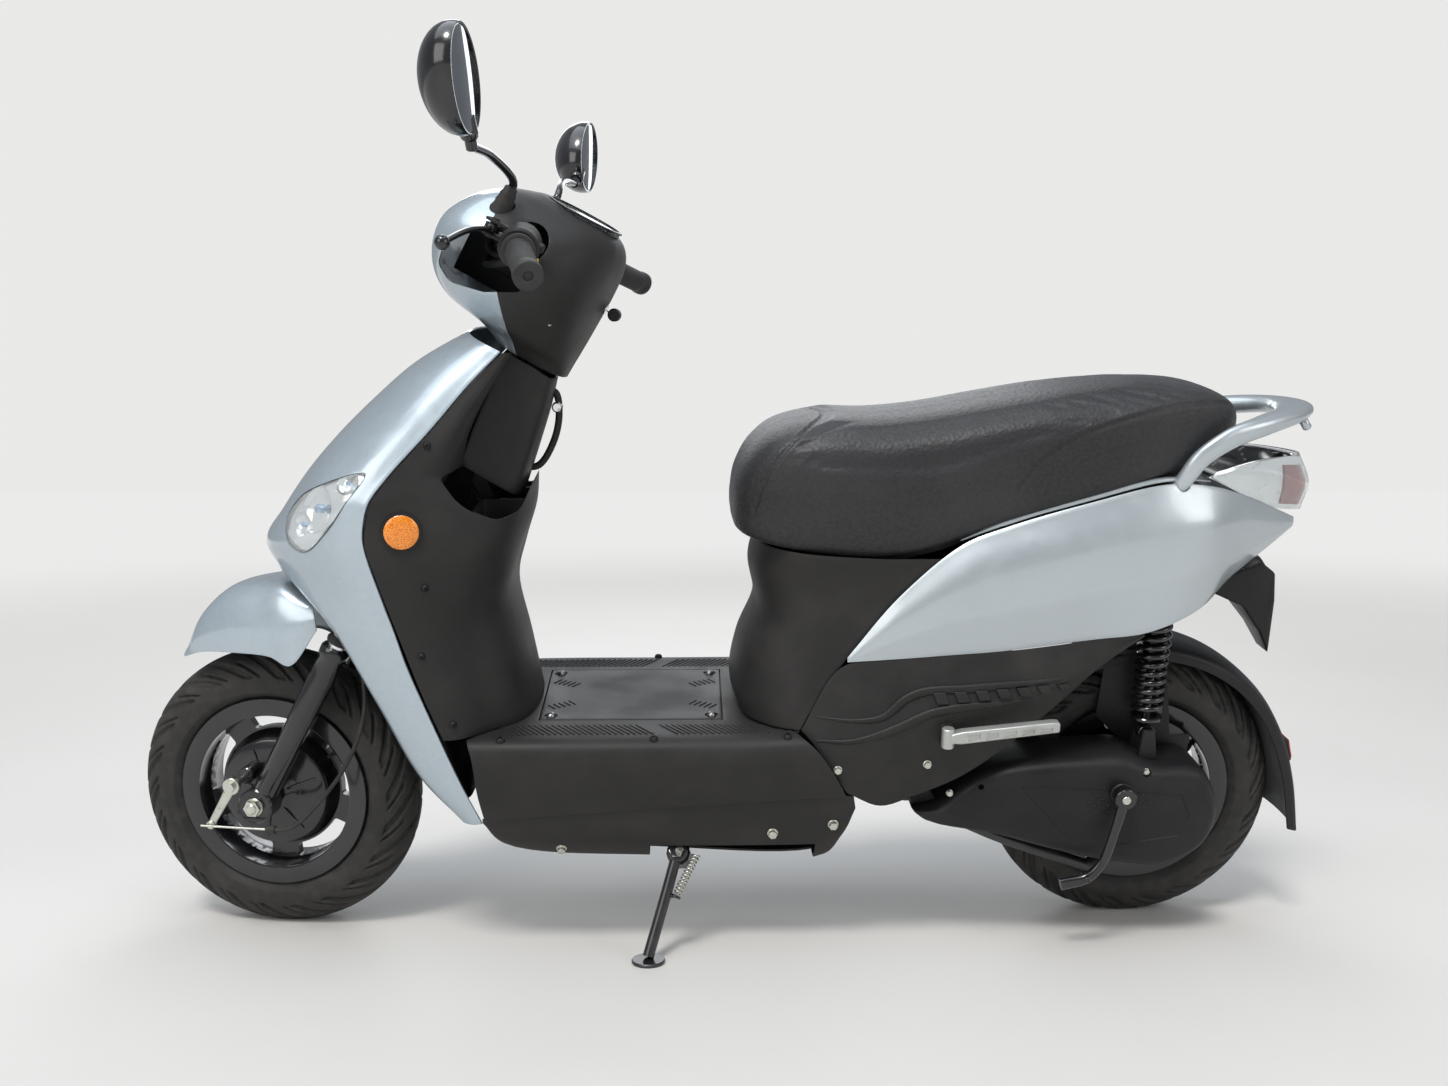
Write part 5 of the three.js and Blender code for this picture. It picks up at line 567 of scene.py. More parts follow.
def sweep(name, path, sizes, sides=16, steps=6, level=(0, 0, 1), power=1.0):
    """An oval section carried along a smooth path, its half width and half height going by `sizes`."""
    curve = spline(path, steps)
    rings = []
    for i, centre in enumerate(curve):
        ahead = Vector(curve[min(i + 1, len(curve) - 1)] - curve[max(i - 1, 0)]).normalized()
        wide = Vector(level).cross(ahead).normalized()
        tall = ahead.cross(wide)
        place = i / (len(curve) - 1) * (len(sizes) - 1)
        low = min(int(place), len(sizes) - 2)
        w, t = (sizes[low][k] + (sizes[low + 1][k] - sizes[low][k]) * (place - low) for k in (0, 1))
        ring = []
        for j in range(sides):
            angle = 2 * math.pi * (j + 0.5) / sides
            c, s = math.cos(angle), math.sin(angle)
            ring.append(Vector(centre) + wide * (w * math.copysign(abs(c) ** power, c))
                        + tall * (t * math.copysign(abs(s) ** power, s)))
        rings.append(ring)
    return loft(name, rings)


def tube(name, path, radius, sides=14, steps=8):
    ahead = Vector(path[-1]) - Vector(path[0])
    level = (0, 0, 1) if abs(ahead.normalized().z) < 0.8 else (0, 1, 0)
    return sweep(name, path, [(radius, radius)] * 2, sides, steps, level)


def block(name, low, high, ease=1.0, segments=2):
    corners = [(x, y, z) for x in (low[0], high[0]) for y in (low[1], high[1]) for z in (low[2], high[2])]
    faces = [(0, 1, 3, 2), (4, 6, 7, 5), (0, 4, 5, 1), (2, 3, 7, 6), (0, 2, 6, 4), (1, 5, 7, 3)]
    return soften(outward(make(name, corners, faces)), ease, segments, 40)


def bright_metal(name, colour, roughness, brushed=0.0, grime=(0.16, 0.13, 0.10)):
    metal = Finish(name)
    cloud = metal.noise(38, 5)
    fine = metal.noise(900, 2, metal.place(size=(1, 14, 1)))
    dirt = metal.noise(120, 6).above(0.66, 0.16)
    tone = metal.mix(dirt * 0.45, colour, grime)
    return metal.surface(Base_Color=tone, Metallic=dirt * -0.35 + 0.98,
        Roughness=cloud * 0.12 + dirt * 0.25 + roughness, Normal=metal.bump(fine, 0.0002, 0.1 + brushed))


CHROME = bright_metal("chromed_steel", (0.78, 0.79, 0.81), 0.04)
ZINC = bright_metal("zinc_plate", (0.60, 0.60, 0.54), 0.24, 0.35)
STEEL = bright_metal("turned_steel", (0.34, 0.34, 0.35), 0.28, 0.3)

for side, word in ((-1, "left"), (1, "right")):
    y = side * FORK_HALF
    top = fork_at(SLIDER_LENGTH, y)
    body = [(0, 0), (SLIDER - 3, 0), (SLIDER, 6), (SLIDER, 150), (SLIDER + 0.8, 156), (SLIDER + 0.8, 226),
        (SLIDER, 232), (SLIDER, SLIDER_LENGTH - 4), (SLIDER + 2.6, SLIDER_LENGTH),
        (SLIDER + 2.6, SLIDER_LENGTH + 10), (SLIDER + 1, SLIDER_LENGTH + 13), (14.2, SLIDER_LENGTH + 13),
        (14.2, BORE_END), (0, BORE_END)]
    leg = bar("leg", fork_at(-13, y), top, SLIDER, 40, ends=body)
    foot = bar("foot", FRONT_AXLE + Vector((0, y - SLIDER, 0)),
        FRONT_AXLE + Vector((0, y + SLIDER, 0)), 25.5, 40, 2.5)
    fit(merge(f"fork_leg_{word}", leg, foot), f"fork_slider_{word}", GLOSS, slide)
    seal = bar(f"fork_seal_{word}", top, top + STEER_AXIS, 0, 36,
        ends=[(14.4, 8), (17.5, 8), (18.2, 12), (16.4, 16), (14.4, 18.5)])
    fit(seal, f"fork_slider_{word}", RUBBER, slide, hides=False)

spindle_half = FORK_HALF + SLIDER + 10
axle_bar = bar("bar", FRONT_AXLE + Vector((0, -spindle_half - 3, 0)),
    FRONT_AXLE + Vector((0, spindle_half, 0)), 7.4, 32, 1.2)
nuts = []
for side in (-1, 1):
    face = side * (FORK_HALF + SLIDER + 0.4)
    nuts += [hexagon("nut", FRONT_AXLE + Vector((0, face + side * 1.8, 0)),
        FRONT_AXLE + Vector((0, face + side * 9.6, 0)), 12),
        bar("washer", FRONT_AXLE + Vector((0, face, 0)), FRONT_AXLE + Vector((0, face + side * 1.8, 0)),
        13, 40, 0.4)]
fit(merge("front_spindle", axle_bar, *nuts), "front_axle", ZINC, slide)

tubes = [bar("tube", fork_at(152, s * FORK_HALF), fork_at(YOKE + 14, s * FORK_HALF), 13.4, 48,
    1.5) for s in (-1, 1)]
fit(merge("fork_stanchions", *tubes), "fork_tree", CHROME, steer)
yoke_outline = [(-80, -18), (80, -18), (92, -14), (98, 0), (92, 14), (80, 18), (22, 52), (10, 57),
    (-10, 57), (-22, 52), (-80, 18), (-92, 14), (-98, 0), (-92, -14)]
yoke_low, yoke_high = ([fork_at(YOKE + h, s, a) for s, a in yoke_outline] for h in (-15, 15))
yoke = soften(loft("yoke", [yoke_low, yoke_high]), 4, 3, 30)
stem = bar("stem", on_steer_axis((fork_at(YOKE, 0)).z), on_steer_axis(955) - STEER_AXIS * 22, 15, 40, 1)
fit(merge("fork_yoke", yoke, stem), "fork_tree", GLOSS, steer)

# Front brake: a cast plate closing the drum, a cam turned by a zinc-plated arm, and a black-sheathed
# cable that comes down the left slider to a stop and pulls the arm through a steel rod.
PLATE_Y = -30.4
plate_profile = [(8, PLATE_Y), (77.5, PLATE_Y), (77.5, PLATE_Y - 3), (75, PLATE_Y - 4.5),
    (60, PLATE_Y - 5), (52, PLATE_Y - 7.5), (40, PLATE_Y - 8), (30, PLATE_Y - 10), (22, PLATE_Y - 16),
    (8, PLATE_Y - 16)]
cam = FRONT_AXLE - STEER_ACROSS * 38 + STEER_AXIS * 19
drum_plate = lathe("plate", plate_profile, FRONT_AXLE, (0, 1, 0), 96)
boss = bar("boss", Vector((cam.x, PLATE_Y - 5, cam.z)), Vector((cam.x, -71, cam.z)), 12, 36, 1.5)
ribs = []
for spoke in range(7):
    angle = math.radians(20 + spoke * 48)
    a, b = (FRONT_AXLE + Vector((math.cos(angle) * r, PLATE_Y - d, math.sin(angle) * r)) for r,
        d in ((22, 11), (68, 5)))
    ribs.append(sweep("rib", [a, (a + b) / 2, b], [(2.2, 3.4), (2, 1.6)], 8, 2, (0, 1, 0), 0.6))
fit(merge("drum_plate", drum_plate, boss, *ribs), "front_brake_plate", GLOSS, slide)

ARM_Y = -110
arm_foot = Vector((cam.x - 34, ARM_Y, cam.z - 68 * 0.86))
arm_head = Vector((cam.x, ARM_Y, cam.z))
middle = (arm_head + arm_foot) / 2
arm = [bar("head", arm_head + Vector((0, -6, 0)), arm_head + Vector((0, 3, 0)), 12, 36, 0.8),
       sweep("blade", [arm_head, middle, arm_foot], [(7.5, 3), (6, 2.6), (5, 2.4)], 12, 4, (0, 1, 0), 0.5),
       bar("eye", arm_foot + Vector((0, -5, 0)), arm_foot + Vector((0, 5, 0)), 6, 28, 0.8),
       bar("cam", arm_head, Vector((cam.x, -63, cam.z)), 5, 24, 0.5),
       hexagon("nut", arm_head + Vector((0, -5.9, 0)), arm_head + Vector((0, -11.5, 0)), 7.5)]
fit(merge("cam_arm", *arm), "front_brake_arm", ZINC, slide)

CABLE_Y = ARM_Y - 7.85
stop_x = FRONT_AXLE.x + 26
cable_path = [Vector((stop_x, CABLE_Y, arm_foot.z)),
    Vector((-WHEELBASE + 62, CABLE_Y, arm_foot.z + 4)), Vector((-WHEELBASE + 112, -99, 240)),
    Vector((-WHEELBASE + 148, -94, 300)), Vector((-WHEELBASE + 164, -90, 360)),
    Vector((-WHEELBASE + 158, -86, 420)), Vector((-WHEELBASE + 146, -82, 446))]
sheath = tube("sheath", cable_path, 3, 16, 14)
stop = bar("stop", Vector((stop_x, CABLE_Y, arm_foot.z)), Vector((stop_x + 13, CABLE_Y, arm_foot.z)), 6,
    28, 0.8)
fit(merge("brake_cable_sheath", sheath, stop), "front_brake_cable", RUBBER, slide)
pull = bar("brake_pull_rod", Vector((arm_foot.x - 12, CABLE_Y, arm_foot.z)),
    Vector((stop_x, CABLE_Y, arm_foot.z)), 1.6, 16, 0.3)
fit(pull, "front_brake_cable", ZINC, slide, hides=False)

# Front fender: a crowned plastic shell in the body colour, its lip turned in, strapped to the yoke.
FENDER_SHARES = [
    [[-0.302, -0.5, 0.71], [-0.308, -0.4, 0.716], [-0.316, -0.24, 0.722], [-0.32, 0, 0.726]],
    [[-0.205, -0.66, 0.728], [-0.225, -0.62, 0.768], [-0.245, -0.4, 0.802], [-0.255, 0, 0.812]],
    [[-0.08, -0.8, 0.735], [-0.092, -0.78, 0.802], [-0.125, -0.54, 0.866], [-0.14, 0, 0.882]],
    [[0.065, -0.9, 0.733], [0.05, -0.89, 0.812], [0.005, -0.64, 0.89], [-0.015, 0, 0.902]],
    [[0.145, -0.96, 0.715], [0.14, -0.95, 0.82], [0.105, -0.7, 0.898], [0.09, 0, 0.908]],
    [[0.245, -0.94, 0.804], [0.24, -0.93, 0.838], [0.21, -0.68, 0.88], [0.185, 0, 0.886]],
]
FENDER_HALF = 96
FENDER_TOP = 575


def fender_at(a, b, c):
    return Vector((-WHEELBASE + a * FRONT_SPAN, b * FENDER_HALF, c * FENDER_TOP))


def both_sides(rows):
    return [[*row, *[Vector((p.x, -p.y, p.z)) for p in row[-2::-1]]] for row in rows]


def folded(points, steps, folds=()):
    """A curve that is smooth between the points it folds at."""
    ends = [0, *folds, len(points) - 1]
    runs = [spline(points[a:b + 1], steps, b == ends[-1]) for a, b in zip(ends, ends[1:])]
    return [p for run in runs[:-1] for p in run[:-1]] + runs[-1]


def panel_points(rows, across, down, corners=(), creases=()):
    """A smooth grid through rows of points, folded along the rows and columns that are named."""
    wide = [folded(row, across, creases) for row in rows]
    columns = [folded([row[j] for row in wide], down, corners) for j in range(len(wide[0]))]
    return np.array(columns).swapaxes(0, 1)


def panel(name, rows, core, wall=3.0, across=7, down=7, sink=0.0, ease=0.9, corners=(), half=False,
    creases=()):
    """A moulded wall through rows of points, thickened towards the core, with eased edges."""
    grid = panel_points(rows, across, down, corners, creases)
    if half:
        grid[..., 1] = np.minimum(grid[..., 1], 0)
    normals = np.cross(np.gradient(grid, axis=0), np.gradient(grid, axis=1))
    normals /= np.linalg.norm(normals, axis=2, keepdims=True) + 1e-12
    i, j = grid.shape[0] // 2, grid.shape[1] // 2
    normals *= np.sign(np.dot(normals[i, j], np.array(core) - grid[i, j]))
    on_centre = np.abs(grid[..., 1]) < 1e-6
    normals[on_centre, 1] = 0
    outer, inner = grid + normals * sink, grid + normals * (sink + wall)
    high, wide = grid.shape[:2]
    size = high * wide
    faces = []
    for a in range(high - 1):
        for b in range(wide - 1):
            k = a * wide + b
            faces += [(k, k + 1, k + wide + 1, k + wide), (size + k, size + k + wide,
                size + k + wide + 1, size + k + 1)]
    rim_line = ([(0, b) for b in range(wide)] + [(a, wide - 1) for a in range(1, high)]
                + [(high - 1, b) for b in range(wide - 2, -1, -1)] + [(a, 0) for a in range(high - 2, 0, -1)])
    edge = [a * wide + b for a, b in rim_line]
    faces += [(k, n, size + n, size + k) for k, n in zip(edge, edge[1:] + edge[:1])]
    obj = outward(make(name, [*outer.reshape(-1, 3), *inner.reshape(-1, 3)], faces))
    return soften(obj, ease, 2, 55) if ease else obj


def pearl_paint(name, colour, deep, flake=0.35, roughness=0.2):
    paint = Finish(name)
    flakes = paint.cells(2600)
    sparkle = paint.noise(1800, 2)
    cloud = paint.noise(5, 3)
    film = paint.noise(30, 6).above(0.6, 0.3)
    facing = paint.value("ShaderNodeLayerWeight", None, {"Blend": 0.32}, output=1)
    tone = paint.mix(facing, colour, deep)
    tone = paint.mix(cloud * 0.14 + sparkle * 0.12, tone, tuple(c * 0.8 for c in colour))
    peel = paint.bump(paint.noise(170, 2), 0.0003, 0.05)
    return paint.surface(Base_Color=tone, Metallic=sparkle * 0.25 + flake,
        Roughness=flakes * 0.18 + film * 0.08 + roughness, Coat_Weight=0.85, Coat_Roughness=0.06,
        Normal=peel)


PEARL = pearl_paint("pearl_paint", (0.47, 0.545, 0.60), (0.27, 0.34, 0.39))
SILVER = pearl_paint("silver_paint", (0.52, 0.57, 0.60), (0.31, 0.35, 0.38), 0.5, 0.24)
fender_rows = both_sides([[fender_at(*p) for p in row] for row in FENDER_SHARES])
shell = panel("shell", fender_rows, FRONT_AXLE, 3, 8, 8)
strap_start, strap_end = fork_at(YOKE - 18, 0), fender_at(0.175, 0, 0.884)
strap = sweep("strap", [strap_start, strap_end + Vector((0, 0, -4))], [(26, 2.4), (26, 2.4)], 12, 4,
    (0, 0, 1), 0.3)
pad = loft("pad", [[fork_at(YOKE + h, s, a) for s,
    a in ((-26, -26), (26, -26), (26, 13), (-26, 13))] for h in (-20.2, -15.4)])
fit(merge("front_fender_shell", shell, strap, soften(pad, 1, 2, 40)), "front_fender", PEARL, steer)

# Handlebar: a bent black steel tube clamped on the stem, with a boot and a threaded stalk for each
# mirror. The tube is drawn through its bends and the stalk rises from its foot through the cover.
BAR = on_steer_axis(955)
MIRROR_POST = 9


def head_at(across, side, along):
    return BAR + STEER_ACROSS * across + Vector((0, side, 0)) + STEER_AXIS * along


def bar_bend(side):
    return head_at(-24, side * 158, 18)


def mirror_foot(side):
    return head_at(-78, side * 112.5, 8)


def lever_pivot(side):
    return head_at(-58, side * 182, 18)


def grip_line(side):
    return head_at(-10, side * 212, 12), head_at(44, side * 334, 6)


def mirror_reach(side):
    tilt = math.radians(58 if side < 0 else 34)
    return Vector((0, side * math.cos(tilt), math.sin(tilt)))


def mirror_joint(side):
    return head_at(-100, side * 255, 95)


half_bars = [[grip_line(s)[1], grip_line(s)[0], bar_bend(s), head_at(-20, s * 110.6, 18),
    head_at(0, s * 47.4, 0)] for s in (-1, 1)]
parts = [tube("bar", half_bars[0] + half_bars[1][::-1], 10.9, 24, 10),
    bar("clamp", head_at(0, 0, -21.6), head_at(0, 0, 17), 18, 40, 2)]
for side in (-1, 1):
    foot, joint = mirror_foot(side), mirror_joint(side)
    root, neck = head_at(-24, side * 118.5, 18), foot + STEER_AXIS * 52
    parts += [tube("perch", [root, (root + foot) / 2, foot], 8.8, 16, 4),
        tube("stalk", [neck - STEER_AXIS * 6, neck + STEER_AXIS * 12,
        neck.lerp(joint, 0.45) + Vector((0, 0, 18)), joint], 5.4, 20, 12),
        bar("post", joint - mirror_reach(side) * 4.5, joint + mirror_reach(side) * MIRROR_POST, 7, 28, 1.2)]
fit(merge("handlebar_tube", *parts), "handlebar", GLOSS, steer)
for side, word in ((-1, "left"), (1, "right")):
    foot = mirror_foot(side)
    boot = bar(f"mirror_boot_{word}", foot, foot + STEER_AXIS, 0, 36,
        ends=[(9.5, 2), (13.4, 2), (13.2, 30), (12, 36), (12.4, 39), (10.4, 45), (10.8, 48), (8.6, 54),
        (8.2, 58), (5.7, 60)])
    fit(boot, "handlebar", RUBBER, steer, hides=False)

# Grips: soft rubber sleeves with fine rings and a flange. The right one turns as the throttle.
def soft_rubber():
    rubber = Finish("soft_rubber")
    wear = rubber.noise(45, 5).above(0.55, 0.3)
    tone = rubber.mix(wear * 0.5, (0.016, 0.016, 0.017), (0.05, 0.049, 0.047))
    return rubber.surface(Base_Color=tone, Roughness=wear * 0.12 + 0.55,
        Normal=rubber.bump(rubber.noise(1500, 2), 0.0003, 0.4))


SOFT = soft_rubber()
for side, node in ((-1, "grip_left"), (1, "throttle_grip")):
    start, end = grip_line(side)
    start = start.lerp(end, 0.02)
    long = (end - start).length + 8
    profile = [(11.4, 0.2), (20, 0.2), (21, 1.2), (21, 7), (19.6, 8), (17, 8.6)]
    for ring in range(22):
        at = 14 + ring * 4.6
        profile += [(16.3, at), (15.5, at + 0.7), (15.5, at + 1.9), (16.3, at + 2.6)]
    profile += [(16.4, long - 12), (17.6, long - 10), (17.6, long - 1.5), (16, long), (6, long),
        (5, long - 3), (0, long - 3), (0, long - 7.4), (11.4, long - 7.4)]
    fit(bar(node + "_sleeve", start, end, 0, 48, ends=profile), node, SOFT, steer, 32)

# Switch pods: moulded clam shells clamped round the bar with two screws, carrying the levers' pins
# between lugs, and on the left the horn and turn-signal buttons.
def grained(name, colour, roughness=0.55, grain=520, depth=0.0003):
    plastic = Finish(name)
    pebble = plastic.cells(grain)
    dust = plastic.noise(14, 6).above(0.55, 0.35)
    rub = plastic.noise(3.5, 3).above(0.5, 0.4)
    tone = plastic.mix(dust * 0.3 + rub * 0.2, colour, tuple(c * 2.2 + 0.006 for c in colour))
    height = plastic.bump(pebble ** 1.4, depth, 0.5)
    return plastic.surface(Base_Color=tone, Roughness=dust * 0.1 + rub * 0.08 + roughness, Normal=height,
                           Specular_IOR_Level=0.3)


GRAINED = grained("grained_plastic", (0.017, 0.016, 0.0155), 0.46)
DARK = grained("dark_plastic", (0.010, 0.010, 0.011), 0.42, 380)
BUTTON = grained("button_plastic", (0.012, 0.012, 0.013), 0.3, 900, 0.0001)
ACCENT = grained("yellow_plastic", (0.62, 0.43, 0.02), 0.35, 900, 0.0001)


def head_block(name, across, sides, along, ease=1.0):
    corners = [head_at(a, s, h) for a in across for s in sides for h in along]
    faces = [(0, 1, 3, 2), (4, 6, 7, 5), (0, 4, 5, 1), (2, 3, 7, 6), (0, 2, 6, 4), (1, 5, 7, 3)]
    return soften(outward(make(name, corners, faces)), ease, 2, 40)


def scatter_tree():
    """Geometry Nodes: a small form set on every point of a mesh and turned to each point's `way`."""
    tree = bpy.data.node_groups.new("set_on_points", "GeometryNodeTree")
    face = tree.interface
    for name, kind in (("Geometry", "NodeSocketGeometry"), ("Form", "NodeSocketObject"),
        ("Size", "NodeSocketFloat"), ("Spin", "NodeSocketFloat"), ("Seed", "NodeSocketInt"),
        ("Finish", "NodeSocketMaterial")):
        face.new_socket(name, in_out="INPUT", socket_type=kind)
    face.new_socket("Geometry", in_out="OUTPUT", socket_type="NodeSocketGeometry")
    nodes = tree.nodes
    given, result = nodes.new("NodeGroupInput"), nodes.new("NodeGroupOutput")
    form, put = nodes.new("GeometryNodeObjectInfo"), nodes.new("GeometryNodeInstanceOnPoints")
    way, turn = nodes.new("GeometryNodeInputNamedAttribute"), nodes.new("FunctionNodeAlignEulerToVector")
    chance, spin = nodes.new("FunctionNodeRandomValue"), nodes.new("FunctionNodeRotateEuler")
    join, real = nodes.new("ShaderNodeCombineXYZ"), nodes.new("GeometryNodeRealizeInstances")
    colour = nodes.new("GeometryNodeSetMaterial")
    way.data_type = "FLOAT_VECTOR"
    way.inputs["Name"].default_value = "way"
    turn.axis = "Z"
    spin.space = "LOCAL"
    for a, b in ((given.outputs["Geometry"], put.inputs["Points"]),
        (given.outputs["Form"], form.inputs["Object"]),
        (form.outputs["Geometry"], put.inputs["Instance"]),
        (way.outputs["Attribute"], turn.inputs["Vector"]), (given.outputs["Seed"], chance.inputs["Seed"]),
        (given.outputs["Spin"], chance.inputs[3]), (chance.outputs[1], join.inputs["Z"]),
        (turn.outputs["Rotation"], spin.inputs["Rotation"]), (join.outputs[0], spin.inputs["Rotate By"]),
        (spin.outputs["Rotation"], put.inputs["Rotation"]), (given.outputs["Size"], put.inputs["Scale"]),
        (put.outputs["Instances"], real.inputs["Geometry"]),
        (real.outputs["Geometry"], colour.inputs["Geometry"]),
        (given.outputs["Finish"], colour.inputs["Material"]),
        (colour.outputs["Geometry"], result.inputs["Geometry"])):
        tree.links.new(a, b)
    return tree


SCATTER = scatter_tree()
socket_of = {item.name: item.identifier for item in SCATTER.interface.items_tree if item.in_out == "INPUT"}


def scatter(name, form, places, size, finish, node, place=None, spin=6.28, seed=3):
    """Sets copies of a small form at (point, direction) places and puts them on a node's body."""
    obj = make(name, [p for p, _ in places], [])
    way = obj.data.attributes.new("way", "FLOAT_VECTOR", "POINT")
    way.data.foreach_set("vector", np.array([tuple(d) for _, d in places], dtype=float).ravel())
    modifier = obj.modifiers.new("set", "NODES")
    modifier.node_group = SCATTER
    for key, given in (("Form", form), ("Size", float(size)), ("Spin", float(spin)), ("Seed", seed),
        ("Finish", finish)):
        modifier[socket_of[key]] = given
    return fit(obj, node, finish, place, hides=False)


def cross_screw():
    head = lathe("screw_head", [(0, 0.9), (0.55, 0.85), (0.88, 0.55), (1, 0.1), (1, -0.35), (0, -0.35)],
        (0, 0, 0), (0, 0, 1), 24)
    tools = [block("slot", (-0.12, -0.6, 0.35), (0.12, 0.6, 2), 0.01, 1),
        block("slot", (-0.6, -0.12, 0.35), (0.6, 0.12, 2), 0.01, 1)]
    bake(cut(head, *[bake(tool) for tool in tools]))
    scrap(*tools)
    head.hide_render = True
    return head


def hex_bolt():
    head = hexagon("bolt_head", (0, 0, 0.15), (0, 0, 0.85), 0.82)
    base = lathe("flange", [(0, -0.3), (1, -0.3), (1, 0.12), (0.9, 0.22), (0, 0.22)], (0, 0, 0),
        (0, 0, 1), 32)
    bolt = merge("flange_bolt", head, base)
    bolt.hide_render = True
    return bolt


SCREW, BOLT = cross_screw(), hex_bolt()


def pod_at(side, share):
    return bar_bend(side).lerp(grip_line(side)[0], share)


for side, word in ((-1, "left"), (1, "right")):
    start, end = pod_at(side, 0), pod_at(side, 0.9)
    long = (end - start).length
    middle = side * 182
    pivot = lever_pivot(side)
    core = bar("core", start, end, 0, 56, ends=[(11.5, 0), (22, 0), (25, 3), (25, long / 2 - 0.6),
        (24.3, long / 2), (25, long / 2 + 0.6), (25, long - 3), (22.5, long), (11.5, long)])
    ears = [head_block("ear", (-68, -30), (middle - 10, middle + 10), (18 + a, 18 + b), 1.6) for a,
        b in ((-10.5, -6.5), (6.5, 10.5))]
    pin = bar("pin", pivot - STEER_AXIS * 12.5, pivot + STEER_AXIS * 12.5, 5, 28, 0.8)
    if side < 0:
        wells = [bar("well", pod_at(-1, 0.45) + STEER_AXIS * k + STEER_ACROSS * 16,
            pod_at(-1, 0.45) + STEER_AXIS * k + STEER_ACROSS * 30, 7, 32, 0.01) for k in (-9, 9)]
        bake(cut(core, *[bake(well) for well in wells]))
        scrap(*wells)
    fit(merge(f"switch_pod_{word}_shell", core, *ears, pin), f"switch_pod_{word}", GRAINED, steer)
for node, along, finish in (("horn_button", -9, ACCENT), ("indicator_button", 9, BUTTON)):
    base = pod_at(-1, 0.45) + STEER_AXIS * along
    cap = bar(node + "_cap", base + STEER_ACROSS * 19.35, base + STEER_ACROSS * 28, 6, 36, 1.4)
    fit(cap, node, finish, steer)

# Brake levers: forged blades painted black, ball ended, each on a pin through its pod's lugs.
LEVER_LONG = 128
for side, word in ((-1, "left"), (1, "right")):
    pivot = lever_pivot(side)
    tip = pivot + Vector((-0.16, side, -0.18)) * LEVER_LONG
    bend = pivot.lerp(tip, 0.4) + Vector((-8, 0, 3))
    hub = bar("hub", pivot - STEER_AXIS * 4.5, pivot + STEER_AXIS * 4.5, 0, 36,
              ends=[(5.4, 0), (9, 0), (10, 1), (10, 8), (9, 9), (5.4, 9)])
    blade = sweep("blade", [pivot.lerp(tip, 0.075), pivot.lerp(tip, 0.2) + Vector((-5, 0, 2)), bend, tip],
                  [(5.4, 3.2), (5.2, 3.4), (6, 3.8), (4.4, 3.6), (3.4, 3.4)], 20, 8, (0, 0, 1), 0.85)
    ball = lathe("ball", [(9 * math.sin(a), -9 * math.cos(a)) for a in np.linspace(0, math.pi, 19)], tip,
        (0, 0, 1), 36)
    fit(merge(f"lever_{word}", hub, blade, ball), f"brake_lever_{word}", GLOSS, steer)

# Mirrors: gloss black bowls on a ball joint, with a flat glass let into the rider's side.
def mirror_glass():
    glass = Finish("mirror_glass")
    smear = glass.noise(7, 4).above(0.55, 0.4)
    return glass.surface(Base_Color=glass.mix(smear, (0.27, 0.29, 0.31), (0.34, 0.36, 0.38)),
        Metallic=1.0, Roughness=smear * 0.05 + 0.02)


GLASS = mirror_glass()
for side, word in ((-1, "left"), (1, "right")):
    reach = mirror_reach(side)
    joint = mirror_joint(side) + reach * (MIRROR_POST + 0.35)
    centre = joint + reach * 70
    over = reach.cross(Vector((1, 0, 0))).normalized()
    frame_of = Matrix([[reach[k] * 64, over[k] * 50, (44, 0, 0)[k], centre[k]] for k in range(3)] + [[0,
        0, 0, 1]])
    rise = [(math.sin(a), -math.cos(a)) for a in np.linspace(0, math.acos(-0.17), 26)]
    bowl = lathe("bowl", rise + [(0.978, 0.2), (0.95, 0.2), (0.93, 0.185), (0.925, 0.15), (0, 0.15)],
        (0, 0, 0), (0, 0, 1), 72)
    bowl.data.transform(frame_of)
    neck = bar("neck", joint, joint + reach, 0, 36,
        ends=[(0, 0), (9, 0), (10.5, 2), (11, 8), (10.4, 14), (10, 26), (0, 26)])
    head = outward(merge(f"mirror_bowl_{word}", bowl, neck))
    fit(head, f"mirror_head_{word}", GLOSS, steer)
    pane = lathe(f"mirror_pane_{word}", [(0, 0.152), (0.918, 0.152), (0.918, 0.172), (0.905, 0.18),
        (0, 0.18)], (0, 0, 0), (0, 0, 1), 72)
    pane.data.transform(frame_of)
    fit(outward(pane), f"mirror_head_{word}", GLASS, steer, hides=False)

# Handlebar covers: a front shell in the body colour and a grained rear shell, screwed together
# upright, with a window for each lever, and a clear oval dash let into the rear one.
NACELLE_SHARES = [
    [-0.985, -0.2, 0.44, 0.27], [-0.87, -0.4, 0.44, 0.38], [-0.74, -0.8, 0.44, 0.58],
    [-0.46, -0.98, 0.44, 0.82], [-0.06, -1.0, 0.44, 1.0], [0.26, -0.86, 0.43, 0.85],
    [0.46, -0.66, 0.36, 0.6], [0.57, -0.42, 0.22, 0.36],
]
WINDOW_SHARES = [[-0.93, 0.02], [-0.80, 0.24], [-0.46, 0.36], [-0.18, 0.36], [-0.18, -0.26],
    [-0.52, -0.26], [-0.84, -0.16]]
NACELLE_LONG = 160
NACELLE_WIDE = 150
NACELLE_HIGH = 130
SPLIT_X = BAR.x - 55
DASH = head_at(-4, 0, NACELLE_HIGH * 0.575)


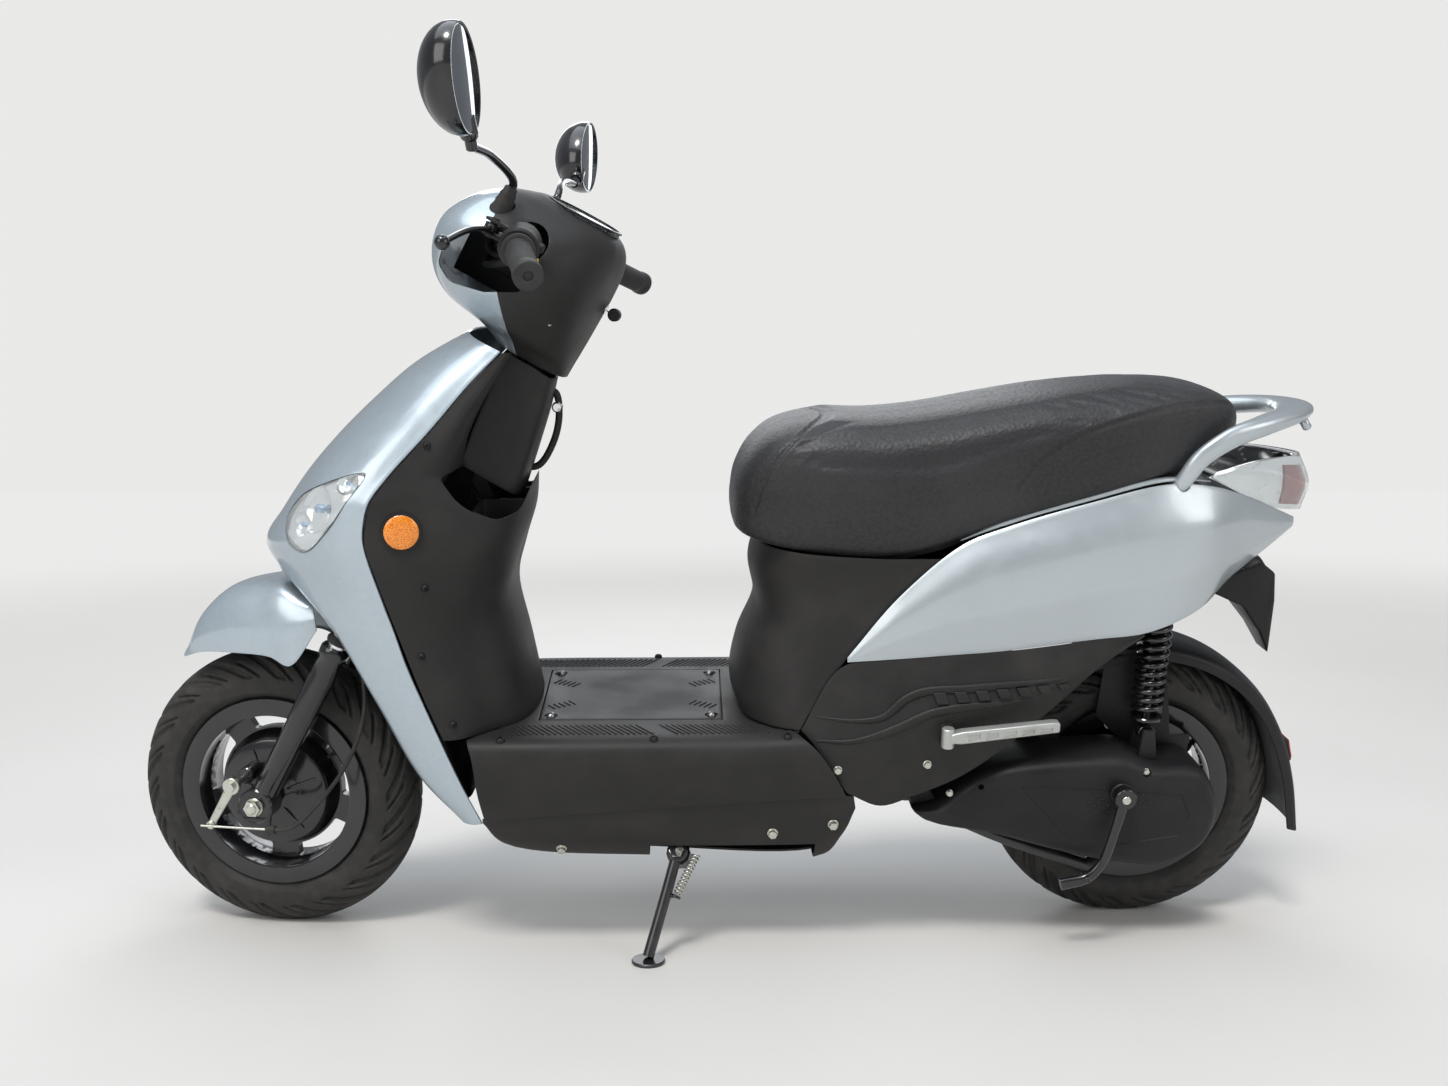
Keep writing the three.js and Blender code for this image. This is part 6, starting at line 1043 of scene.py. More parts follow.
def nacelle(inset):
    rings = []
    stations = spline(NACELLE_SHARES, 7)
    for k, (along, ahead, behind, half) in enumerate(stations):
        rise = along * NACELLE_HIGH + (inset if k == 0 else -inset if k == len(stations) - 1 else 0)
        low, high = ahead * NACELLE_LONG + inset, behind * NACELLE_LONG - inset
        wide = half * NACELLE_WIDE - inset
        ring = []
        for i in range(72):
            angle = 2 * math.pi * i / 72
            c, s = math.cos(angle), math.sin(angle)
            across = (low + high) / 2 + math.copysign(abs(c) ** 0.72, c) * (high - low) / 2
            ring.append(head_at(across, math.copysign(abs(s) ** 0.72, s) * wide, rise))
        rings.append(ring)
    return loft("nacelle", rings)


def oval(name, grow, low, high, ease=0.01):
    disc = lathe(name, [(0, 0), (1 - ease / 60, 0), (1, ease / 12), (1, 1 - ease / 12),
        (1 - ease / 60, 1), (0, 1)], (0, 0, 0), (0, 0, 1), 96)
    turn = Vector((0, 0, 1)).rotation_difference(STEER_AXIS).to_matrix().to_4x4()
    disc.data.transform(Matrix.Translation(DASH) @ turn @ Matrix.Translation((0, 0, low))
                        @ Matrix.Diagonal((52 + grow, 60 + grow, high - low, 1)))
    return outward(disc)


# A dark box and leads fill the inside of the covers. The thin dark web across the middle is a sheet that stands in
# for the shade seen through the lever windows.
wiring = [head_block("box", (-92, -46), (-36, 36), (-44, 46), 5),
    head_block("web", (-134, -18), (-2, 2), (-72, 42), 0.8)]
for side in (-1, 1):
    for k in range(3):
        wiring.append(tube("lead", [head_at(-70 - 9 * k, side * 30, 30 - 24 * k),
            head_at(-92 + 6 * k, side * 62, 6 - 22 * k), head_at(-60, side * 96, -6 - 12 * k),
            head_at(-34, side * 128, 4 - 9 * k)], 3.6 + 0.6 * k, 8, 20))
fit(merge("wiring_box", *wiring), "handlebar", DARK, steer, hides=False)
cover, hollow = nacelle(0), nacelle(3)
bake(cut(cover, hollow))
window_outline = [tuple(p) for p in spline([(BAR.x + a * NACELLE_LONG + 8,
    BAR.z + b * NACELLE_HIGH) for a, b in WINDOW_SHARES], 1)]
openings = [bake(soften(prism("window", window_outline, y0, y1), 7, 4, 20)) for y0,
    y1 in ((-160, -85), (85, 160))]
openings += [bar("hole", head_at(-24, s * 75, 18), head_at(-24, s * 165, 18), 26.2, 40,
    0.01) for s in (-1, 1)]
openings += [bar("hole", mirror_foot(s), mirror_foot(s) + STEER_AXIS * 70, 14.4, 40, 0.01) for s in (-1, 1)]
openings.append(bar("hole", head_at(0, 0, -143), head_at(0, 0, -65), 21, 48, 0.01))
openings = [bake(o) for o in openings]
key_across = NACELLE_LONG * 0.44
key_at = head_at(key_across, 36, -26)
rear_only = [oval("well", 0.7, -6.3, 24), bake(bar("hole", key_at - STEER_ACROSS * 12,
    key_at + STEER_ACROSS * 12, 10, 36, 0.01))]
ahead_box = bake(block("ahead", (SPLIT_X - 500, -400, 500), (SPLIT_X - 0.35, 400, 1300), 0.001, 1))
behind_box = bake(block("behind", (SPLIT_X + 0.35, -400, 500), (SPLIT_X + 500, 400, 1300), 0.001, 1))
front = cover.copy()
front.data = cover.data.copy()
scene.collection.objects.link(front)
front.name = "handlebar_cover_front"
cut(front, ahead_box, operation="INTERSECT")
bake(cut(front, *openings))
fit(soften(front, 0.9, 2, 50), "handlebar_front_cover", PEARL, steer, 32)
cover.name = "handlebar_cover_rear"
cut(cover, behind_box, operation="INTERSECT")
bake(cut(cover, *openings, *rear_only))
fit(soften(cover, 0.9, 2, 50), "handlebar_rear_cover", GRAINED, steer, 32)
scrap(hollow, *openings, *rear_only, ahead_box, behind_box)


def dash_face():
    face = Finish("dash_face")
    flat = face.place()
    parts = face.node("ShaderNodeSeparateXYZ", None, [flat])
    across, side = Value(face, parts.outputs[0]), Value(face, parts.outputs[1])
    marks = None
    for centre, radius in ((0.0, 0.025), (-0.030, 0.012), (0.030, 0.012)):
        far = ((side - centre) ** 2 + across ** 2) ** 0.5
        ring = far.above(radius, 0.001) * (1 - far.above(radius + 0.0025, 0.001))
        marks = ring if marks is None else marks + ring
    tone = face.mix(marks, face.mix(face.noise(30, 3) * 0.4, (0.012, 0.013, 0.015), (0.03, 0.032, 0.036)),
        (0.55, 0.57, 0.6))
    return face.surface(Base_Color=tone, Roughness=marks * -0.1 + 0.4)


def clear(name, tint=(0.93, 0.96, 0.97), roughness=0.02, through=0.9):
    lens = Finish(name)
    haze = lens.noise(16, 4).above(0.55, 0.4)
    fine = lens.bump(lens.noise(90, 2), 0.0002, 0.06)
    tone = lens.mix(haze * 0.35, tint, tuple(c * 0.88 for c in tint))
    return lens.surface(Base_Color=tone, Roughness=haze * 0.05 + roughness, IOR=1.45,
        Transmission_Weight=through, Coat_Weight=haze * -0.2 + 0.4, Normal=fine)


DASH_GLASS = clear("dash_glass", (0.75, 0.80, 0.84))
lens = oval("dash_glass_cover", -0.4, -2.4, 0.0, 3)
fit(lens, "dash_panel", DASH_GLASS, steer)
dial = oval("dash_dial", -0.6, -6, -3.2)
turned = fit(dial, "dash_panel", DARK, steer, hides=False)
middle = steer @ DASH * MM
dial_turn = (steer.to_3x3() @ Vector((0, 0, 1)).rotation_difference(STEER_AXIS).to_matrix()).to_euler()
face = dash_face()
for node in face.node_tree.nodes:
    if node.type == "MAPPING":
        node.inputs["Location"].default_value = middle
        node.inputs["Rotation"].default_value = dial_turn
turned.data.materials[0] = face
bezel = oval("bezel_out", 1.5, -2, 1.6, 2)
inner = oval("bezel_in", -3.5, -9, 9)
bake(cut(bezel, inner))
scrap(inner)
bezel.name = "dash_bezel"
fit(soften(bezel, 0.5, 2, 50), "handlebar_rear_cover", BUTTON, steer, hides=False)

# Ignition switch: a chromed barrel in the rear cover with the key in it, its bow moulded in black.
barrel = bar("barrel", key_at - STEER_ACROSS * 9, key_at + STEER_ACROSS * 1.5, 9, 40, 1)
blade = head_block("blade", (key_across + 1, key_across + 14), (33, 39), (-27.2, -24.8), 0.3)
fit(merge("ignition_barrel", barrel, blade), "ignition_key", CHROME, steer)
bow_at = key_at + STEER_ACROSS * 14
bow = bar("key_bow", bow_at + Vector((0, -6, 0)), bow_at + Vector((0, 6, 0)), 9, 40, 2)
bow.name = "key_bow"
fit(bow, "ignition_key", BUTTON, steer, hides=False)
scatter("cover_screws", SCREW, [(head_at(38, -96, -62), Vector((0.3, -1, 0.1))),
    (head_at(38, 96, -62), Vector((0.3, 1, 0.1)))], 4.2, ZINC, "handlebar_rear_cover", steer)

# Front cowl: the painted shell of the front from its collar down over the nose to the feet of the leg
# shields, one moulding screwed to the inner shield, with an opening for each headlight.
COWL_SHARES = [[[0.882, -0.513, 0.966], [0.833, -0.482, 0.983], [0.792, -0.379, 0.994],
    [0.762, -0.205, 1], [0.748, 0, 1]], [[0.787, -0.641, 0.894], [0.715, -0.6, 0.913],
    [0.645, -0.472, 0.924], [0.59, -0.256, 0.924], [0.562, 0, 0.918]],
    [[0.667, -0.795, 0.789], [0.583, -0.759, 0.806], [0.507, -0.605, 0.822], [0.45, -0.333, 0.831],
    [0.425, 0, 0.831]], [[0.542, -0.923, 0.687], [0.465, -0.882, 0.704], [0.383, -0.718, 0.723],
    [0.328, -0.4, 0.74], [0.305, 0, 0.744]], [[0.48, -0.985, 0.624], [0.395, -0.938, 0.636],
    [0.295, -0.769, 0.647], [0.225, -0.436, 0.651], [0.193, 0, 0.649]],
    [[0.463, -1, 0.577], [0.37, -0.954, 0.569], [0.253, -0.779, 0.56], [0.14, -0.451, 0.552],
    [0.095, 0, 0.546]], [[0.458, -1, 0.526], [0.36, -0.954, 0.507], [0.235, -0.779, 0.488],
    [0.087, -0.441, 0.472], [0.025, 0, 0.463]], [[0.505, -0.979, 0.38], [0.395, -0.923, 0.385],
    [0.275, -0.769, 0.389], [0.145, -0.462, 0.392], [0.065, -0.154, 0.392]],
    [[0.535, -0.964, 0.302], [0.44, -0.928, 0.294], [0.338, -0.826, 0.288], [0.3, -0.718, 0.287],
    [0.295, -0.636, 0.287]], [[0.568, -0.944, 0.207], [0.475, -0.913, 0.207], [0.385, -0.831, 0.207],
    [0.365, -0.728, 0.207], [0.365, -0.636, 0.207]],
    [[0.632, -0.913, 0.063], [0.552, -0.892, 0.063], [0.477, -0.831, 0.063], [0.455, -0.728, 0.063],
    [0.458, -0.626, 0.063]], [[0.72, -0.882, -0.118], [0.65, -0.862, -0.118], [0.593, -0.815, -0.118],
    [0.57, -0.728, -0.118], [0.575, -0.626, -0.118]],
    [[0.785, -0.862, -0.233], [0.75, -0.846, -0.237], [0.72, -0.81, -0.237], [0.708, -0.749, -0.235],
    [0.71, -0.677, -0.233]],]
LAMP_SHARES = [
    [0.47, -0.769, 0.691], [0.333, -0.59, 0.662], [0.22, -0.462, 0.609], [0.163, -0.41, 0.545],
    [0.18, -0.487, 0.501], [0.245, -0.641, 0.486], [0.345, -0.769, 0.556], [0.405, -0.795, 0.62],
]
COWL_CORE = Vector((-948, 0, 610))


def front_at(a, b, c):
    return Vector((-WHEELBASE + a * FRONT_SPAN, b * COWL_HALF, DECK_HEIGHT + c * COWL_RISE))


def rows_of(shares, at):
    return [[at(*p) for p in row] for row in shares]


def reflected(obj, name=None):
    """The same solid on the right hand side."""
    other = bake(obj).copy()
    other.data = obj.data.copy()
    other.name = name or obj.name
    other.data.transform(Matrix.Diagonal((1, -1, 1, 1)))
    other.data.flip_normals()
    scene.collection.objects.link(other)
    return other


def whole(obj):
    """A left half joined to its reflection across the centre plane."""
    other = reflected(bake(obj))
    bake(cut(obj, other, operation="UNION"))
    scrap(other)
    return obj


def drop(obj, point, way):
    """Where a line from a point first meets a mesh, and the direction out of it there."""
    tree = BVHTree.FromPolygons([v.co for v in obj.data.vertices], [p.vertices for p in obj.data.polygons])
    spot, normal, _, _ = tree.ray_cast(Vector(point), Vector(way))
    return spot, normal


def round_outline(shares, at, grow, steps=6):
    """A smooth closed outline in X and Z through shared points, grown from its middle."""
    points = [at(a, 0, c) for a, _, c in shares]
    middle = sum(points, Vector()) / len(points)
    points = [middle + (p - middle) * (1 + grow / (p - middle).length) for p in points]
    return [(p[0], p[2]) for p in spline(points[-2:] + points + points[:2], steps)[2 * steps:-steps - 1]]


cowl_rows = rows_of(COWL_SHARES, front_at)
lamp_hole = prism("lamp_hole", round_outline(LAMP_SHARES, front_at, 0.7), -200, -54)
cowl = whole(panel("front_cowl_shell", cowl_rows, COWL_CORE, 3, 8, 8, ease=0, half=True))
lamp_hole_right = reflected(bake(lamp_hole))
bake(cut(cowl, lamp_hole, lamp_hole_right))
scrap(lamp_hole, lamp_hole_right)
fit(soften(cowl, 0.9, 2, 50), "front_cowl", PEARL, sharp=42)

# Headlights: a clear polycarbonate lens flush in the cowl over a chromed reflector with a large bowl
# and a small blue-tinted one for the turn signal, glued into a housing.
LENS = clear("clear_lens")
REFLECTOR = bright_metal("vacuum_chrome", (0.86, 0.87, 0.88), 0.05, 0, (0.6, 0.6, 0.6))
BLUE = bright_metal("blue_chrome", (0.30, 0.46, 0.66), 0.08, 0, (0.3, 0.4, 0.6))
keep = prism("keep", round_outline(LAMP_SHARES, front_at, -0.7), -200, -54)
lens = panel("lens", cowl_rows, COWL_CORE, 4, 8, 8, sink=-1, ease=0, half=True)
bake(cut(lens, keep, operation="INTERSECT"))
housing_keep = prism("keep", round_outline(LAMP_SHARES, front_at, -2.4), -200, -54)
housing = panel("housing", cowl_rows, COWL_CORE, 22, 8, 8, sink=5.5, ease=0, half=True)
bake(cut(housing, housing_keep, operation="INTERSECT"))
cavities = []
for share, size, deep in (((0.285, -0.62, 0.600), 33, 17), ((0.225, -0.50, 0.553), 17, 12),
    ((0.405, -0.80, 0.672), 17, 10)):
    centre, outwards = drop(lens, front_at(share[0], -1.6, share[2]), (0, 1, 0))
    ball = lathe("bowl", [(math.sin(a), -math.cos(a)) for a in np.linspace(0, math.pi, 25)], (0, 0, 0),
        (0, 0, 1), 48)
    ball.data.transform(Matrix.Translation(centre - outwards * 4) @ Vector((0, 0,
        1)).rotation_difference(outwards).to_matrix().to_4x4() @ Matrix.Diagonal((size, size, deep, 1)))
    cavities.append((bake(ball), centre, outwards, size, deep))
bake(cut(housing, *[c[0] for c in cavities]))
bulbs = []
for ball, centre, outwards, size, deep in cavities:
    foot = centre - outwards * (deep + 2.5)
    bulbs.append(bar("bulb", foot, foot + outwards * deep * 0.7, size * 0.17, 28, size * 0.07))
bulb_set = merge("headlight_bulbs_left", *bulbs)
scrap(keep, housing_keep, *[c[0] for c in cavities])
for word in ("left", "right"):
    pieces = (lens, housing, bulb_set) if word == "left" else (reflected(lens),
        reflected(housing), reflected(bulb_set))
    if word == "left":
        pieces = tuple(p.copy() for p in pieces)
        for piece, source in zip(pieces, (lens, housing, bulb_set)):
            piece.data = source.data.copy()
            scene.collection.objects.link(piece)
    for piece, kind, finish in zip(pieces, ("lens", "reflector", "bulbs"), (LENS, REFLECTOR, BLUE)):
        piece.name = f"headlight_{kind}_{word}"
        fit(soften(piece, 0.5, 2, 50) if kind == "lens" else piece, f"headlight_{word}", finish,
            hides=kind == "lens")
scrap(lens, housing, bulb_set)

# Inner leg shield: the grained black moulding behind the cowl, with a pocket each side of the column
# and an amber reflector stuck low on each flank. Pan head screws hold its edges.
SHIELD_SHARES = [[[0.887, -0.503, 0.962], [0.905, -0.477, 0.96], [0.91, -0.421, 0.956],
    [0.907, -0.349, 0.954], [0.905, -0.287, 0.953]],
    [[0.792, -0.631, 0.892], [0.84, -0.605, 0.89], [0.858, -0.513, 0.89], [0.855, -0.41, 0.89],
    [0.85, -0.318, 0.89]], [[0.672, -0.785, 0.787], [0.745, -0.749, 0.791], [0.782, -0.641, 0.795],
    [0.79, -0.487, 0.799], [0.782, -0.354, 0.803]],
    [[0.547, -0.913, 0.685], [0.645, -0.862, 0.679], [0.708, -0.744, 0.679], [0.725, -0.574, 0.679],
    [0.733, -0.421, 0.679]], [[0.485, -0.974, 0.624], [0.645, -0.892, 0.636], [0.84, -0.697, 0.564],
    [0.927, -0.472, 0.579], [0.965, 0, 0.655]], [[0.463, -0.99, 0.526], [0.62, -0.938, 0.526],
    [0.807, -0.769, 0.484], [0.915, -0.487, 0.507], [0.955, 0, 0.545]],
    [[0.487, -0.979, 0.446], [0.62, -0.938, 0.436], [0.77, -0.769, 0.408], [0.882, -0.487, 0.412],
    [0.907, 0, 0.436]], [[0.543, -0.954, 0.302], [0.632, -0.913, 0.294], [0.745, -0.744, 0.294],
    [0.853, -0.462, 0.313], [0.875, 0, 0.323]], [[0.614, -0.913, 0.123], [0.682, -0.882, 0.123],
    [0.782, -0.718, 0.133], [0.89, -0.462, 0.152], [0.917, 0, 0.161]],
    [[0.672, -0.887, 0.002], [0.72, -0.867, 0.002], [0.807, -0.718, 0.002], [0.92, -0.487, 0.002],
    [0.96, 0, 0.002]],]
POCKET_SHARES = [[0.64, 0.677], [1.0, 0.677], [0.99, 0.645], [0.955, 0.613], [0.925, 0.562],
    [0.86, 0.553], [0.66, 0.640]]
SHIELD_CORE = Vector((-1028, 0, 567))
shield_rows = rows_of(SHIELD_SHARES, front_at)
shield = panel("inner_shield", shield_rows, SHIELD_CORE, 3, 8, 6, ease=0, corners=(3, 4), half=True)
mouth = [(front_at(a, 0, c).x, front_at(a, 0, c).z) for a, c in POCKET_SHARES]
mouth = bake(soften(prism("mouth", mouth, -156, 60), 9, 4, 30))
bin_low, bin_high = Vector((-938, -195, 590)), Vector((-848, -36, 645.4))
pocket = bake(block("pocket", bin_low, bin_high, 0.001, 1))
room = bake(block("room", bin_low + Vector((3, -6, 3)), bin_high + Vector((6, -3, 6)), 6, 3))
beyond = panel("beyond", shield_rows, SHIELD_CORE, 101.5, 4, 3, sink=-100, ease=0, corners=(3, 4), half=True)
bake(cut(pocket, room, beyond))
bake(cut(shield, mouth))
bake(cut(shield, pocket, operation="UNION"))
scrap(mouth, pocket, room, beyond)
whole(shield)
flank = [drop(shield, (x, -320, z), (0, 1, 0)) for x,
    z in ((-1001, 467), (-966, 368), (-984, 742), (-992, 560))]
amber_at, amber_out = drop(shield, (-1017, -320, 636), (0, 1, 0))
shield_screws = flank + [(Vector((p.x, -p.y, p.z)), Vector((n.x, -n.y, n.z))) for p, n in flank]
fit(soften(shield, 0.9, 2, 50), "inner_leg_shield", GRAINED, sharp=42)
scatter("shield_screws", SCREW, shield_screws, 5, DARK, "inner_leg_shield")


def reflex(name, colour, deep):
    """Moulded prisms behind a clear coloured face, with a faint painted glow in their own colour."""
    lens = Finish(name)
    prisms = lens.cells(420, lens.place(size=(1, 1, 1.2)), "DISTANCE_TO_EDGE")
    tone = lens.mix(prisms * 3.2, deep, colour)
    return lens.surface(Base_Color=tone, Roughness=prisms * 0.3 + 0.1, Coat_Weight=prisms * -0.5 + 1,
                        Normal=lens.bump(prisms, 0.0006, 0.8), Emission_Color=tone, Emission_Strength=0.12)


AMBER = reflex("amber_reflex", (0.95, 0.33, 0.02), (0.55, 0.13, 0.0))
RED = reflex("red_reflex", (0.75, 0.03, 0.02), (0.32, 0.0, 0.0))
for side in (-1, 1):
    centre = Vector((amber_at.x, side * abs(amber_at.y), amber_at.z))
    out = Vector((amber_out.x, side * abs(amber_out.y), amber_out.z))
    word = "left" if side < 0 else "right"
    cup = bar(f"amber_cup_{word}", centre - out * 1, centre + out, 0, 64,
        ends=[(0, -1.5), (24.6, -1.5), (25.4, 4), (24.8, 5.2), (22.8, 5.2), (22.4, 3.4), (0, 3.4)])
    fit(cup, "inner_leg_shield", DARK, hides=False)
    disc = bar(f"amber_disc_{word}", centre - out * 1, centre + out, 0, 64,
        ends=[(0, 3.6), (22, 3.6), (22, 5), (20.4, 6.4), (12, 7.4), (0, 7.7)])
    fit(disc, "inner_leg_shield", AMBER, hides=False)

# Steering column cover: a grained shell standing proud behind the shield, with a bent hook for a bag,
# and the dark liner of the wheel arch between the two legs.
COLUMN_SHARES = [
    [[0.897, -0.267, 0.948], [0.97, -0.256, 0.916], [1.025, -0.215, 0.886], [1.042, 0, 0.878]],
    [[0.848, -0.297, 0.886], [0.927, -0.282, 0.844], [0.998, -0.236, 0.812], [1.018, 0, 0.805]],
    [[0.787, -0.338, 0.791], [0.877, -0.308, 0.746], [0.955, -0.256, 0.712], [0.975, 0, 0.704]],
    [[0.728, -0.39, 0.677], [0.823, -0.344, 0.626], [0.897, -0.287, 0.59], [0.92, 0, 0.581]],
]
HOOK_SHARES = [[0.995, 0.84], [1.032, 0.838], [1.043, 0.778], [1.02, 0.705], [0.968, 0.645], [0.915, 0.64]]
ARCH_SHARES = [[[0.282, -0.6, 0.408], [0.495, -0.595, 0.436], [0.682, -0.574, 0.465],
    [0.745, -0.308, 0.476], [0.757, 0, 0.478]], [[0.32, -0.6, 0.304], [0.495, -0.595, 0.309],
    [0.657, -0.574, 0.317], [0.725, -0.308, 0.321], [0.74, 0, 0.323]],
    [[0.385, -0.6, 0.207], [0.52, -0.595, 0.199], [0.632, -0.574, 0.19], [0.682, -0.308, 0.18],
    [0.695, 0, 0.176]], [[0.48, -0.595, 0.063], [0.57, -0.59, 0.047], [0.63, -0.574, 0.028],
    [0.66, -0.308, 0.013], [0.67, 0, 0.009]], [[0.69, -0.605, -0.203], [0.7, -0.595, -0.205],
    [0.715, -0.574, -0.209], [0.725, -0.308, -0.214], [0.73, 0, -0.216]],]
column = panel("column_shell", both_sides(rows_of(COLUMN_SHARES, front_at)), COWL_CORE, 3, 8, 8)
hook = tube("hook", [front_at(a, 0, c) for a, c in HOOK_SHARES], 4.9, 20, 10)
fit(merge("column_shell", column, hook), "column_cover", GRAINED)
knob = bar("hook_catch", front_at(1.038, 0, 0.80) + Vector((0, -7, 0)),
    front_at(1.038, 0, 0.80) + Vector((0, 7, 0)), 7.5, 32, 2)
knob.name = "hook_catch"
fit(knob, "column_cover", CHROME, hides=False)
liner = panel("arch_liner_shell", both_sides(rows_of(ARCH_SHARES, front_at)), Vector((0, 0, DECK_HEIGHT)),
    3, 7, 7)
fit(liner, "front_arch_liner", DARK)

# Floorboard: one black moulding with rolled edges and skirts, a lid over the battery held by four
# screws, and slanted ridges for the feet in the strips along both sides.
FLOOR_SHARES = [[[0.055, -0.901, 0.652], [0.042, -0.956, 0.777], [0.032, -0.984, 0.933],
    [0.021, -0.934, 0.983], [0.009, -0.659, 1], [0.004, 0, 1]],
    [[0.228, -0.907, 0.672], [0.228, -0.967, 0.797], [0.228, -1, 0.933], [0.228, -0.945, 0.986],
    [0.228, -0.659, 1], [0.228, 0, 1]], [[0.493, -0.912, 0.701], [0.493, -0.973, 0.817],
    [0.493, -1, 0.93], [0.493, -0.945, 0.986], [0.493, -0.659, 1], [0.493, 0, 1]],
    [[0.759, -0.923, 0.73], [0.755, -0.978, 0.835], [0.748, -1, 0.933], [0.74, -0.945, 0.988],
    [0.731, -0.659, 1], [0.721, 0, 1]], [[0.987, -0.934, 0.754], [0.958, -0.978, 0.846],
    [0.907, -0.989, 0.962], [0.873, -0.923, 1], [0.844, -0.659, 1], [0.835, 0, 1]],]
DECK_CORE = Vector((-624, 0, 172))
LID = (-861, -605, 102)


def deck_at(a, b, c):
    return Vector((DECK_FRONT + a * DECK_LONG, b * DECK_HALF, c * DECK_HEIGHT))


floor_rows = both_sides(rows_of(FLOOR_SHARES, deck_at))
board = panel("floorboard_moulding", floor_rows, DECK_CORE, 3, 6, 10, ease=0)
ledge = block("ledge", (LID[0] - 10, -LID[2] - 10, 337), (LID[1] + 10, LID[2] + 10, 343.5), 0.001, 1)
well = block("well", (LID[0], -LID[2], 341), (LID[1], LID[2], 352), 0.001, 1)
mouth = block("mouth", (LID[0] + 10, -LID[2] + 10, 329), (LID[1] - 10, LID[2] - 10, 352), 0.001, 1)
tools = [bake(o) for o in (ledge, well, mouth)]
bake(cut(board, tools[0], operation="UNION"))
bake(cut(board, *tools[1:]))
scrap(*tools)
strip_spots = [drop(board, (x, y, 420), (0, 0, -1)) for y in (-165, 165) for x in (-905, -700, -520)]
ridge_places = []
for side in (-1, 1):
    for k in range(50):
        x = -902 + k * 8.2
        spot, normal = drop(board, (x, side * 134, 420), (0, 0, -1))
        if spot is not None and all(abs(x - s) > 12 for s in (-700,)):
            ridge_places.append((spot - Vector((0, 0, 0.2)),
                Vector((0.75, side * 1.0, 0)) - normal * Vector((0.75, side * 1.0, 0)).dot(normal)))
fit(soften(board, 1.0, 2, 50), "floorboard", GRAINED, sharp=42)
ridge = bar("ridge", (0, 0, -21), (0, 0, 21), 1.5, 12, 1.0)
ridge.hide_render = True
scatter("floor_ridges", bake(ridge), ridge_places, 1, GRAINED, "floorboard", spin=0)
scatter("strip_screws", SCREW, strip_spots, 6, DARK, "floorboard")

lid = block("lid", (LID[0] + 1.2, -LID[2] + 1.2, 341.35), (LID[1] - 1.2, LID[2] - 1.2, 346), 1.6, 3)
dishes = [bar("dish", (x, y, 344.4), (x, y, 350), 9.5, 40, 0.01) for x in (-845, -621) for y in (-85, 85)]
panel_dip = soften(block("dip", (LID[0] + 38, -62, 345.2), (LID[1] - 38, 62, 350), 0.001, 1), 18, 5, 40)
bake(cut(bake(lid), *[bake(d) for d in dishes], bake(panel_dip)))
scrap(*dishes, panel_dip)
lid.name = "battery_lid_plate"
fit(soften(lid, 0.4, 2, 50), "battery_lid", GRAINED)
scatter("lid_screws", SCREW, [(Vector((x, y, 344.6)), Vector((0, 0, 1))) for x in (-845,
    -621) for y in (-85, 85)], 6.5, STEEL, "battery_lid")
corner_ridges = []
for sx in (0, 1):
    for side in (-1, 1):
        for k in range(5):
            x = (LID[0] + 14 + k * 7) if sx == 0 else (LID[1] - 14 - k * 7)
            corner_ridges.append((Vector((x, side * (52 - k * 4), 345.9)),
                Vector(((1 if sx == 0 else -1) * 0.75, side, 0))))
small_ridge = bar("small_ridge", (0, 0, -9), (0, 0, 9), 1.2, 12, 0.8)
small_ridge.hide_render = True
scatter("lid_ridges", bake(small_ridge), corner_ridges, 1, GRAINED, "battery_lid", spin=0)

# Belly pan: the black moulding that closes the floor from below, cut out round the side stand and
# bolted up with zinc-plated flange bolts.
BELLY_SHARES = [[[0.049, -0.886, 0.648], [0.046, -0.824, 0.623], [0.042, -0.687, 0.603],
    [0.038, -0.33, 0.594], [0.038, 0, 0.594]], [[0.08, -0.886, 0.6525], [0.091, -0.824, 0.551],
    [0.099, -0.687, 0.499], [0.102, -0.33, 0.487], [0.102, 0, 0.487]],
    [[0.493, -0.898, 0.698], [0.493, -0.835, 0.522], [0.493, -0.687, 0.441], [0.493, -0.33, 0.432],
    [0.493, 0, 0.432]], [[0.93, -0.913, 0.745], [0.937, -0.835, 0.536], [0.945, -0.687, 0.441],
    [0.949, -0.33, 0.429], [0.949, 0, 0.429]], [[0.983, -0.915, 0.75], [0.987, -0.835, 0.58],
    [0.987, -0.687, 0.528], [0.987, -0.33, 0.519], [0.987, 0, 0.519]],
    [[1.009, -0.907, 0.748], [1.017, -0.846, 0.681], [1.021, -0.687, 0.667], [1.025, -0.33, 0.661],
    [1.025, 0, 0.661]],]
belly = panel("belly_moulding", both_sides(rows_of(BELLY_SHARES, deck_at)), DECK_CORE, 3, 6, 9, ease=0)
window = bake(soften(block("window", (-708, -182, 0), (-478, -91, 180), 0.001, 1), 8, 3, 40))
bake(cut(belly, window))
scrap(window)
belly_bolts = [drop(belly, (x, -260, z), (0, 1, 0)) for x, z in ((-829, 176), (-538, 201), (-455, 214))]
belly_bolts = [(p, n) for p, n in belly_bolts if p is not None]
belly_bolts += [(Vector((p.x, -p.y, p.z)), Vector((n.x, -n.y, n.z))) for p, n in belly_bolts]
fit(soften(belly, 1.0, 2, 50), "belly_pan", GRAINED, sharp=42)
scatter("belly_bolts", BOLT, belly_bolts, 7.5, ZINC, "belly_pan")

